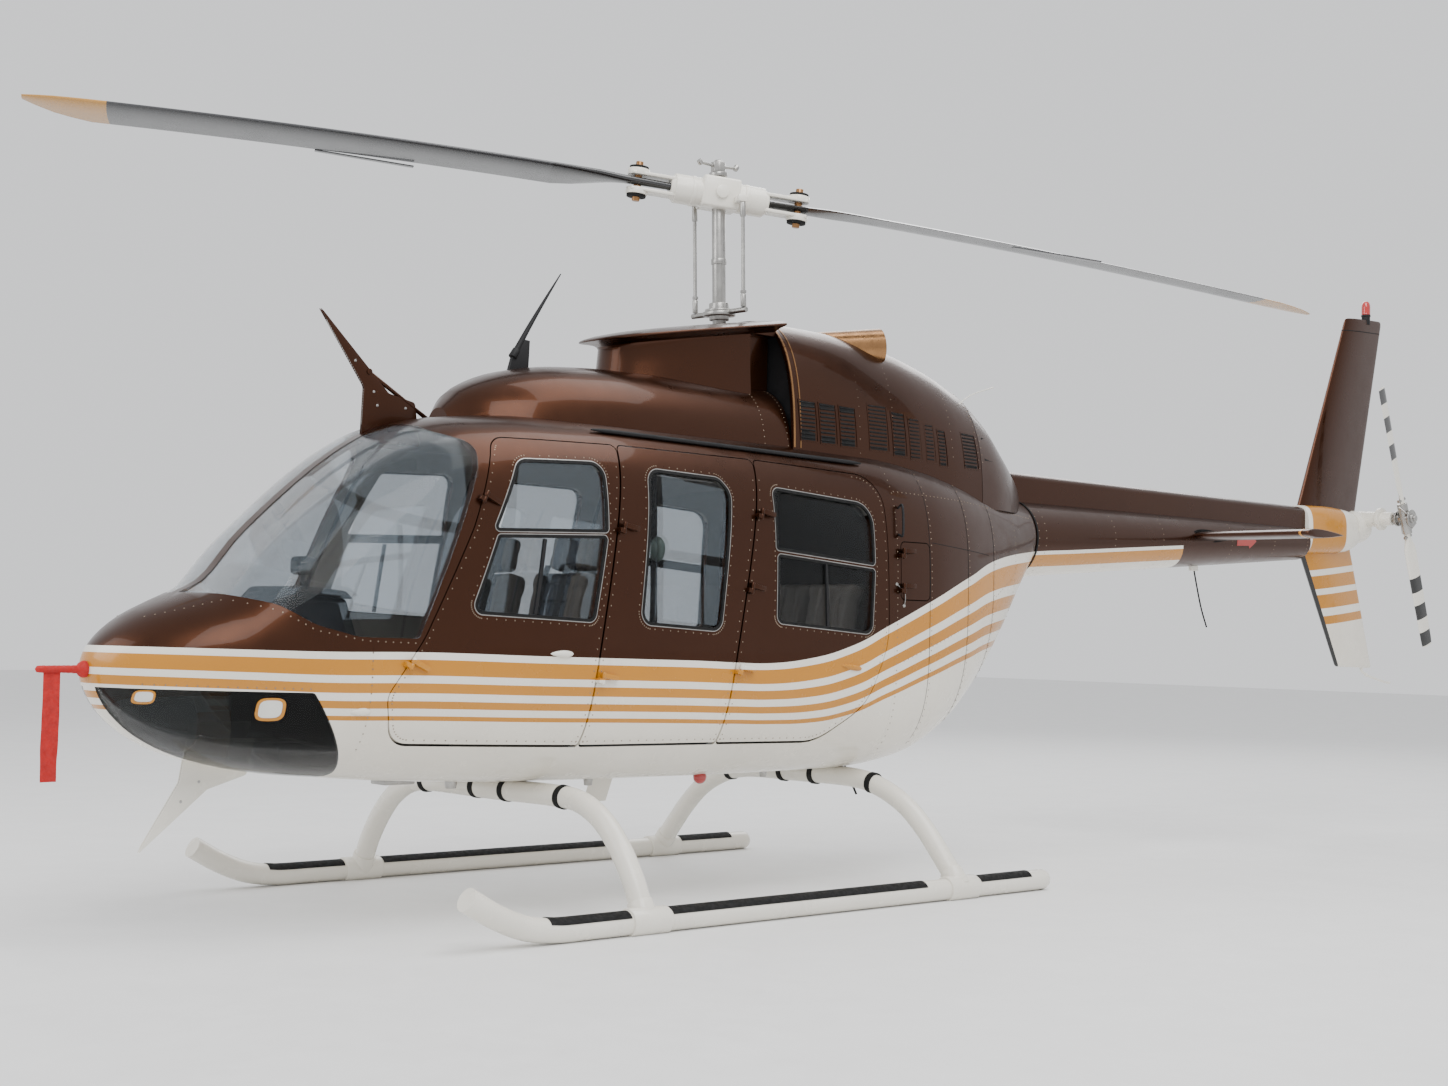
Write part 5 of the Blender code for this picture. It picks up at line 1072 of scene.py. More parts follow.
gearboxRoom = gearboxBody("gearboxRoom", 0.0005)
upperCorners = ((-5.440, 2.235), (-6.190, 2.235), (-6.045, 3.630), (-6.545, 3.660))
upperFin = loft("upperFin", finRings(upperCorners, finRows))
booleanWith(upperFin, [coneRoom, boomRoom, gearboxRoom])
lowerCorners = ((-5.462, 1.941), (-6.120, 1.992), (-5.945, 1.125), (-6.430, 1.115))
lowerFin = loft("lowerFin", finRings(lowerCorners, finRows))
booleanWith(lowerFin, [coneRoom, boomRoom])
lowerBands = [
    (0.4, "cream"), (0.84, "gold"), (0.90, "white"), (0.957, "gold"), (1.057, "white"), (1.10, "gold"),
    (1.193, "white"), (1.235, "gold"),
]
lowerPaint = bandedPaint("lower fin paint", "Z", lowerBands, 0.4, 1.5, 0.10, "X", (-0.592, -6.633))
finish(upperFin, brownPaint, "airframe", ["upper_fin"])
finish(loft("finCapSeam", finRings(upperCorners, [(0.932, 1.0), (0.936, 1.0)], 0.0008)), rubber, "airframe")
finish(lowerFin, lowerPaint, "airframe", ["lower_fin"])
gearbox = gearboxBody("tailGearbox", 0.0)
output = rodPiece("output", (-6.205, 0.030, 2.183), (-6.205, 0.2947, 2.183), 0.062, 0.046, 48, 0.003)
flange = rodPiece("flange", (-6.205, 0.190, 2.183), (-6.205, 0.215, 2.183), 0.080, sides=48, bevel=0.002)
booleanWith(gearbox, [output, flange], "UNION")
booleanWith(gearbox, coneRoom)
finish(gearbox, creamPaint, "airframe", ["tail_gearbox"])
discard(output, flange, coneRoom, boomRoom, gearboxRoom)
print("boom, cone and fins made")

# Tail rotor
tailHub, tailLean = Vector((-6.205, 0.385, 2.183)), math.radians(20)


def bladeRing(along, lead, chord, thickness, pitch, drop=0.0, count=40):
    turn = Matrix.Rotation(pitch, 2)
    return [Vector((along, (turn @ Vector((lead - back, up))).x,
            (turn @ Vector((lead - back, up))).y - drop)) for back, up in airfoil(chord, thickness, count)]


tailRows = [
    (0.050, 0.022, 0.044, 0.036, 0), (0.100, 0.024, 0.048, 0.035, 14), (0.150, 0.026, 0.052, 0.034, 20),
    (0.180, 0.036, 0.072, 0.030, 18), (0.212, 0.050, 0.100, 0.024, 15), (0.240, 0.0575, 0.115, 0.020, 14),
    (0.500, 0.0575, 0.115, 0.018, 12), (0.900, 0.0575, 0.115, 0.014, 8.5), (0.940, 0.0550, 0.109, 0.013, 8),
    (0.955, 0.0450, 0.090, 0.010, 8),
]
tailTurn = Matrix.Translation(tailHub) @ Matrix.Rotation(tailLean, 4, "Y")
stand = Matrix.Rotation(-math.pi / 2, 4, "Y") @ Matrix.Rotation(math.pi / 2, 4, "X")


def ringedPaint(name, color, coat, middle, stops, reach=None):
    # rings of paint about a point, at shares of the reach where one is given
    material, tree, shader = newMaterial(name, color, coat=coat)
    vector = objectPlace(tree)
    apart = addNode(tree, "ShaderNodeVectorMath", operation="DISTANCE")
    apart.inputs[1].default_value = middle
    tree.links.new(vector, apart.inputs[0])
    value = apart.outputs["Value"]
    if reach:
        value = rangeOf(tree, value, 0.0, reach, 0.0, 1.0)
    ramp = rampOf(tree, value, stops)
    paintSurface(tree, shader, vector, ramp.outputs["Color"], ramp.outputs["Alpha"])
    return material


tailWhite, tailBlack = (*tones["white"], 0.0), (0.012, 0.012, 0.012, 0.0)
tailStops = [(0.0, tailWhite)]
tailStops += [(at, tailWhite if k % 2 else tailBlack) for k,
        at in enumerate((0.44, 0.545, 0.64, 0.745, 0.84, 0.945))]


pieces = []
for flip in (0, 1):
    blade = loft("tailBlade", [bladeRing(along, lead, chord, thick, math.radians(pitch))
            for along, lead, chord, thick, pitch in tailRows])
    blade.data.transform(tailTurn @ Matrix.Rotation(math.pi * flip, 4, "Y") @ stand)
    pieces.append(blade)
tailBlades = joinPieces("tailBlades", pieces)
tailPaint = ringedPaint("tail blade paint", tones["white"], 0.4, tailHub, tailStops)
finish(tailBlades, tailPaint, "anti_torque_rotor", ["tail_rotor"])
hubRods = [
    ((0, -0.090, 0), (0, 0.075, 0), 0.034, 0.004), ((0, 0, -0.110), (0, 0, 0.110), 0.036, 0.004),
    ((0, 0.045, 0), (0, 0.060, 0), 0.062, 0.003), ((0, -0.060, 0), (0, -0.045, 0), 0.055, 0.003),
    ((0, 0.060, 0), (0, 0.090, 0), 0.020, 0.003), ((0.05, 0.052, 0.048), (0.05, 0.0, 0.100), 0.007, 0.001),
    ((-0.05, 0.052, -0.048), (-0.05, 0.0, -0.100), 0.007, 0.001),
    ((0.042, 0, 0.135), (-0.042, 0, 0.135), 0.012, 0.002),
    ((0.042, 0, -0.135), (-0.042, 0, -0.135), 0.012, 0.002),
]
pieces = [rodPiece("tailHub", start, end, radius, sides=32, bevel=bevel)
        for start, end, radius, bevel in hubRods]
tailHubPiece = joinPieces("tailHub", pieces)
tailHubPiece.data.transform(tailTurn)
finish(tailHubPiece, steel, "anti_torque_rotor")
print("tail rotor made")

# Main rotor
hubAt = Vector((0.045, 0.0, 3.545))
mastTurn = Matrix.Translation(hubAt) @ Matrix.Rotation(math.radians(2.0), 4, "Y")
mastTurn = mastTurn @ Matrix.Rotation(math.radians(-28.2), 4, "Z")
teeterTurn = mastTurn @ Matrix.Rotation(math.radians(-7.1), 4, "Y")
rotor = {"radius": 3.440, "droop": 0.100, "root": 0.400, "pitch": 8.0, "bolt": 0.430}


def turned(thing, matrix):
    thing.data.transform(matrix)
    return thing


def about(point, matrix):
    return Matrix.Translation(point) @ matrix @ Matrix.Translation(-point)


bladeRows = [
    (0.250, 0.045, 0.090, 0.036, 0.0), (0.380, 0.052, 0.110, 0.038, 0.0), (0.500, 0.060, 0.130, 0.040, 0.0),
    (0.570, 0.068, 0.175, 0.042, 0.3), (0.640, 0.075, 0.220, 0.044, 0.6),
    (0.740, 0.075, 0.270, 0.042, 0.85), (0.850, 0.075, 0.300, 0.040, 1.0),
    (1.500, 0.075, 0.300, 0.038, 1.0), (2.300, 0.075, 0.300, 0.036, 1.0), (3.130, 0.075, 0.300, 0.034, 1.0),
    (3.220, 0.0735, 0.262, 0.030, 1.0), (3.300, 0.070, 0.215, 0.026, 1.0),
    (3.380, 0.0605, 0.135, 0.018, 1.0), (3.4385, 0.050, 0.060, 0.010, 1.0),
]


bladeGrey = (0.035, 0.036, 0.039)
bladeStops = [(0.0, (0.012, 0.012, 0.013, 0.0)), (0.245, (*bladeGrey, 0.0)),
        (0.845, (0.50, 0.245, 0.040, 0.0))]
mainPaint = ringedPaint("main blade paint", bladeGrey, 0.5, hubAt, bladeStops, 3.6)
fineBlade = betweenRows(bladeRows, 0.08)
for i, flip in enumerate((0, 1)):
    rings = []
    for along, lead, chord, thick, share in fineBlade:
        drop = rotor["droop"] * ((along - rotor["root"]) / (rotor["radius"] - rotor["root"])) ** 2
        rings.append(bladeRing(along, lead, chord, thick, math.radians(rotor["pitch"]) * share, drop, 44))
    blade = loft(f"mainBlade_{i + 1}", rings)
    flipTurn = Matrix.Rotation(math.pi * flip, 4, "Z")
    tab = boxPiece("tab", (1.55, -0.262, -0.040), (2.05, -0.222, -0.034), 0.001)
    tab.data.transform(Matrix.Translation((0, 0, -0.026)))
    blade = joinPieces(blade.name, [blade, tab])
    blade.data.transform(teeterTurn @ flipTurn)
    finish(blade, mainPaint, "main_rotor", [f"main_blade_{i + 1}"])

mast = joinPieces("mast", [
    rodPiece("mast", (0, 0, -0.745), (0, 0, 0.130), 0.035, sides=48, bevel=0.003),
    rodPiece("nut", (0, 0, 0.120), (0, 0, 0.172), 0.040, sides=8, bevel=0.003),
    rodPiece("cap", (0, 0, 0.170), (0, 0, 0.185), 0.030, 0.016, 32, 0.003),
    rodPiece("collar", (0, 0, 0.096), (0, 0, 0.118), 0.048, sides=40, bevel=0.003),
    rodPiece("ring", (0, 0, -0.36), (0, 0, -0.33), 0.040, sides=40, bevel=0.003),
])
finish(turned(mast, mastTurn), steel, "main_rotor", ["mast"])
swashRods = [
    ((0, 0, -0.628), (0, 0, -0.606), 0.085, 0.004), ((0, 0, -0.606), (0, 0, -0.592), 0.074, 0.004),
    ((0, 0, -0.65), (0, 0, -0.56), 0.052, 0.004), ((0, 0, -0.610), (-0.102, 0.168, -0.610), 0.014, 0.003),
    ((0, 0, -0.610), (0.102, -0.168, -0.610), 0.014, 0.003),
]
swash = joinPieces("swashplate", [rodPiece("swash", start, end, radius, sides=40, bevel=bevel)
        for start, end, radius, bevel in swashRods])
finish(turned(swash, mastTurn), steel, "main_rotor", ["swashplate"])
for i, flip in enumerate((1, -1)):
    foot = Vector((-0.091 * flip, 0.150 * flip, -0.594))
    head = Vector((foot.x, foot.y, -0.045 + foot.x * math.tan(math.radians(7.1))))
    head.z = min(head.z, -0.030)
    rods = [rodPiece("link", foot, head, 0.010, sides=24),
            rodPiece("end", foot, foot.lerp(head, 0.12), 0.0145, sides=24, bevel=0.002),
            rodPiece("end", foot.lerp(head, 0.86), head, 0.0145, sides=24, bevel=0.002),
            rodPiece("nut", foot.lerp(head, 0.13), foot.lerp(head, 0.155), 0.016, sides=6)]
    finish(turned(joinPieces(f"pitchLink_{i + 1}", rods), mastTurn), steel, "main_rotor",
            [f"pitch_link_{i + 1}"])

hubPieces = [boxPiece("yoke", (-0.100, -0.080, -0.075), (0.100, 0.080, 0.085), 0.014, 3)]
dark, amber = [], []
for flip in (1, -1):
    hubPieces.append(rodPiece("barrel", (flip * 0.060, 0, 0), (flip * 0.240, 0, 0), 0.076, sides=48,
            bevel=0.004))
    hubPieces.append(rodPiece("ring", (flip * 0.130, 0, 0), (flip * 0.152, 0, 0), 0.0795, sides=48,
            bevel=0.003))
    hubPieces.append(rodPiece("neck", (flip * 0.236, 0, 0), (flip * 0.262, 0, 0), 0.070, 0.056, 48, 0.003))
    for level in (1, -1):
        low, high = sorted((flip * 0.180, flip * 0.470))
        foot, top = sorted((level * 0.0325, level * 0.050))
        hubPieces.append(boxPiece("tongue", (low, -0.052, foot), (high, 0.052, top), 0.005))
        hubPieces.append(rodPiece("pad", (flip * rotor["bolt"], 0, level * 0.0325),
                (flip * rotor["bolt"], 0, level * 0.066), 0.056, sides=40, bevel=0.003))
        dark.append(rodPiece("cap", (flip * rotor["bolt"], 0, level * 0.062),
                (flip * rotor["bolt"], 0, level * 0.080), 0.050, sides=40, bevel=0.003))
    amber.append(rodPiece("plug", (flip * rotor["bolt"], 0, -0.100), (flip * rotor["bolt"], 0, 0.105),
            0.020, sides=32, bevel=0.003))
    lowX, highX = sorted((-flip * 0.115, -flip * 0.067))
    lowY, highY = sorted((flip * 0.050, flip * 0.170))
    hubPieces.append(boxPiece("horn", (lowX, lowY, -0.045), (highX, highY, -0.010), 0.006))
hubPieces.append(rodPiece("trunnion", (0, -0.098, 0.006), (0, 0.098, 0.006), 0.034, sides=40, bevel=0.003))
hubBody = joinPieces("rotorHub", hubPieces)
finish(turned(hubBody, teeterTurn), creamPaint, "main_rotor", ["rotor_hub"])
finish(turned(joinPieces("gripCaps", dark), teeterTurn), rubber, "main_rotor")
finish(turned(joinPieces("gripBolts", amber), teeterTurn), bronze, "main_rotor")
topArms = [rodPiece("arm", (0, 0, 0.150), (0.110 * f, 0.060 * f, 0.158), 0.008, sides=16) for f in (1, -1)]
topArms += [rodPiece("ball", (0.102 * f, 0.056 * f, 0.148), (0.118 * f, 0.064 * f, 0.170), 0.015, sides=20,
        bevel=0.005) for f in (1, -1)]
finish(turned(joinPieces("topArms", topArms), mastTurn), steel, "main_rotor")
print("main rotor made")

# Landing gear
gear = {
    "front": (
        1.387,
        (
            (0.000, 0.535), (0.450, 0.538), (0.660, 0.522), (0.820, 0.452), (0.940, 0.345), (1.030, 0.225),
            (1.080, 0.130),
        ),
    ),
    "rear": (
        -0.625,
        (
            (0.000, 0.548), (0.400, 0.545), (0.600, 0.505), (0.770, 0.425), (0.900, 0.318), (1.005, 0.205),
            (1.070, 0.130),
        ),
    ),
    "spacing": 1.126, "radius": 0.052, "leg": 0.050,
}
for word in ("front", "rear"):
    x, corners = gear[word]
    half = [Vector((x, y, z)) for y, z in corners]
    path = [Vector((p.x, -p.y, p.z)) for p in reversed(half[1:])] + half
    # one tube from foot to foot, through the corners of one side and their mirror
    tube = tubePiece(f"{word}CrossTube", smoothPath(path, 6), gear["leg"], resolution=10)
    finish(tube, creamPaint, "airframe", [f"{word}_cross_tube"], 60)
for side in (1, -1):
    y = side * gear["spacing"]
    corners = [(1.700, y, 0.052), (1.860, y, 0.052), (2.020, y, 0.074), (2.170, y, 0.130),
            (2.320, y, 0.212)]
    path = [Vector((-1.300, y, 0.052)), Vector((-1.292, y, 0.052)), Vector((-1.280, y, 0.052)),
            Vector((-1.262, y, 0.052))]
    path += [Vector((x, y, 0.052)) for x in (-0.9, -0.3, 0.5, 1.25)] + smoothPath(corners, 8)
    radii = [0.45, 0.72, 0.90, 1.0] + [1.0] * (len(path) - 4)
    rods = [tubePiece("skid", path, gear["radius"], resolution=10, radii=radii)]
    for word in ("front", "rear"):
        x, points = gear[word]
        rods.append(rodPiece("saddle", (x - 0.105, y, 0.052), (x + 0.105, y, 0.052), 0.062, sides=48,
                bevel=0.004))
        end, before = (Vector((x, side * across, up)) for across, up in (points[-1], points[-2]))
        lean = (end - before).normalized()
        rods.append(rodPiece("socket", end + lean * 0.0003, end + lean * (0.052 - end.z) / lean.z, 0.057,
                sides=48, bevel=0.003))
    skid = joinPieces(f"skid_{sideWord[side]}", rods)
    for vertex in skid.data.vertices:
        vertex.co.z = max(vertex.co.z, 0.0)
    finish(skid, creamPaint, "airframe", [f"skid_{sideWord[side]}"], 60)
print("landing gear made")
discard(cowlHull, *depths.values())


# Seals, seams, rivets and fittings
def bandAlong(name, points, side, inside, outside, low, high):
    # a flat band round an outline on the hull's side
    inner, outer = grown(points, inside), grown(points, outside)
    rings = [[skinPoint(a.x, a.y, side, low), skinPoint(b.x, b.y, side, low),
            skinPoint(b.x, b.y, side, high), skinPoint(a.x, a.y, side, high)]
             for a, b in zip(inner, outer)]
    return loft(name, rings, closed=True)


def finely(points, step=0.05):
    fine = []
    for a, b in zip(points, points[1:] + points[:1]):
        count = max(1, math.ceil((b - a).length / step))
        fine += [a.lerp(b, k / count) for k in range(count)]
    return fine


def domes(name, spots, radius=0.003, height=0.5):
    # low rivet heads: each spot is a point and the way out, and one head is shaped and set at all of them
    bm = bmesh.new()
    bmesh.ops.create_uvsphere(bm, u_segments=8, v_segments=4, radius=radius)
    bm.verts.ensure_lookup_table()
    shape = [v.co.copy() for v in bm.verts]
    corners = [[v.index for v in face.verts] for face in bm.faces]
    bm.free()
    points, faces = [], []
    for at, out in spots:
        facing = out.to_track_quat("Z", "Y").to_matrix().to_4x4()
        turn = Matrix.Translation(at) @ facing @ Matrix.Diagonal((1, 1, height, 1))
        faces += [[len(points) + i for i in face] for face in corners]
        points += [turn @ point for point in shape]
    mesh = bpy.data.meshes.new(name)
    mesh.from_pydata(points, [], faces)
    return makeObject(name, mesh)


def skinSpots(corners, side, step=0.03, lift=0.0):
    spots = []
    for (x0, z0), (x1, z1) in zip(corners, corners[1:]):
        length = math.hypot(x1 - x0, z1 - z0)
        count = max(1, round(length / step))
        for k in range(count):
            t = (k + 0.5) / count
            x, z = x0 + (x1 - x0) * t, z0 + (z1 - z0) * t
            at = skinPoint(x, z, side, lift)
            spots.append((at, (skinPoint(x, z, side, lift + 0.01) - at).normalized()))
    return spots


def strapOn(name, corners, side, width, low, high):
    # a raised strap along a line on the hull's side
    points = [Vector(c) for c in corners]
    across = [Vector((-(b - a).y, (b - a).x)).normalized() * width / 2 for a, b in zip(points, points[1:])]
    rings = []
    for a, b, w in zip(points, points[1:], across):
        count = max(1, round((b - a).length / 0.04))
        for k in range(count + 1):
            p = a.lerp(b, k / count)
            rings.append([skinPoint(p.x + s * w.x, p.y + s * w.y, side, lift)
                    for s, lift in ((1, low), (-1, low), (-1, high), (1, high))])
    return loft(name, rings)


seals = {"inside": -0.003, "outside": 0.011, "rim": 0.015}
glazed = [
    ("crew", (1, -1), "crew_door"), ("mid", (1,), "mid_door"), ("aft", (1, -1), "aft_door"),
    ("side", (-1,), "airframe"),
]
for opening, sides, word in glazed:
    for side in sides:
        body = word if word == "airframe" else f"{word}_{bodyWord[side]}"
        dark, bright = [], []
        for part in windows[opening]:
            points = finely(rounded(part), 0.06)
            dark.append(bandAlong("seal", points, side, seals["inside"], seals["outside"], -0.006, 0.0025))
            bright.append(bandAlong("rim", points, side, seals["outside"], seals["rim"], -0.001, 0.0018))
        finish(joinPieces(f"{opening}Seal_{sideWord[side]}", dark), rubber, body)
        finish(joinPieces(f"{opening}Rim_{sideWord[side]}", bright), steel, body)
for side in (1, -1):
    bars = [strapOn("bar", ((1.604, 1.680), (1.652, 1.350)), side, 0.016, -0.010, 0.002)]
    finish(joinPieces(f"crewBar_{sideWord[side]}", bars), blackPlastic, f"crew_door_{bodyWord[side]}")
    bars = [strapOn("bar", ((-0.135, 1.635), (-0.150, 1.325)), side, 0.014, -0.010, 0.002)]
    finish(joinPieces(f"aftBar_{sideWord[side]}", bars), blackPlastic, f"aft_door_{bodyWord[side]}")
print("window seals made")

# Door hinges, handles and their plates
hinges = {
    "crew_door": (((2.255, 1.130), (1.905, 1.850)), (0.0, 1.0), (1, -1), 0.0),
    "mid_door": (((1.306, 1.070), (1.197, 1.750)), (0.0, 1.0), (1,), 0.019),
    "aft_door": (((0.468, 1.110), (0.333, 1.860)), (0.0, 0.52, 1.0), (1, -1), 0.019),
}


def hingeFrame(low, high, side, share):
    ends = [Vector((x, side * (halfWidth(x, z) + 0.022), z)) for x, z in (low, high)]
    up = (ends[1] - ends[0]).normalized()
    out = up.cross(Vector((1, 0, 0))).normalized() * side
    ahead = out.cross(up).normalized() * side
    return Matrix.Translation(ends[0].lerp(ends[1], share)) @ Matrix((ahead, out, up)).transposed().to_4x4()


def hingeSet(node, low, high, side, shares, doorBody, wallBody):
    moving, fixed = [], []
    for share in shares:
        at = hingeFrame(low, high, side, share)
        made = []
        made.append((moving, rodPiece("knuckle", (0, 0, 0.0005), (0, 0, 0.026), 0.0098, sides=24,
                bevel=0.0015)))
        made.append((moving, boxPiece("arm", (-0.085, -0.012, 0.002), (-0.002, 0.007, 0.024), 0.002)))
        made.append((moving, boxPiece("plate", (-0.094, -0.0235, 0.0012), (-0.040, -0.010, 0.0248), 0.002)))
        made.append((fixed, rodPiece("knuckle", (0, 0, -0.026), (0, 0, -0.0005), 0.0098, sides=24,
                bevel=0.0015)))
        made.append((fixed, rodPiece("pin", (0, 0, -0.030), (0, 0, -0.0255), 0.0065, sides=16)))
        made.append((fixed, boxPiece("arm", (0.0, -0.028, -0.0235), (0.026, 0.007, -0.003), 0.002)))
        for group, piece in made:
            group.append(turned(piece, at))
    finish(joinPieces(f"{node}Leaf_{sideWord[side]}", moving), bodyPaint, doorBody)
    finish(joinPieces(f"{node}Knuckle_{sideWord[side]}", fixed), bodyPaint, wallBody)


for node, ((low, high), shares, sides, back) in hinges.items():
    for side in sides:
        move = back if side > 0 and node != "crew_door" else 0.0
        hingeSet(node, (low[0] - move, low[1]), (high[0] - move, high[1]), side, shares,
                f"{node}_{bodyWord[side]}", "airframe")
hingeSet("baggage", (-0.687, 1.530), (-0.687, 1.710), 1, (0.0, 1.0), "baggage_lid", "airframe")


def handleOn(name, x, z, side, length, material, body, lean=0.0):
    # a low fairing for a pull handle: a squashed round form on the skin, tapering forward
    rings = []
    for k in range(15):
        t = k / 14
        size = math.sin(math.pi * min(0.999, max(0.001, t)) ** 0.75) ** 0.6
        ring = []
        for i in range(16):
            a = 2 * math.pi * i / 16
            px, pz = x + (t - 0.5) * length, z + math.sin(a) * 0.016 * size + lean * (t - 0.5) * length
            ring.append(skinPoint(px, pz, side, max(-0.003, math.cos(a) * 0.015 * size)))
        rings.append(ring)
    finish(loft(name, rings), material, body)


for word, x, z, length, material, lean in (
    ("crew", 1.505, 1.177, 0.125, creamPaint, 0.0), ("aft", -0.323, 1.124, 0.150, goldPaint, 0.12),
):
    for side in (1, -1):
        handleOn(f"{word}Handle_{sideWord[side]}", x, z, side, length, material,
                f"{word}_door_{bodyWord[side]}", lean)
handleOn("noseLamp", 2.456, 0.928, 1, 0.090, creamPaint, "airframe")

# Rivet rows and frame seams
spots = []
for side in (1, -1):
    spots += skinSpots([(2.215, 1.215), (2.45, 1.222), (2.66, 1.262), (2.80, 1.340), (2.95, 1.382),
            (3.24, 1.30)], side, 0.035)
    spots += skinSpots([(2.42, 1.19), (2.42, 0.75)], side, 0.035)
    spots += skinSpots([(2.66, 1.022), (3.30, 1.035)], side, 0.035)
    for x in (-0.66, -0.944, -1.316, -1.634, -1.95, -2.27):
        row = rowAt(x)
        spots += skinSpots([(x, row[3] - 0.09), (x, row[1] + 0.10)], side, 0.034)
    spots += skinSpots([(-0.66, 2.03), (-1.3, 2.02), (-2.25, 1.98)], side, 0.036)
    spots += skinSpots([(-0.70, 1.15), (-1.25, 1.33), (-1.9, 1.62)], side, 0.036)
finish(domes("bodyRivets", spots, 0.0036), rivetMetal, "airframe")
edgeRivets = {"step": 0.040, "fromEdge": -0.018, "fromWindow": 0.028, "size": 0.0034}
seams = {"near": -0.0380, "far": -0.0352, "over": 0.011}
for outline, opening, node, glassNode, sides in doors:
    for side in sides:
        points = finely(rounded(outlines[outline]), 0.05)
        finish(bandAlong(f"{outline}Seal_{sideWord[side]}", points, side, -seams["over"], seams["over"],
                seams["near"], seams["far"]), rubber, "airframe")
        lines = [grown(points, edgeRivets["fromEdge"]),
                grown(finely(fullWindow(windows[opening]), 0.05), edgeRivets["fromWindow"])]
        spots = []
        for line in lines:
            line = [p for p in line if p.y < 2.09]
            spots += skinSpots([(p.x, p.y) for p in line], side, edgeRivets["step"])
        finish(domes(f"{outline}Rivets_{sideWord[side]}", spots, edgeRivets["size"]), rivetMetal,
                f"{node}_{bodyWord[side]}")
straps = []
for side in (1, -1):
    for x in (-0.944, -1.316, -1.634):
        row = rowAt(x)
        straps.append(strapOn("seam", [(x + 0.016, row[3] - 0.07), (x + 0.016, row[1] + 0.07)], side, 0.003,
                -0.002, 0.0006))
finish(joinPieces("frameSeams", straps), rubber, "airframe")

cowlSpots = []
for rows, places in ((cowls["engine"], (-0.565, -0.83, -1.08, -1.33, -1.58)),
        (cowls["aft"], (-1.62, -1.86)), (cowls["roof"], (0.10, -0.06))):
    for x in places:
        for k in range(46):
            turn = 0.035 + 0.93 * k / 45
            at = cowlPoint(rows, x, turn)
            if at.z > 2.20 + 0.02:
                cowlSpots.append((at, (cowlPoint(rows, x, turn, 0.01) - at).normalized()))
finish(domes("cowlRivets", cowlSpots, 0.0036), rivetMetal, "airframe")
boomSpots = []
for x in (-2.33, -2.40, -3.10, -3.62, -4.42, -4.95, -5.38):
    height, radius = boomAt(x)
    middle = Vector((x, 0, height))
    
    for k in range(32):
        out = Vector((0, math.cos(math.pi * k / 16), math.sin(math.pi * k / 16)))
        if out.z < 0.8:
            boomSpots.append((middle + out * radius, out))
finish(domes("boomRivets", boomSpots, 0.0034), rivetMetal, "airframe")
finish(loft("boomSeam", [boomRing(-2.3055, 0.004), boomRing(-2.318, 0.004), boomRing(-2.322, 0.0005),
        boomRing(-2.322, -0.004), boomRing(-2.3055, -0.004)]), rubber, "airframe")
print("rivets and seams made")

# Louvres down the engine cowl: a sunk dark sheet with slats, a painted shade for the dark inside the
# openings, and the same to starboard
louvres = [
    (-0.125, -0.240, 2.466, 2.265), (-0.267, -0.382, 2.463, 2.260), (-0.412, -0.527, 2.461, 2.256),
    (-0.629, -0.775, 2.491, 2.254), (-0.816, -0.918, 2.466, 2.238), (-0.954, -1.044, 2.446, 2.226),
    (-1.090, -1.163, 2.426, 2.224), (-1.201, -1.266, 2.403, 2.210), (-1.430, -1.560, 2.406, 2.215),
]


def cowlSide(x, z, side, lift=0.0):
    # a point on the engine or aft cowl's side at a height
    rows = cowls["engine"] if x > -1.6025 else cowls["aft"]
    i = next((k for k in range(len(rows) - 1) if rows[k + 1][0] <= x), len(rows) - 2)
    a, b = rows[i], rows[i + 1]
    t = (x - a[0]) / (b[0] - a[0])
    top, half, full = (a[c] + (b[c] - a[c]) * t for c in (1, 2, 3))
    rise = min(0.999, max(0.0, (z - cowls["foot"]) / (top - cowls["foot"])))
    return Vector((x, side * (half * (1 - rise**full) ** (1 / full) + lift), z))


def shadeSheetOn(places, low, high, side):
    # a thin dark sheet on the cowl between two heights, a painted shade for the dark behind an opening
    corners = ((0.0004, low), (0.0016, low), (0.0016, high), (0.0004, high))
    return loft("louvreShade", [[cowlSide(x, z, side, lift) for lift, z in corners] for x in places])


frames, slats, shadeSheets = [], [], []
for side in (1, -1):
    for front, rear, high, low in louvres:
        lean = 0.012
        corners = [Vector((front, high)), Vector((rear, high - 0.004)), Vector((rear - lean, low)),
                Vector((front - lean, low))]
        rim = finely(corners, 0.03)
        rings = [[cowlSide(a.x, a.y, side, -0.001), cowlSide(b.x, b.y, side, -0.001),
                cowlSide(b.x, b.y, side, 0.003), cowlSide(a.x, a.y, side, 0.003)]
                 for a, b in zip(rim, grown(rim, 0.006))]
        frames.append(loft("louvreFrame", rings, closed=True))
        shadeSheets.append(shadeSheetOn((front - 0.004, (front + rear) / 2, rear + 0.004), low, high, side))
        count = max(4, round((high - low) / 0.020))
        for k in range(count):
            z = low + (k + 0.35) * (high - low) / count
            shape = ((0.0012, z), (0.0052, z + 0.004), (0.0052, z + 0.006), (0.0012, z + 0.010))
            slats.append(loft("slat", [[cowlSide(x, height, side, lift) for lift, height in shape]
                    for x in (front - 0.008, (front + rear) / 2, rear + 0.006)]))
    # two more dark sheets without slats, painted shade for openings in the cowl
    shadeSheets.append(shadeSheetOn((-0.610, -0.68, -0.745), 2.510, 2.600, side))
    shadeSheets.append(shadeSheetOn((-1.650, -1.70, -1.745), 2.270, 2.400, side))
finish(joinPieces("louvreFrames", frames), brownPaint, "airframe")
finish(joinPieces("louvreSlats", slats), rubber, "airframe")
finish(joinPieces("louvreShades", shadeSheets), rubber, "airframe")

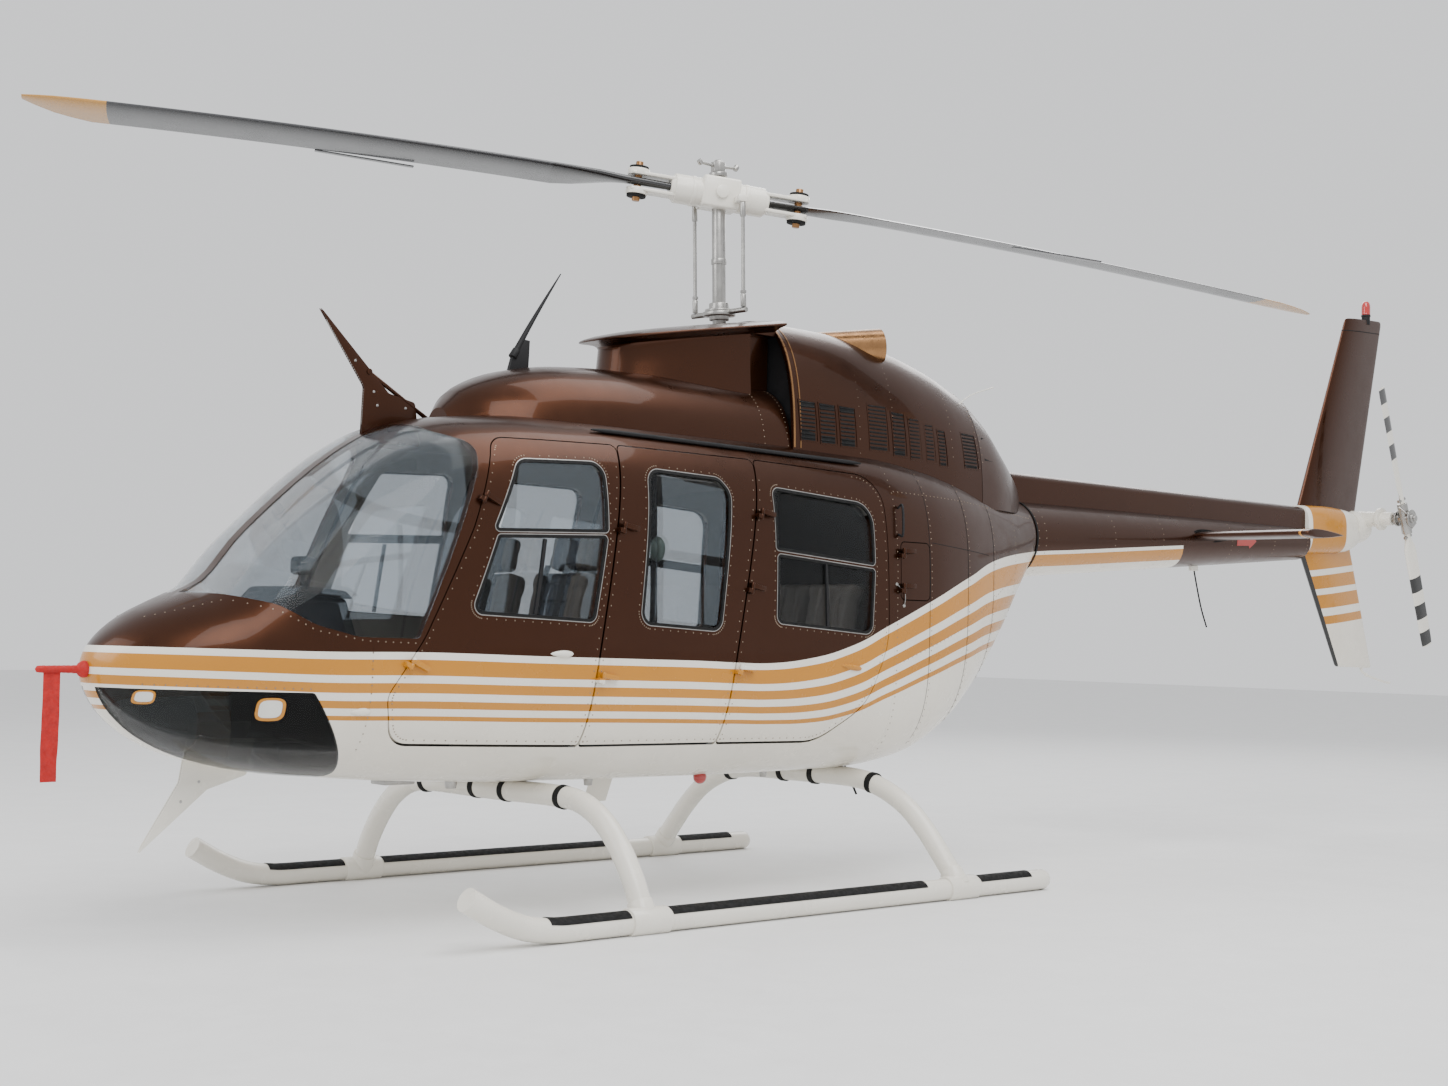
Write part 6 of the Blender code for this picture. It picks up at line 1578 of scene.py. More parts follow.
# Bronze lip round the mouth of the engine cowl, dark rail along the roof edge
lips = []
for x0, x1, lift in ((-0.084, -0.096, 0.002), (-0.130, -0.137, 0.0018)):
    rings = [[cowlPoint(cowls["engine"], x, 0.03 + 0.94 * k / 60, d)
            for x, d in ((x0, -0.003), (x0, lift), (x1, lift), (x1, -0.003))] for k in range(61)]
    lips.append(loft("lip", rings))
finish(joinPieces("intakeLip", lips), bronze, "airframe")
for side in (1, -1):
    path = []
    for k in range(40):
        x = 1.235 - 1.735 * k / 39
        path.append(skinPoint(x, 2.195 - 0.036 * k / 39, side, 0.010))
    finish(tubePiece(f"roofRail_{sideWord[side]}", path, 0.0105, resolution=4,
            radii=[0.35, 0.8] + [1.0] * 36 + [0.8, 0.35]), blackPlastic, "airframe")
print("louvres and rails made")

# Grab handle, latch and cable behind the aft door, and a panel seam
for side in (1, -1):
    ends = [skinPoint(-0.690, 1.945, side), skinPoint(-0.690, 1.945, side, 0.030),
            skinPoint(-0.672, 1.805, side, 0.030), skinPoint(-0.672, 1.805, side)]
    finish(tubePiece(f"grabHandle_{sideWord[side]}", smoothPath(ends, 6), 0.0065), blackPlastic, "airframe")
cable = [skinPoint(x, z, 1, lift) for x, z, lift in ((-0.655, 1.548, 0.004), (-0.672, 1.530, 0.008),
        (-0.705, 1.515, 0.007), (-0.712, 1.480, 0.006), (-0.708, 1.442, 0.004))]
latch = [tubePiece("latch", smoothPath(cable, 5), 0.0022, resolution=2)]
latch.append(domes("knob", [(skinPoint(-0.652, 1.549, 1), Vector((0, 1, 0))),
        (skinPoint(-0.709, 1.440, 1), Vector((0, 1, 0)))], 0.010, 0.7))
finish(joinPieces("latchCable", latch), steel, "airframe")
finish(strapOn("panelSeam", [(-0.945, 1.775), (-1.55, 1.735)], 1, 0.003, -0.002, 0.0006), rubber,
        "airframe")

# Landing lights set in the chin windows, each in a gold frame, and a tilted bowl behind the glass
def landingLight(name, x, z, size):
    rings = []
    for k in range(29):
        a = 2 * math.pi * (k % 28) / 28
        across, up = roundPower(math.cos(a), 0.6) * size, roundPower(math.sin(a), 0.6) * size * 0.8
        rings.append([skinPoint(x + across * s, z + up * s, 1, d)
                for s, d in ((1.0, 0.0006), (1.0, 0.006), (0.80, 0.006), (0.80, 0.0006))])
    frame = loft(name + "Frame", rings[:-1], closed=True)
    bm = bmesh.new()
    center = bm.verts.new(skinPoint(x, z, 1, 0.004))
    edge = [bm.verts.new(ring[3] + (ring[2] - ring[3]) * 0.2) for ring in rings[:-1]]
    under = [bm.verts.new(ring[3] + (ring[2] - ring[3]) * 0.02) for ring in rings[:-1]]
    for i in range(len(edge)):
        j = (i + 1) % len(edge)
        bm.faces.new((center, edge[i], edge[j]))
        bm.faces.new((edge[i], under[i], under[j], edge[j]))
    bm.faces.new(under)
    finish(frame, goldPaint, "airframe")
    finish(fromBmesh(name + "Lens", bm), lampLens, "airframe")


lampLens = grainy("lamp lens", (0.72, 0.72, 0.68), 0.08, 0.9, 60.0, 0.0010, 0.25, 1.0)
landingLight("landingLight", 2.829, 0.940, 0.058)
landingLight("taxiLight", 3.270, 0.985, 0.034)

# Skid grips, collars where the legs leave the belly, small belly fittings
grip = {"outer": 0.0548, "inner": 0.0500, "first": 30, "sweep": 120, "axis": 0.052}
grips = []
for side in (1, -1):
    y = side * gear["spacing"]
    for rear, front in ((1.500, 1.925), (-0.35, 1.270), (-1.135, -0.745)):
        rings = []
        for k in range(9):
            x = rear + (front - rear) * k / 8
            z0 = grip["axis"] + max(0.0, x - 1.86) * 0.10
            arc = [math.radians(grip["first"] + grip["sweep"] * i / 12) for i in range(13)]
            turns = [(grip["outer"], a) for a in arc] + [(grip["inner"], a) for a in reversed(arc)]
            rings.append([Vector((x, y + math.cos(a) * r, z0 + math.sin(a) * r)) for r, a in turns])
        grips.append(loft("grip", rings))
finish(joinPieces("skidGrips", grips), rubber, "airframe", angle=60)
collars = []
for word, shares in (("front", (0.43, 0.50)), ("rear", (0.40, 0.47))):
    x, points = gear[word]
    for side in (1, -1):
        for y in (0.10, 0.52):
            z = 0.537 if word == "front" else 0.5465 - 0.03 * max(0.0, y - 0.40) / 0.2
            collars.append(rodPiece("collar", (x, side * y, z),
                    (x, side * (y + 0.035), z - (0.004 if y > 0.4 else 0.0)), 0.0545, sides=40,
                    bevel=0.002))
finish(joinPieces("legCollars", collars), rubber, "airframe")


def bellyAt(x, y=0.0):
    row = rowAt(x)
    return row[2] - (row[2] - row[1]) * (1 - min(0.99, abs(y) / row[4]) ** row[6]) ** (1 / row[6])


fittings = []
for x, y, size in ((1.75, 0.18, 0.030), (1.75, -0.18, 0.030), (0.98, 0.20, 0.024), (0.98, -0.20, 0.024),
        (-0.20, 0.16, 0.022)):
    z = bellyAt(x, y)
    fittings.append(rodPiece("fitting", (x, y, z + 0.01), (x, y, z - 0.030), size, size * 0.8, 24, 0.003))
fittings.append(boxPiece("step", (1.86, -0.06, bellyAt(1.9) - 0.018), (2.02, 0.06, bellyAt(1.9) + 0.01),
        0.006))
finish(joinPieces("bellyFittings", fittings), steel, "airframe")
fin = loft("bellyFin", [[Vector((x + lean * 0.05, y * t, bellyAt(0.75) + 0.01 - lean * 0.135))
        for x, y in ((0.80, 0), (0.74, 0.009), (0.66, 0.004), (0.66, -0.004), (0.74, -0.009))]
                        for lean, t in ((0.0, 1.0), (1.0, 0.6))])
finish(fin, creamPaint, "airframe")
bm = bmesh.new()
bmesh.ops.create_uvsphere(bm, u_segments=28, v_segments=16, radius=0.034,
        matrix=Matrix.Translation((0.36, 0.30, bellyAt(0.36, 0.30) - 0.012)))
redLens = grainy("red lens", (0.45, 0.012, 0.010), 0.10, 0.0, 40.0, 0.0003, 0.3, 1.0)
finish(fromBmesh("bellyLamp", bm), redLens, "airframe")
finish(tubePiece("bellyAntenna", smoothPath([(-0.95, 0.0, bellyAt(-0.95) + 0.01),
        (-0.97, 0.0, bellyAt(-0.95) - 0.05), (-1.06, 0.0, bellyAt(-0.95) - 0.20)], 5), 0.006),
        rubber, "airframe")
finish(tubePiece("boomAntenna", smoothPath([(-4.20, 0.0, 1.805), (-4.215, 0.0, 1.74), (-4.29, 0.0, 1.52),
        (-4.36, 0.0, 1.38)], 5), 0.005), rubber, "airframe")
finish(boxPiece("antennaFoot", (-4.245, -0.012, 1.745), (-4.165, 0.012, 1.825), 0.006), creamPaint,
        "airframe")
finish(tubePiece("cowlWhip", smoothPath([(-1.511, 0.29, 2.57), (-1.62, 0.30, 2.64), (-1.80, 0.31, 2.70)],
        5), 0.0035), creamPaint, "airframe")

# Blank sign on the boom, and the dark boots at the stabiliser's roots with gold-edged tips
sign = []
for side in (1, -1):
    rings = []
    for k in range(17):
        x = -4.475 - 0.235 * k / 16
        height, radius = boomAt(x)
        
        half = 0.030 if k < 11 else 0.052 * (16 - k) / 5.5 + 0.0008
        row = []
        for lift, signs in ((0.0006, 1), (0.0018, -1)):
            row += [Vector((x, side * math.cos(a) * (radius + lift),
                    height + math.sin(a) * (radius + lift)))
                    for a in [signs * half / radius * j / 4 for j in range(-4, 5)]]
        rings.append(row)
    sign.append(loft("sign", rings))
finish(joinPieces("blankSign", sign), grainy("red paint", (0.42, 0.02, 0.012), 0.35, coat=0.4, scale=40.0),
        "airframe")
boots = []
for side in (1, -1):
    boots.append(loft("boot", [[Vector((-3.955 - along, side * y, 1.965 + up))
            for along, up in airfoil(0.460, 0.085)] for y in (0.150, 0.163)]))
finish(joinPieces("stabiliserBoots", boots), rubber, "airframe")
tipBands = []
for side in (1, -1):
    rings = [[Vector((-3.9688 - along, side * y, 1.965 + up)) for along, up in airfoil(0.4324, 0.0574)]
            for y in (0.925, 0.940)]
    tipBands.append(loft("tipBand", rings))
finish(joinPieces("stabiliserBands", tipBands), goldPaint, "airframe")
print("fittings made")


# Cabin: pads, seats, instruments and controls
def applied(piece, kind, **values):
    change = piece.modifiers.new("shape", kind)
    for word, value in values.items():
        setattr(change, word, value)
    select(piece)
    bpy.ops.object.modifier_apply(modifier=change.name)
    return piece


def stuffed(name, low, high, grid, most):
    # a closed pad that swells from a slightly smaller rounded block
    pad = boxPiece(name, low, high, bevel=0.026, segments=4)
    applied(pad, "REMESH", mode="VOXEL", voxel_size=grid)
    cloth = pad.modifiers.new("cloth", "CLOTH")
    cloth.settings.use_pressure = True
    cloth.settings.uniform_pressure_force = 4.0
    cloth.settings.effector_weights.gravity = 0.0
    for moment in range(1, 21):
        scene.frame_set(moment)
    swollen = pad.evaluated_get(bpy.context.evaluated_depsgraph_get())
    moves = [after.co - before.co for before, after in zip(pad.data.vertices, swollen.data.vertices)]
    pad.modifiers.remove(cloth)
    for vertex, move in zip(pad.data.vertices, moves):
        vertex.co += move * min(1.0, most / max(move.length, 1e-6))
    scene.frame_set(1)
    return applied(pad, "SUBSURF", levels=1, render_levels=1)


def hollowAt(distance, width):
    return math.exp(-((distance / width) ** 2))


def channelled(pad, up, lines, half, depth=0.009, width=0.008):
    # sewn channels across the middle of one face, and a seam down each side of it
    along = 2 - up
    for vertex in pad.data.vertices:
        side = abs(vertex.co.y - seat["middle"])
        if vertex.normal[up] > 0.35:
            press = hollowAt(side - half, width)
            if side < half:
                press = max([press] + [hollowAt(vertex.co[along] - line, width) for line in lines])
            vertex.co[up] -= depth * press


def tufted(pad, up, middle, step=0.068, depth=0.012):
    # upright pleats drawn in at even steps
    for vertex in pad.data.vertices:
        if vertex.normal[up] > 0.35:
            across = (vertex.co.y - middle) / step
            vertex.co[up] -= depth * hollowAt(abs(across % 1.0 - 0.5) * step, 0.009)


def middlePanel(pad, material, up, middle, half):
    pad.data.materials.append(material)
    for face in pad.data.polygons:
        if abs(face.center.y - shift.y - middle) < half and face.normal[up] > 0.35:
            face.material_index = 1


seat = {
    "front": 1.360, "middle": 0.290, "lean": -13.0, "half": 0.118, "grid": 0.010,
    "cushion": ((-0.046, 0.994), (0.456, 1.096), 0.205), "back": ((-0.096, 1.014), (0.016, 1.586), 0.205),
    "rest": ((-0.084, 1.582), (0.008, 1.748), 0.118), "base": ((-0.020, 0.7304), (0.400, 0.990), 0.190),
}
bench = {"front": -0.370, "place": 0.340, "grid": 0.012}


def padOf(name, shape, front, middle, half, grid):
    (x0, z0), (x1, z1), wide = shape
    return stuffed(name, (front + x0, middle - half, z0), (front + x1, middle + half, z1), grid, 0.024)


def leant(pad, front, middle):
    lean = Matrix.Rotation(math.radians(seat["lean"]), 4, "Y")
    return turned(pad, about(Vector((front, middle, 1.0)), lean))


pads = {}
for word, up, lines in (("cushion", 2, (1.44, 1.53, 1.62, 1.71)),
        ("back", 0, (1.14, 1.23, 1.32, 1.41, 1.50)), ("rest", 0, ())):
    pads[word] = padOf(f"seat_{word}", seat[word], seat["front"], seat["middle"], seat[word][2],
            seat["grid"])
    channelled(pads[word], up, lines, seat["half"] if word != "rest" else 0.085)
for word in ("back", "rest"):
    leant(pads[word], seat["front"], seat["middle"])
for side in (1, -1):
    node = f"front_seat_{sideWord[side]}"
    middle = side * seat["middle"]
    for word, up in (("cushion", 2), ("back", 0), ("rest", 0)):
        pad = copyOf(pads[word], f"seat{word.capitalize()}_{sideWord[side]}")
        pad.data.transform(Matrix.Translation((0.0, middle - seat["middle"], 0.0)))
        finish(pad, taupeLeather, "airframe", [node], 60)
        middlePanel(pad, blueLeather, up, middle, seat["half"] - 0.002 if word != "rest" else 0.083)
    low, high, half = seat["base"]
    base = boxPiece(f"seatBase_{sideWord[side]}", (seat["front"] + low[0], middle - half, low[1]),
            (seat["front"] + high[0], middle + half, high[1]), 0.018, 3)
    finish(base, taupeLeather, "airframe", [node])
    webs = []
    for across in (-0.075, 0.075):
        face = [(0.028, 1.590), (0.040, 1.520), (0.043, 1.400), (0.043, 1.260), (0.041, 1.150)]
        rings = []
        for x, z in face:
            at = seat["front"] + x + 0.0
            rings.append([Vector((at + d, middle + across + w, z))
                    for d, w in ((0.0, -0.022), (0.0, 0.022), (0.0022, 0.022), (0.0022, -0.022))])
        webs.append(leant(loft("web", rings), seat["front"], middle))
    finish(joinPieces(f"shoulderStraps_{sideWord[side]}", webs), webbing, "airframe", [node])
    disc = rodPiece(f"harnessDisc_{sideWord[side]}", (seat["front"] + 0.040, middle, 1.205),
            (seat["front"] + 0.062, middle, 1.205), 0.034, 0.028, 32, 0.004)
    finish(leant(disc, seat["front"], middle), harnessMetal, "airframe")
discard(*pads.values())
pads = {}
for word, up in (("cushion", 2), ("back", 0)):
    pads[word] = padOf(f"bench_{word}", seat[word], bench["front"], 0.0, bench["place"] / 2 - 0.006,
            bench["grid"])
    tufted(pads[word], up, 0.0)
leant(pads["back"], bench["front"], 0.0)
for k, at in enumerate((-bench["place"], 0.0, bench["place"])):
    for word in ("cushion", "back"):
        pad = copyOf(pads[word], f"bench{word.capitalize()}_{k + 1}")
        pad.data.transform(Matrix.Translation((0.0, at, 0.0)))
        finish(pad, taupeLeather, "airframe", ["rear_bench"], 60)
discard(*pads.values())
low, high, half = seat["base"]
base = boxPiece("benchBase", (bench["front"] + low[0], -0.41, low[1]),
        (bench["front"] + high[0], 0.41, high[1]), 0.018, 3)
finish(base, taupeLeather, "airframe", ["rear_bench"])
cup = {"at": (0.850, 0.520, 1.668), "size": (0.030, 0.042, 0.060)}
bm = bmesh.new()
bmesh.ops.create_uvsphere(bm, u_segments=32, v_segments=20, radius=1.0,
        matrix=Matrix.Translation(cup["at"]) @ Matrix.Diagonal((*cup["size"], 1.0)))
finish(fromBmesh("strapReel", bm), harnessMetal, "airframe")
strapLine = smoothPath([(0.862, 0.480, 2.190), (0.856, 0.490, 1.900), (0.850, 0.490, 1.668),
        (0.844, 0.490, 1.400), (0.840, 0.470, 1.180)], 8)
strapRings = [[point + Vector(d) for d in ((-0.020, 0.0, 0.0), (0.020, 0.0, 0.0), (0.020, 0.0022, 0.0),
        (-0.020, 0.0022, 0.0))] for point in strapLine]
finish(loft("hangingStrap", strapRings), webbing, "airframe")
print("seats made")

# Instrument hood, its dials and radios, the compass and the stick
hood = {
    "outline": (
        (2.200, 0.7304, 0.0), (2.640, 0.7304, 0.0), (2.695, 1.280, 0.10), (2.560, 1.415, 0.05),
        (2.330, 1.397, 0.02), (2.250, 1.180, 0.03),
    ),
    "visor": (
        (2.300, 1.398, 0.008), (2.345, 1.432, 0.015), (2.560, 1.450, 0.05), (2.715, 1.300, 0.05),
        (2.690, 1.290, 0.01), (2.555, 1.412, 0.05), (2.330, 1.398, 0.01),
    ),
    "half": 0.200, "dialRadius": 0.038, "dialRows": (0.27, 0.72),
    "dialPlaces": (-0.144, -0.048, 0.048, 0.144),
}
piece = prism("instrumentHood", rounded(hood["outline"]), -hood["half"], hood["half"])
applied(piece, "BEVEL", width=0.012, segments=3, limit_method="ANGLE", angle_limit=math.radians(50))
finish(piece, hoodLeather, "airframe", ["instrument_hood"])
visor = prism("hoodVisor", rounded(hood["visor"]), -hood["half"] - 0.016, hood["half"] + 0.016)
applied(visor, "BEVEL", width=0.006, segments=3, limit_method="ANGLE", angle_limit=math.radians(50))
finish(visor, hoodLeather, "airframe", ["instrument_hood"])
top, foot = Vector((2.330, 0.0, 1.397)), Vector((2.250, 0.0, 1.180))
out = Vector((foot.z - top.z, 0.0, top.x - foot.x)).normalized()
rims, glasses, marks = [], [], []
for share in hood["dialRows"]:
    for across in hood["dialPlaces"]:
        at = top.lerp(foot, share) + Vector((0.0, across, 0.0))
        rims.append(rodPiece("rim", at - out * 0.006, at + out * 0.007, hood["dialRadius"],
                hood["dialRadius"] - 0.002, 32, 0.0015))
        glasses.append(rodPiece("glass", at, at + out * 0.0076, hood["dialRadius"] - 0.006,
                hood["dialRadius"] - 0.007, 32, 0.0005))
        for k in range(12):
            turn = Matrix.Rotation(2 * math.pi * k / 12, 4, out)
            reach = turn @ Vector((0.0, 1.0, 0.0))
            marks.append(rodPiece("mark", at + out * 0.0078 + reach * 0.021,
                    at + out * 0.0078 + reach * 0.028, 0.0008, sides=6))
        needle = Matrix.Rotation(1.1 + across * 9 + share, 4, out) @ Vector((0.0, 0.020, 0.0))
        marks.append(rodPiece("needle", at + out * 0.0082, at + out * 0.0082 + needle, 0.0011, 0.0004, 6))
finish(joinPieces("dialRims", rims), blackPlastic, "airframe")
finish(joinPieces("dialFaces", glasses), dialGlass, "airframe")
finish(joinPieces("dialMarks", marks), creamPaint, "airframe")
units, knobs = [], []
upper, lower = Vector((2.250, 0.0, 1.170)), Vector((2.203, 0.0, 0.760))
out = Vector((lower.z - upper.z, 0.0, upper.x - lower.x)).normalized()
for k in range(5):
    at = upper.lerp(lower, (k + 0.6) / 5.4)
    units.append(rodPiece("unit", at - out * 0.010, at + out * 0.007, 0.105, 0.100, 4, 0.002))
    turned(units[-1], about(at, Matrix.Rotation(math.radians(45), 4, out)))
    turned(units[-1], about(at, Matrix.Diagonal((1.0, 1.0, 0.44, 1.0))))
    for across in (-0.062, 0.062):
        spot = at + Vector((0, across, 0))
        knobs.append(rodPiece("knob", spot, spot + out * 0.022, 0.010, 0.008, 16, 0.0015))
finish(joinPieces("radioUnits", units), blackPlastic, "airframe")
finish(joinPieces("radioKnobs", knobs), rubber, "airframe")
compass = [
    boxPiece("compass", (2.385, -0.045, 1.500), (2.475, 0.045, 1.580), 0.020, 4),
    rodPiece("stalk", (2.43, 0.0, 1.430), (2.43, 0.0, 1.510), 0.012, 0.009, 16, 0.002),
    rodPiece("lens", (2.390, 0.0, 1.540), (2.376, 0.0, 1.540), 0.033, 0.030, 32, 0.003),
]
finish(joinPieces("compassCase", compass), blackPlastic, "airframe")

stick = {
    "foot": (1.880, 0.290),
    "grip": ((1.909, 1.150), (1.906, 1.190), (1.903, 1.230), (1.900, 1.270), (1.899, 1.298)),
}
shaftPoints = smoothPath([(1.880, 0.290, 0.745), (1.884, 0.290, 0.830), (1.925, 0.290, 0.980),
        (1.915, 0.290, 1.100), (1.909, 0.290, 1.165)], 6)
controls = [tubePiece("controlStick", shaftPoints, 0.011)]
gripPath = smoothPath([(x, 0.290, z) for x, z in stick["grip"]], 4)
swell = [0.55 + 0.45 * math.sin(math.pi * min(1.0, 0.15 + k / (len(gripPath) - 1) * 0.9))
        + 0.10 * math.sin(k * 1.9) for k in range(len(gripPath))]
controls.append(tubePiece("grip", gripPath, 0.021, radii=swell))
controls.append(boxPiece("gripHead", (1.876, 0.270, 1.276), (1.924, 0.310, 1.306), 0.009, 3))
controls.append(rodPiece("trigger", (1.925, 0.290, 1.262), (1.934, 0.290, 1.230), 0.006, 0.004, 12, 0.001))
bellows = []
for k in range(25):
    share = k / 24
    radius = 0.052 - 0.036 * share + 0.004 * math.sin(share * 8 * math.pi)
    bellows.append([Vector((1.880 + 0.004 * share + radius * math.cos(a), 0.290 + radius * math.sin(a),
            0.7304 + 0.090 * share))
                    for a in (2 * math.pi * i / 32 for i in range(32))])
controls.append(loft("bellows", bellows))
finish(joinPieces("controlStick", controls), rubber, "airframe", ["control_stick"])
for name, material in (("cabin_floor", carpet), ("engine_block", castMetal)):
    node = frame["nodes"][name]
    node.data.materials.clear()
    node.data.materials.append(material)
print("cabin made")


# Wire cutters, whip, beacon, tail guard and the covered pitot tube
cutter = {
    "upper": (
        (2.160, 2.102, 0), (1.850, 2.102, 0), (1.880, 2.300, 0.02), (2.020, 2.330, 0.03), (2.368, 2.663, 0),
        (2.383, 2.673, 0), (2.150, 2.350, 0.04),
    ),
    "lower": (
        (2.958, 0.798, 0), (2.642, 0.798, 0), (2.680, 0.642, 0.02), (2.860, 0.587, 0.03), (3.158, 0.338, 0),
        (3.145, 0.368, 0), (2.988, 0.620, 0.04),
    ),
}


def bladed(name, key, material, node, edge):
    # two side plates and a hardened strip between them along the cutting edge; the bolts through both are set
    # after
    plates = []
    for near, far in ((-0.0088, -0.0030), (0.0030, 0.0088)):
        plate = prism("plate", rounded(cutter[key]), near, far)
        plates.append(applied(plate, "BEVEL", width=0.0012, segments=2, limit_method="ANGLE",
                angle_limit=math.radians(40)))
    finish(joinPieces(name, plates), material, "airframe", [node])
    teeth = []
    for (x0, z0), (x1, z1) in zip(edge, edge[1:]):
        count = max(2, round(math.hypot(x1 - x0, z1 - z0) / 0.012))
        for k in range(count):
            a, b = k / count, (k + 1) / count
            corners = [Vector((x0 + (x1 - x0) * t, z0 + (z1 - z0) * t)) for t in (a, (a + b) / 2, b)]
            inward = Vector((z1 - z0, x0 - x1)).normalized() * (1 if key == "upper" else -1)
            teeth.append(prism("tooth", [corners[0] + inward * 0.014, corners[0],
                    corners[1] + inward * 0.004, corners[2], corners[2] + inward * 0.014], -0.0029, 0.0029))
    finish(joinPieces(f"{name}Edge", teeth), steel, "airframe", [node])


bladed("upperCutter", "upper", brownPaint, "upper_wire_cutter",
        ((2.352, 2.625), (2.150, 2.350), (2.158, 2.180)))
bladed("lowerCutter", "lower", creamPaint, "lower_wire_cutter",
        ((3.120, 0.405), (2.988, 0.620), (2.962, 0.740)))
brace = [rodPiece("cutterBrace", (2.130, 0.0, 2.420), (1.795, 0.0, 2.225), 0.010, sides=20, bevel=0.002)]
for at in ((2.126, 0.0, 2.418), (1.800, 0.0, 2.228)):
    brace.append(rodPiece("eye", (at[0], -0.013, at[2]), (at[0], 0.013, at[2]), 0.014, sides=20,
            bevel=0.002))
finish(joinPieces("cutterBrace", brace), brownPaint, "airframe", ["upper_wire_cutter"])
finish(domes("cutterBolts", [(Vector((x, sign * 0.0088, z)), Vector((0, sign, 0)))
                             for x, z in ((1.93, 2.27), (2.08, 2.27), (2.10, 2.33), (2.20, 2.46),
                             (2.75, 0.67), (2.90, 0.62), (2.98, 0.54)) for sign in (1, -1)], 0.007, 0.5),
                             steel, "airframe")

whipPath = smoothPath([(1.330, 0.0, 2.575), (1.240, 0.0, 2.725), (1.150, 0.0, 2.865), (1.060, 0.0, 3.000)],
        8)
whip = [
    tubePiece(
        "whipAntenna", whipPath, 0.0155,
        radii=[1.0 - 0.82 * k / (len(whipPath) - 1) for k in range(len(whipPath))],
    ),
]
whip.append(rodPiece("ferrule", (1.336, 0.0, 2.566), (1.312, 0.0, 2.606), 0.021, 0.018, 24, 0.003))
whipFoot = prism("whipFoot", [Vector(p) for p in ((1.390, 2.402), (1.250, 2.402), (1.240, 2.655),
        (1.275, 2.658), (1.345, 2.560))], -0.0098, 0.0098)
whip.append(applied(whipFoot, "BEVEL", width=0.003, segments=3))
finish(joinPieces("whipAntenna", whip), blackPlastic, "airframe", ["whip_antenna"])


def turnedPiece(name, middle, profile, count=40):
    # a round body about an upright line
    return loft(name, [[Vector((middle[0] + radius * math.cos(2 * math.pi * i / count),
            middle[1] + radius * math.sin(2 * math.pi * i / count), middle[2] + rise))
                        for i in range(count)] for radius, rise in profile])


beaconAt = (-6.330, 0.0, 3.645)
finish(turnedPiece("beaconFoot", beaconAt, ((0.030, -0.030), (0.030, 0.024), (0.0338, 0.030),
        (0.0338, 0.038), (0.031, 0.042))), blackPlastic, "airframe", ["beacon"])
lensShape = [(0.029, 0.040), (0.0318, 0.044)]
lensShape += [(0.0318 - 0.0012 * (k % 2), 0.048 + 0.006 * k) for k in range(10)]
lensShape += [(0.0305, 0.111), (0.0255, 0.128), (0.0165, 0.1385), (0.0060, 0.1418)]
finish(turnedPiece("beaconLens", beaconAt, lensShape), redLens, "airframe", ["beacon"])

guardPath = smoothPath([(-6.300, 0, 1.116), (-6.302, 0, 1.095), (-6.340, 0, 1.075), (-6.420, 0, 1.052),
        (-6.640, 0, 1.011), (-6.705, 0, 1.010)], 8)
guard = [tubePiece("tailGuard", guardPath, 0.0088, radii=[1.0] * (len(guardPath) - 2) + [0.8, 0.4])]
for k in (1, 20):
    at, along = guardPath[k], (guardPath[k + 1] - guardPath[k]).normalized()
    guard.append(rodPiece("collar", at - along * 0.010, at + along * 0.010, 0.0125, sides=20, bevel=0.002))
finish(joinPieces("tailGuard", guard), creamPaint, "airframe", ["tail_guard"])

pitot = {
    "rings": (
        (3.350, 0.034), (3.356, 0.0358), (3.428, 0.0352), (3.436, 0.0300), (3.444, 0.0190), (3.470, 0.0163),
        (3.520, 0.0160), (3.590, 0.0158), (3.612, 0.0135), (3.619, 0.0040),
    ),
    "height": 1.088,
}
sleeve = []
for (x0, r0), (x1, r1) in zip(pitot["rings"], pitot["rings"][1:]):
    steps = max(2, round((x1 - x0) / 0.005))
    for k in range(steps):
        t = k / steps
        x, radius = x0 + (x1 - x0) * t, r0 + (r1 - r0) * t
        crease = 1.0 - 0.050 * (0.5 + 0.5 * math.sin(x * 310.0)) - 0.03 * (0.5 + 0.5 * math.sin(x * 97.0))
        ring = []
        for i in range(36):
            turn = 2 * math.pi * i / 36
            fold = crease - 0.04 * (0.5 + 0.5 * math.sin(5 * turn + x * 60.0))
            ring.append(Vector((x, radius * fold * math.cos(turn),
                    pitot["height"] + radius * fold * math.sin(turn))))
        sleeve.append(ring)
sleeve.append([Vector((3.619, 0.0036 * math.cos(2 * math.pi * i / 36),
        pitot["height"] + 0.0036 * math.sin(2 * math.pi * i / 36))) for i in range(36)])
finish(loft("pitotCover", sleeve), redCloth, "airframe", ["pitot_cover"], 50)

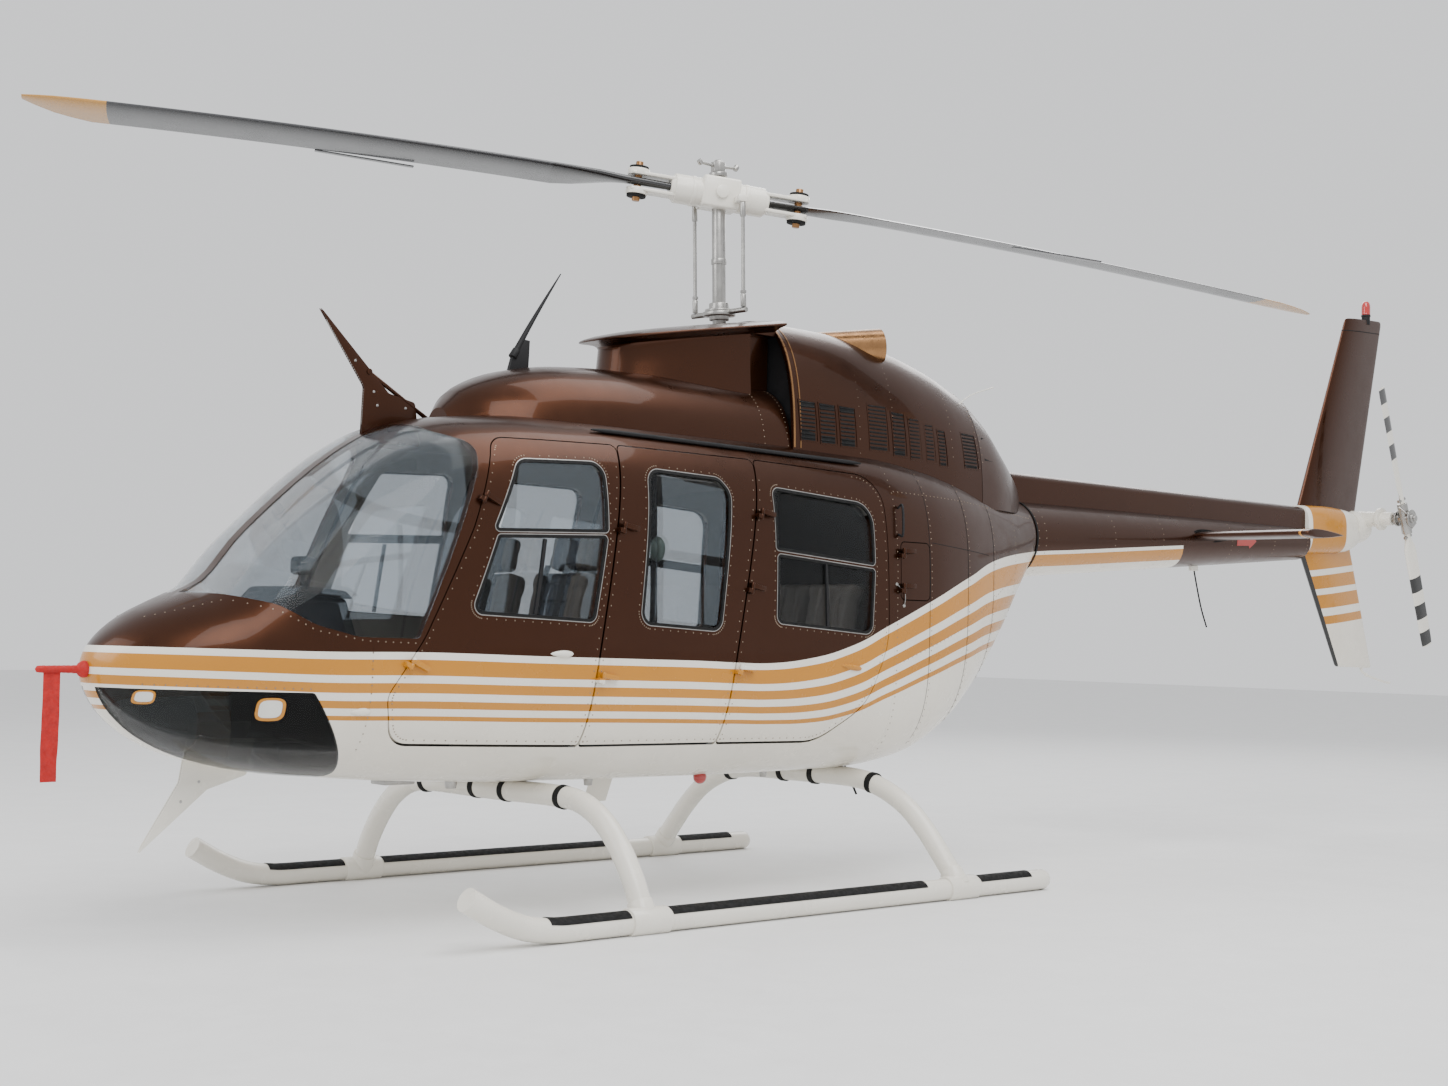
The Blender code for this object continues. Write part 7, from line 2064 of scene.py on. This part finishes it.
ribbon = {"wide": (3.515, 3.585), "top": 1.0735, "end": 0.6405, "thick": 0.0011}
rows, columns = 60, 8
bm = bmesh.new()
grid = []
for k in range(rows + 1):
    share = k / rows
    z = ribbon["top"] + (ribbon["end"] - ribbon["top"]) * share
    line = []
    for i in range(columns + 1):
        across = i / columns
        x = ribbon["wide"][0] + (ribbon["wide"][1] - ribbon["wide"][0]) * across
        sway = 0.009 * share * math.sin(5.0 * share + 1.6 * across) + 0.002 * math.sin(21 * share
                + 3 * across) * share
        line.append(bm.verts.new((x, sway, z)))
    grid.append(line)
for upperLine, lowerLine in zip(grid, grid[1:]):
    for i in range(columns):
        bm.faces.new((upperLine[i], upperLine[i + 1], lowerLine[i + 1], lowerLine[i]))
streamer = fromBmesh("pitotRibbon", bm)
applied(streamer, "SOLIDIFY", thickness=ribbon["thick"], offset=0.0)
finish(streamer, redCloth, "airframe", ["pitot_ribbon"], 60)
print("cutters, antenna, beacon, guard and pitot cover made")


# Floor and light
def makeStage():
    bpy.ops.object.select_all(action="DESELECT")
    bpy.ops.mesh.primitive_plane_add(size=80.0, location=(0, 0, 0))
    ground = bpy.context.object
    ground.name = "studioFloor"
    ground.data.materials.append(grainy("pale studio floor", (0.80, 0.80, 0.795), 0.65, scale=40.0,
            depth=0.0003, spread=0.05))
    world = bpy.data.worlds.new("pale room")
    world.use_nodes = True
    world.node_tree.nodes["Background"].inputs["Color"].default_value = (0.97, 0.98, 1.0, 1.0)
    world.node_tree.nodes["Background"].inputs["Strength"].default_value = 1.05
    scene.world = world
    for name, at, size, power in (("keyLight", (7, 9, 11), 7.0, 900.0),
            ("sideLight", (11, -3, 6), 6.0, 350.0), ("backLight", (-9, -6, 9), 7.0, 500.0),
            ("topLight", (0, 2.5, 9), 6.0, 500.0)):
        lamp = bpy.data.objects.new(name, bpy.data.lights.new(name, "AREA"))
        lamp.data.size, lamp.data.energy = size, power
        lamp.location = at
        lamp.rotation_euler = (Vector((0, 0, 1.2)) - Vector(at)).to_track_quat("-Z", "Y").to_euler()
        scene.collection.objects.link(lamp)


makeStage()
print("floor and light made")
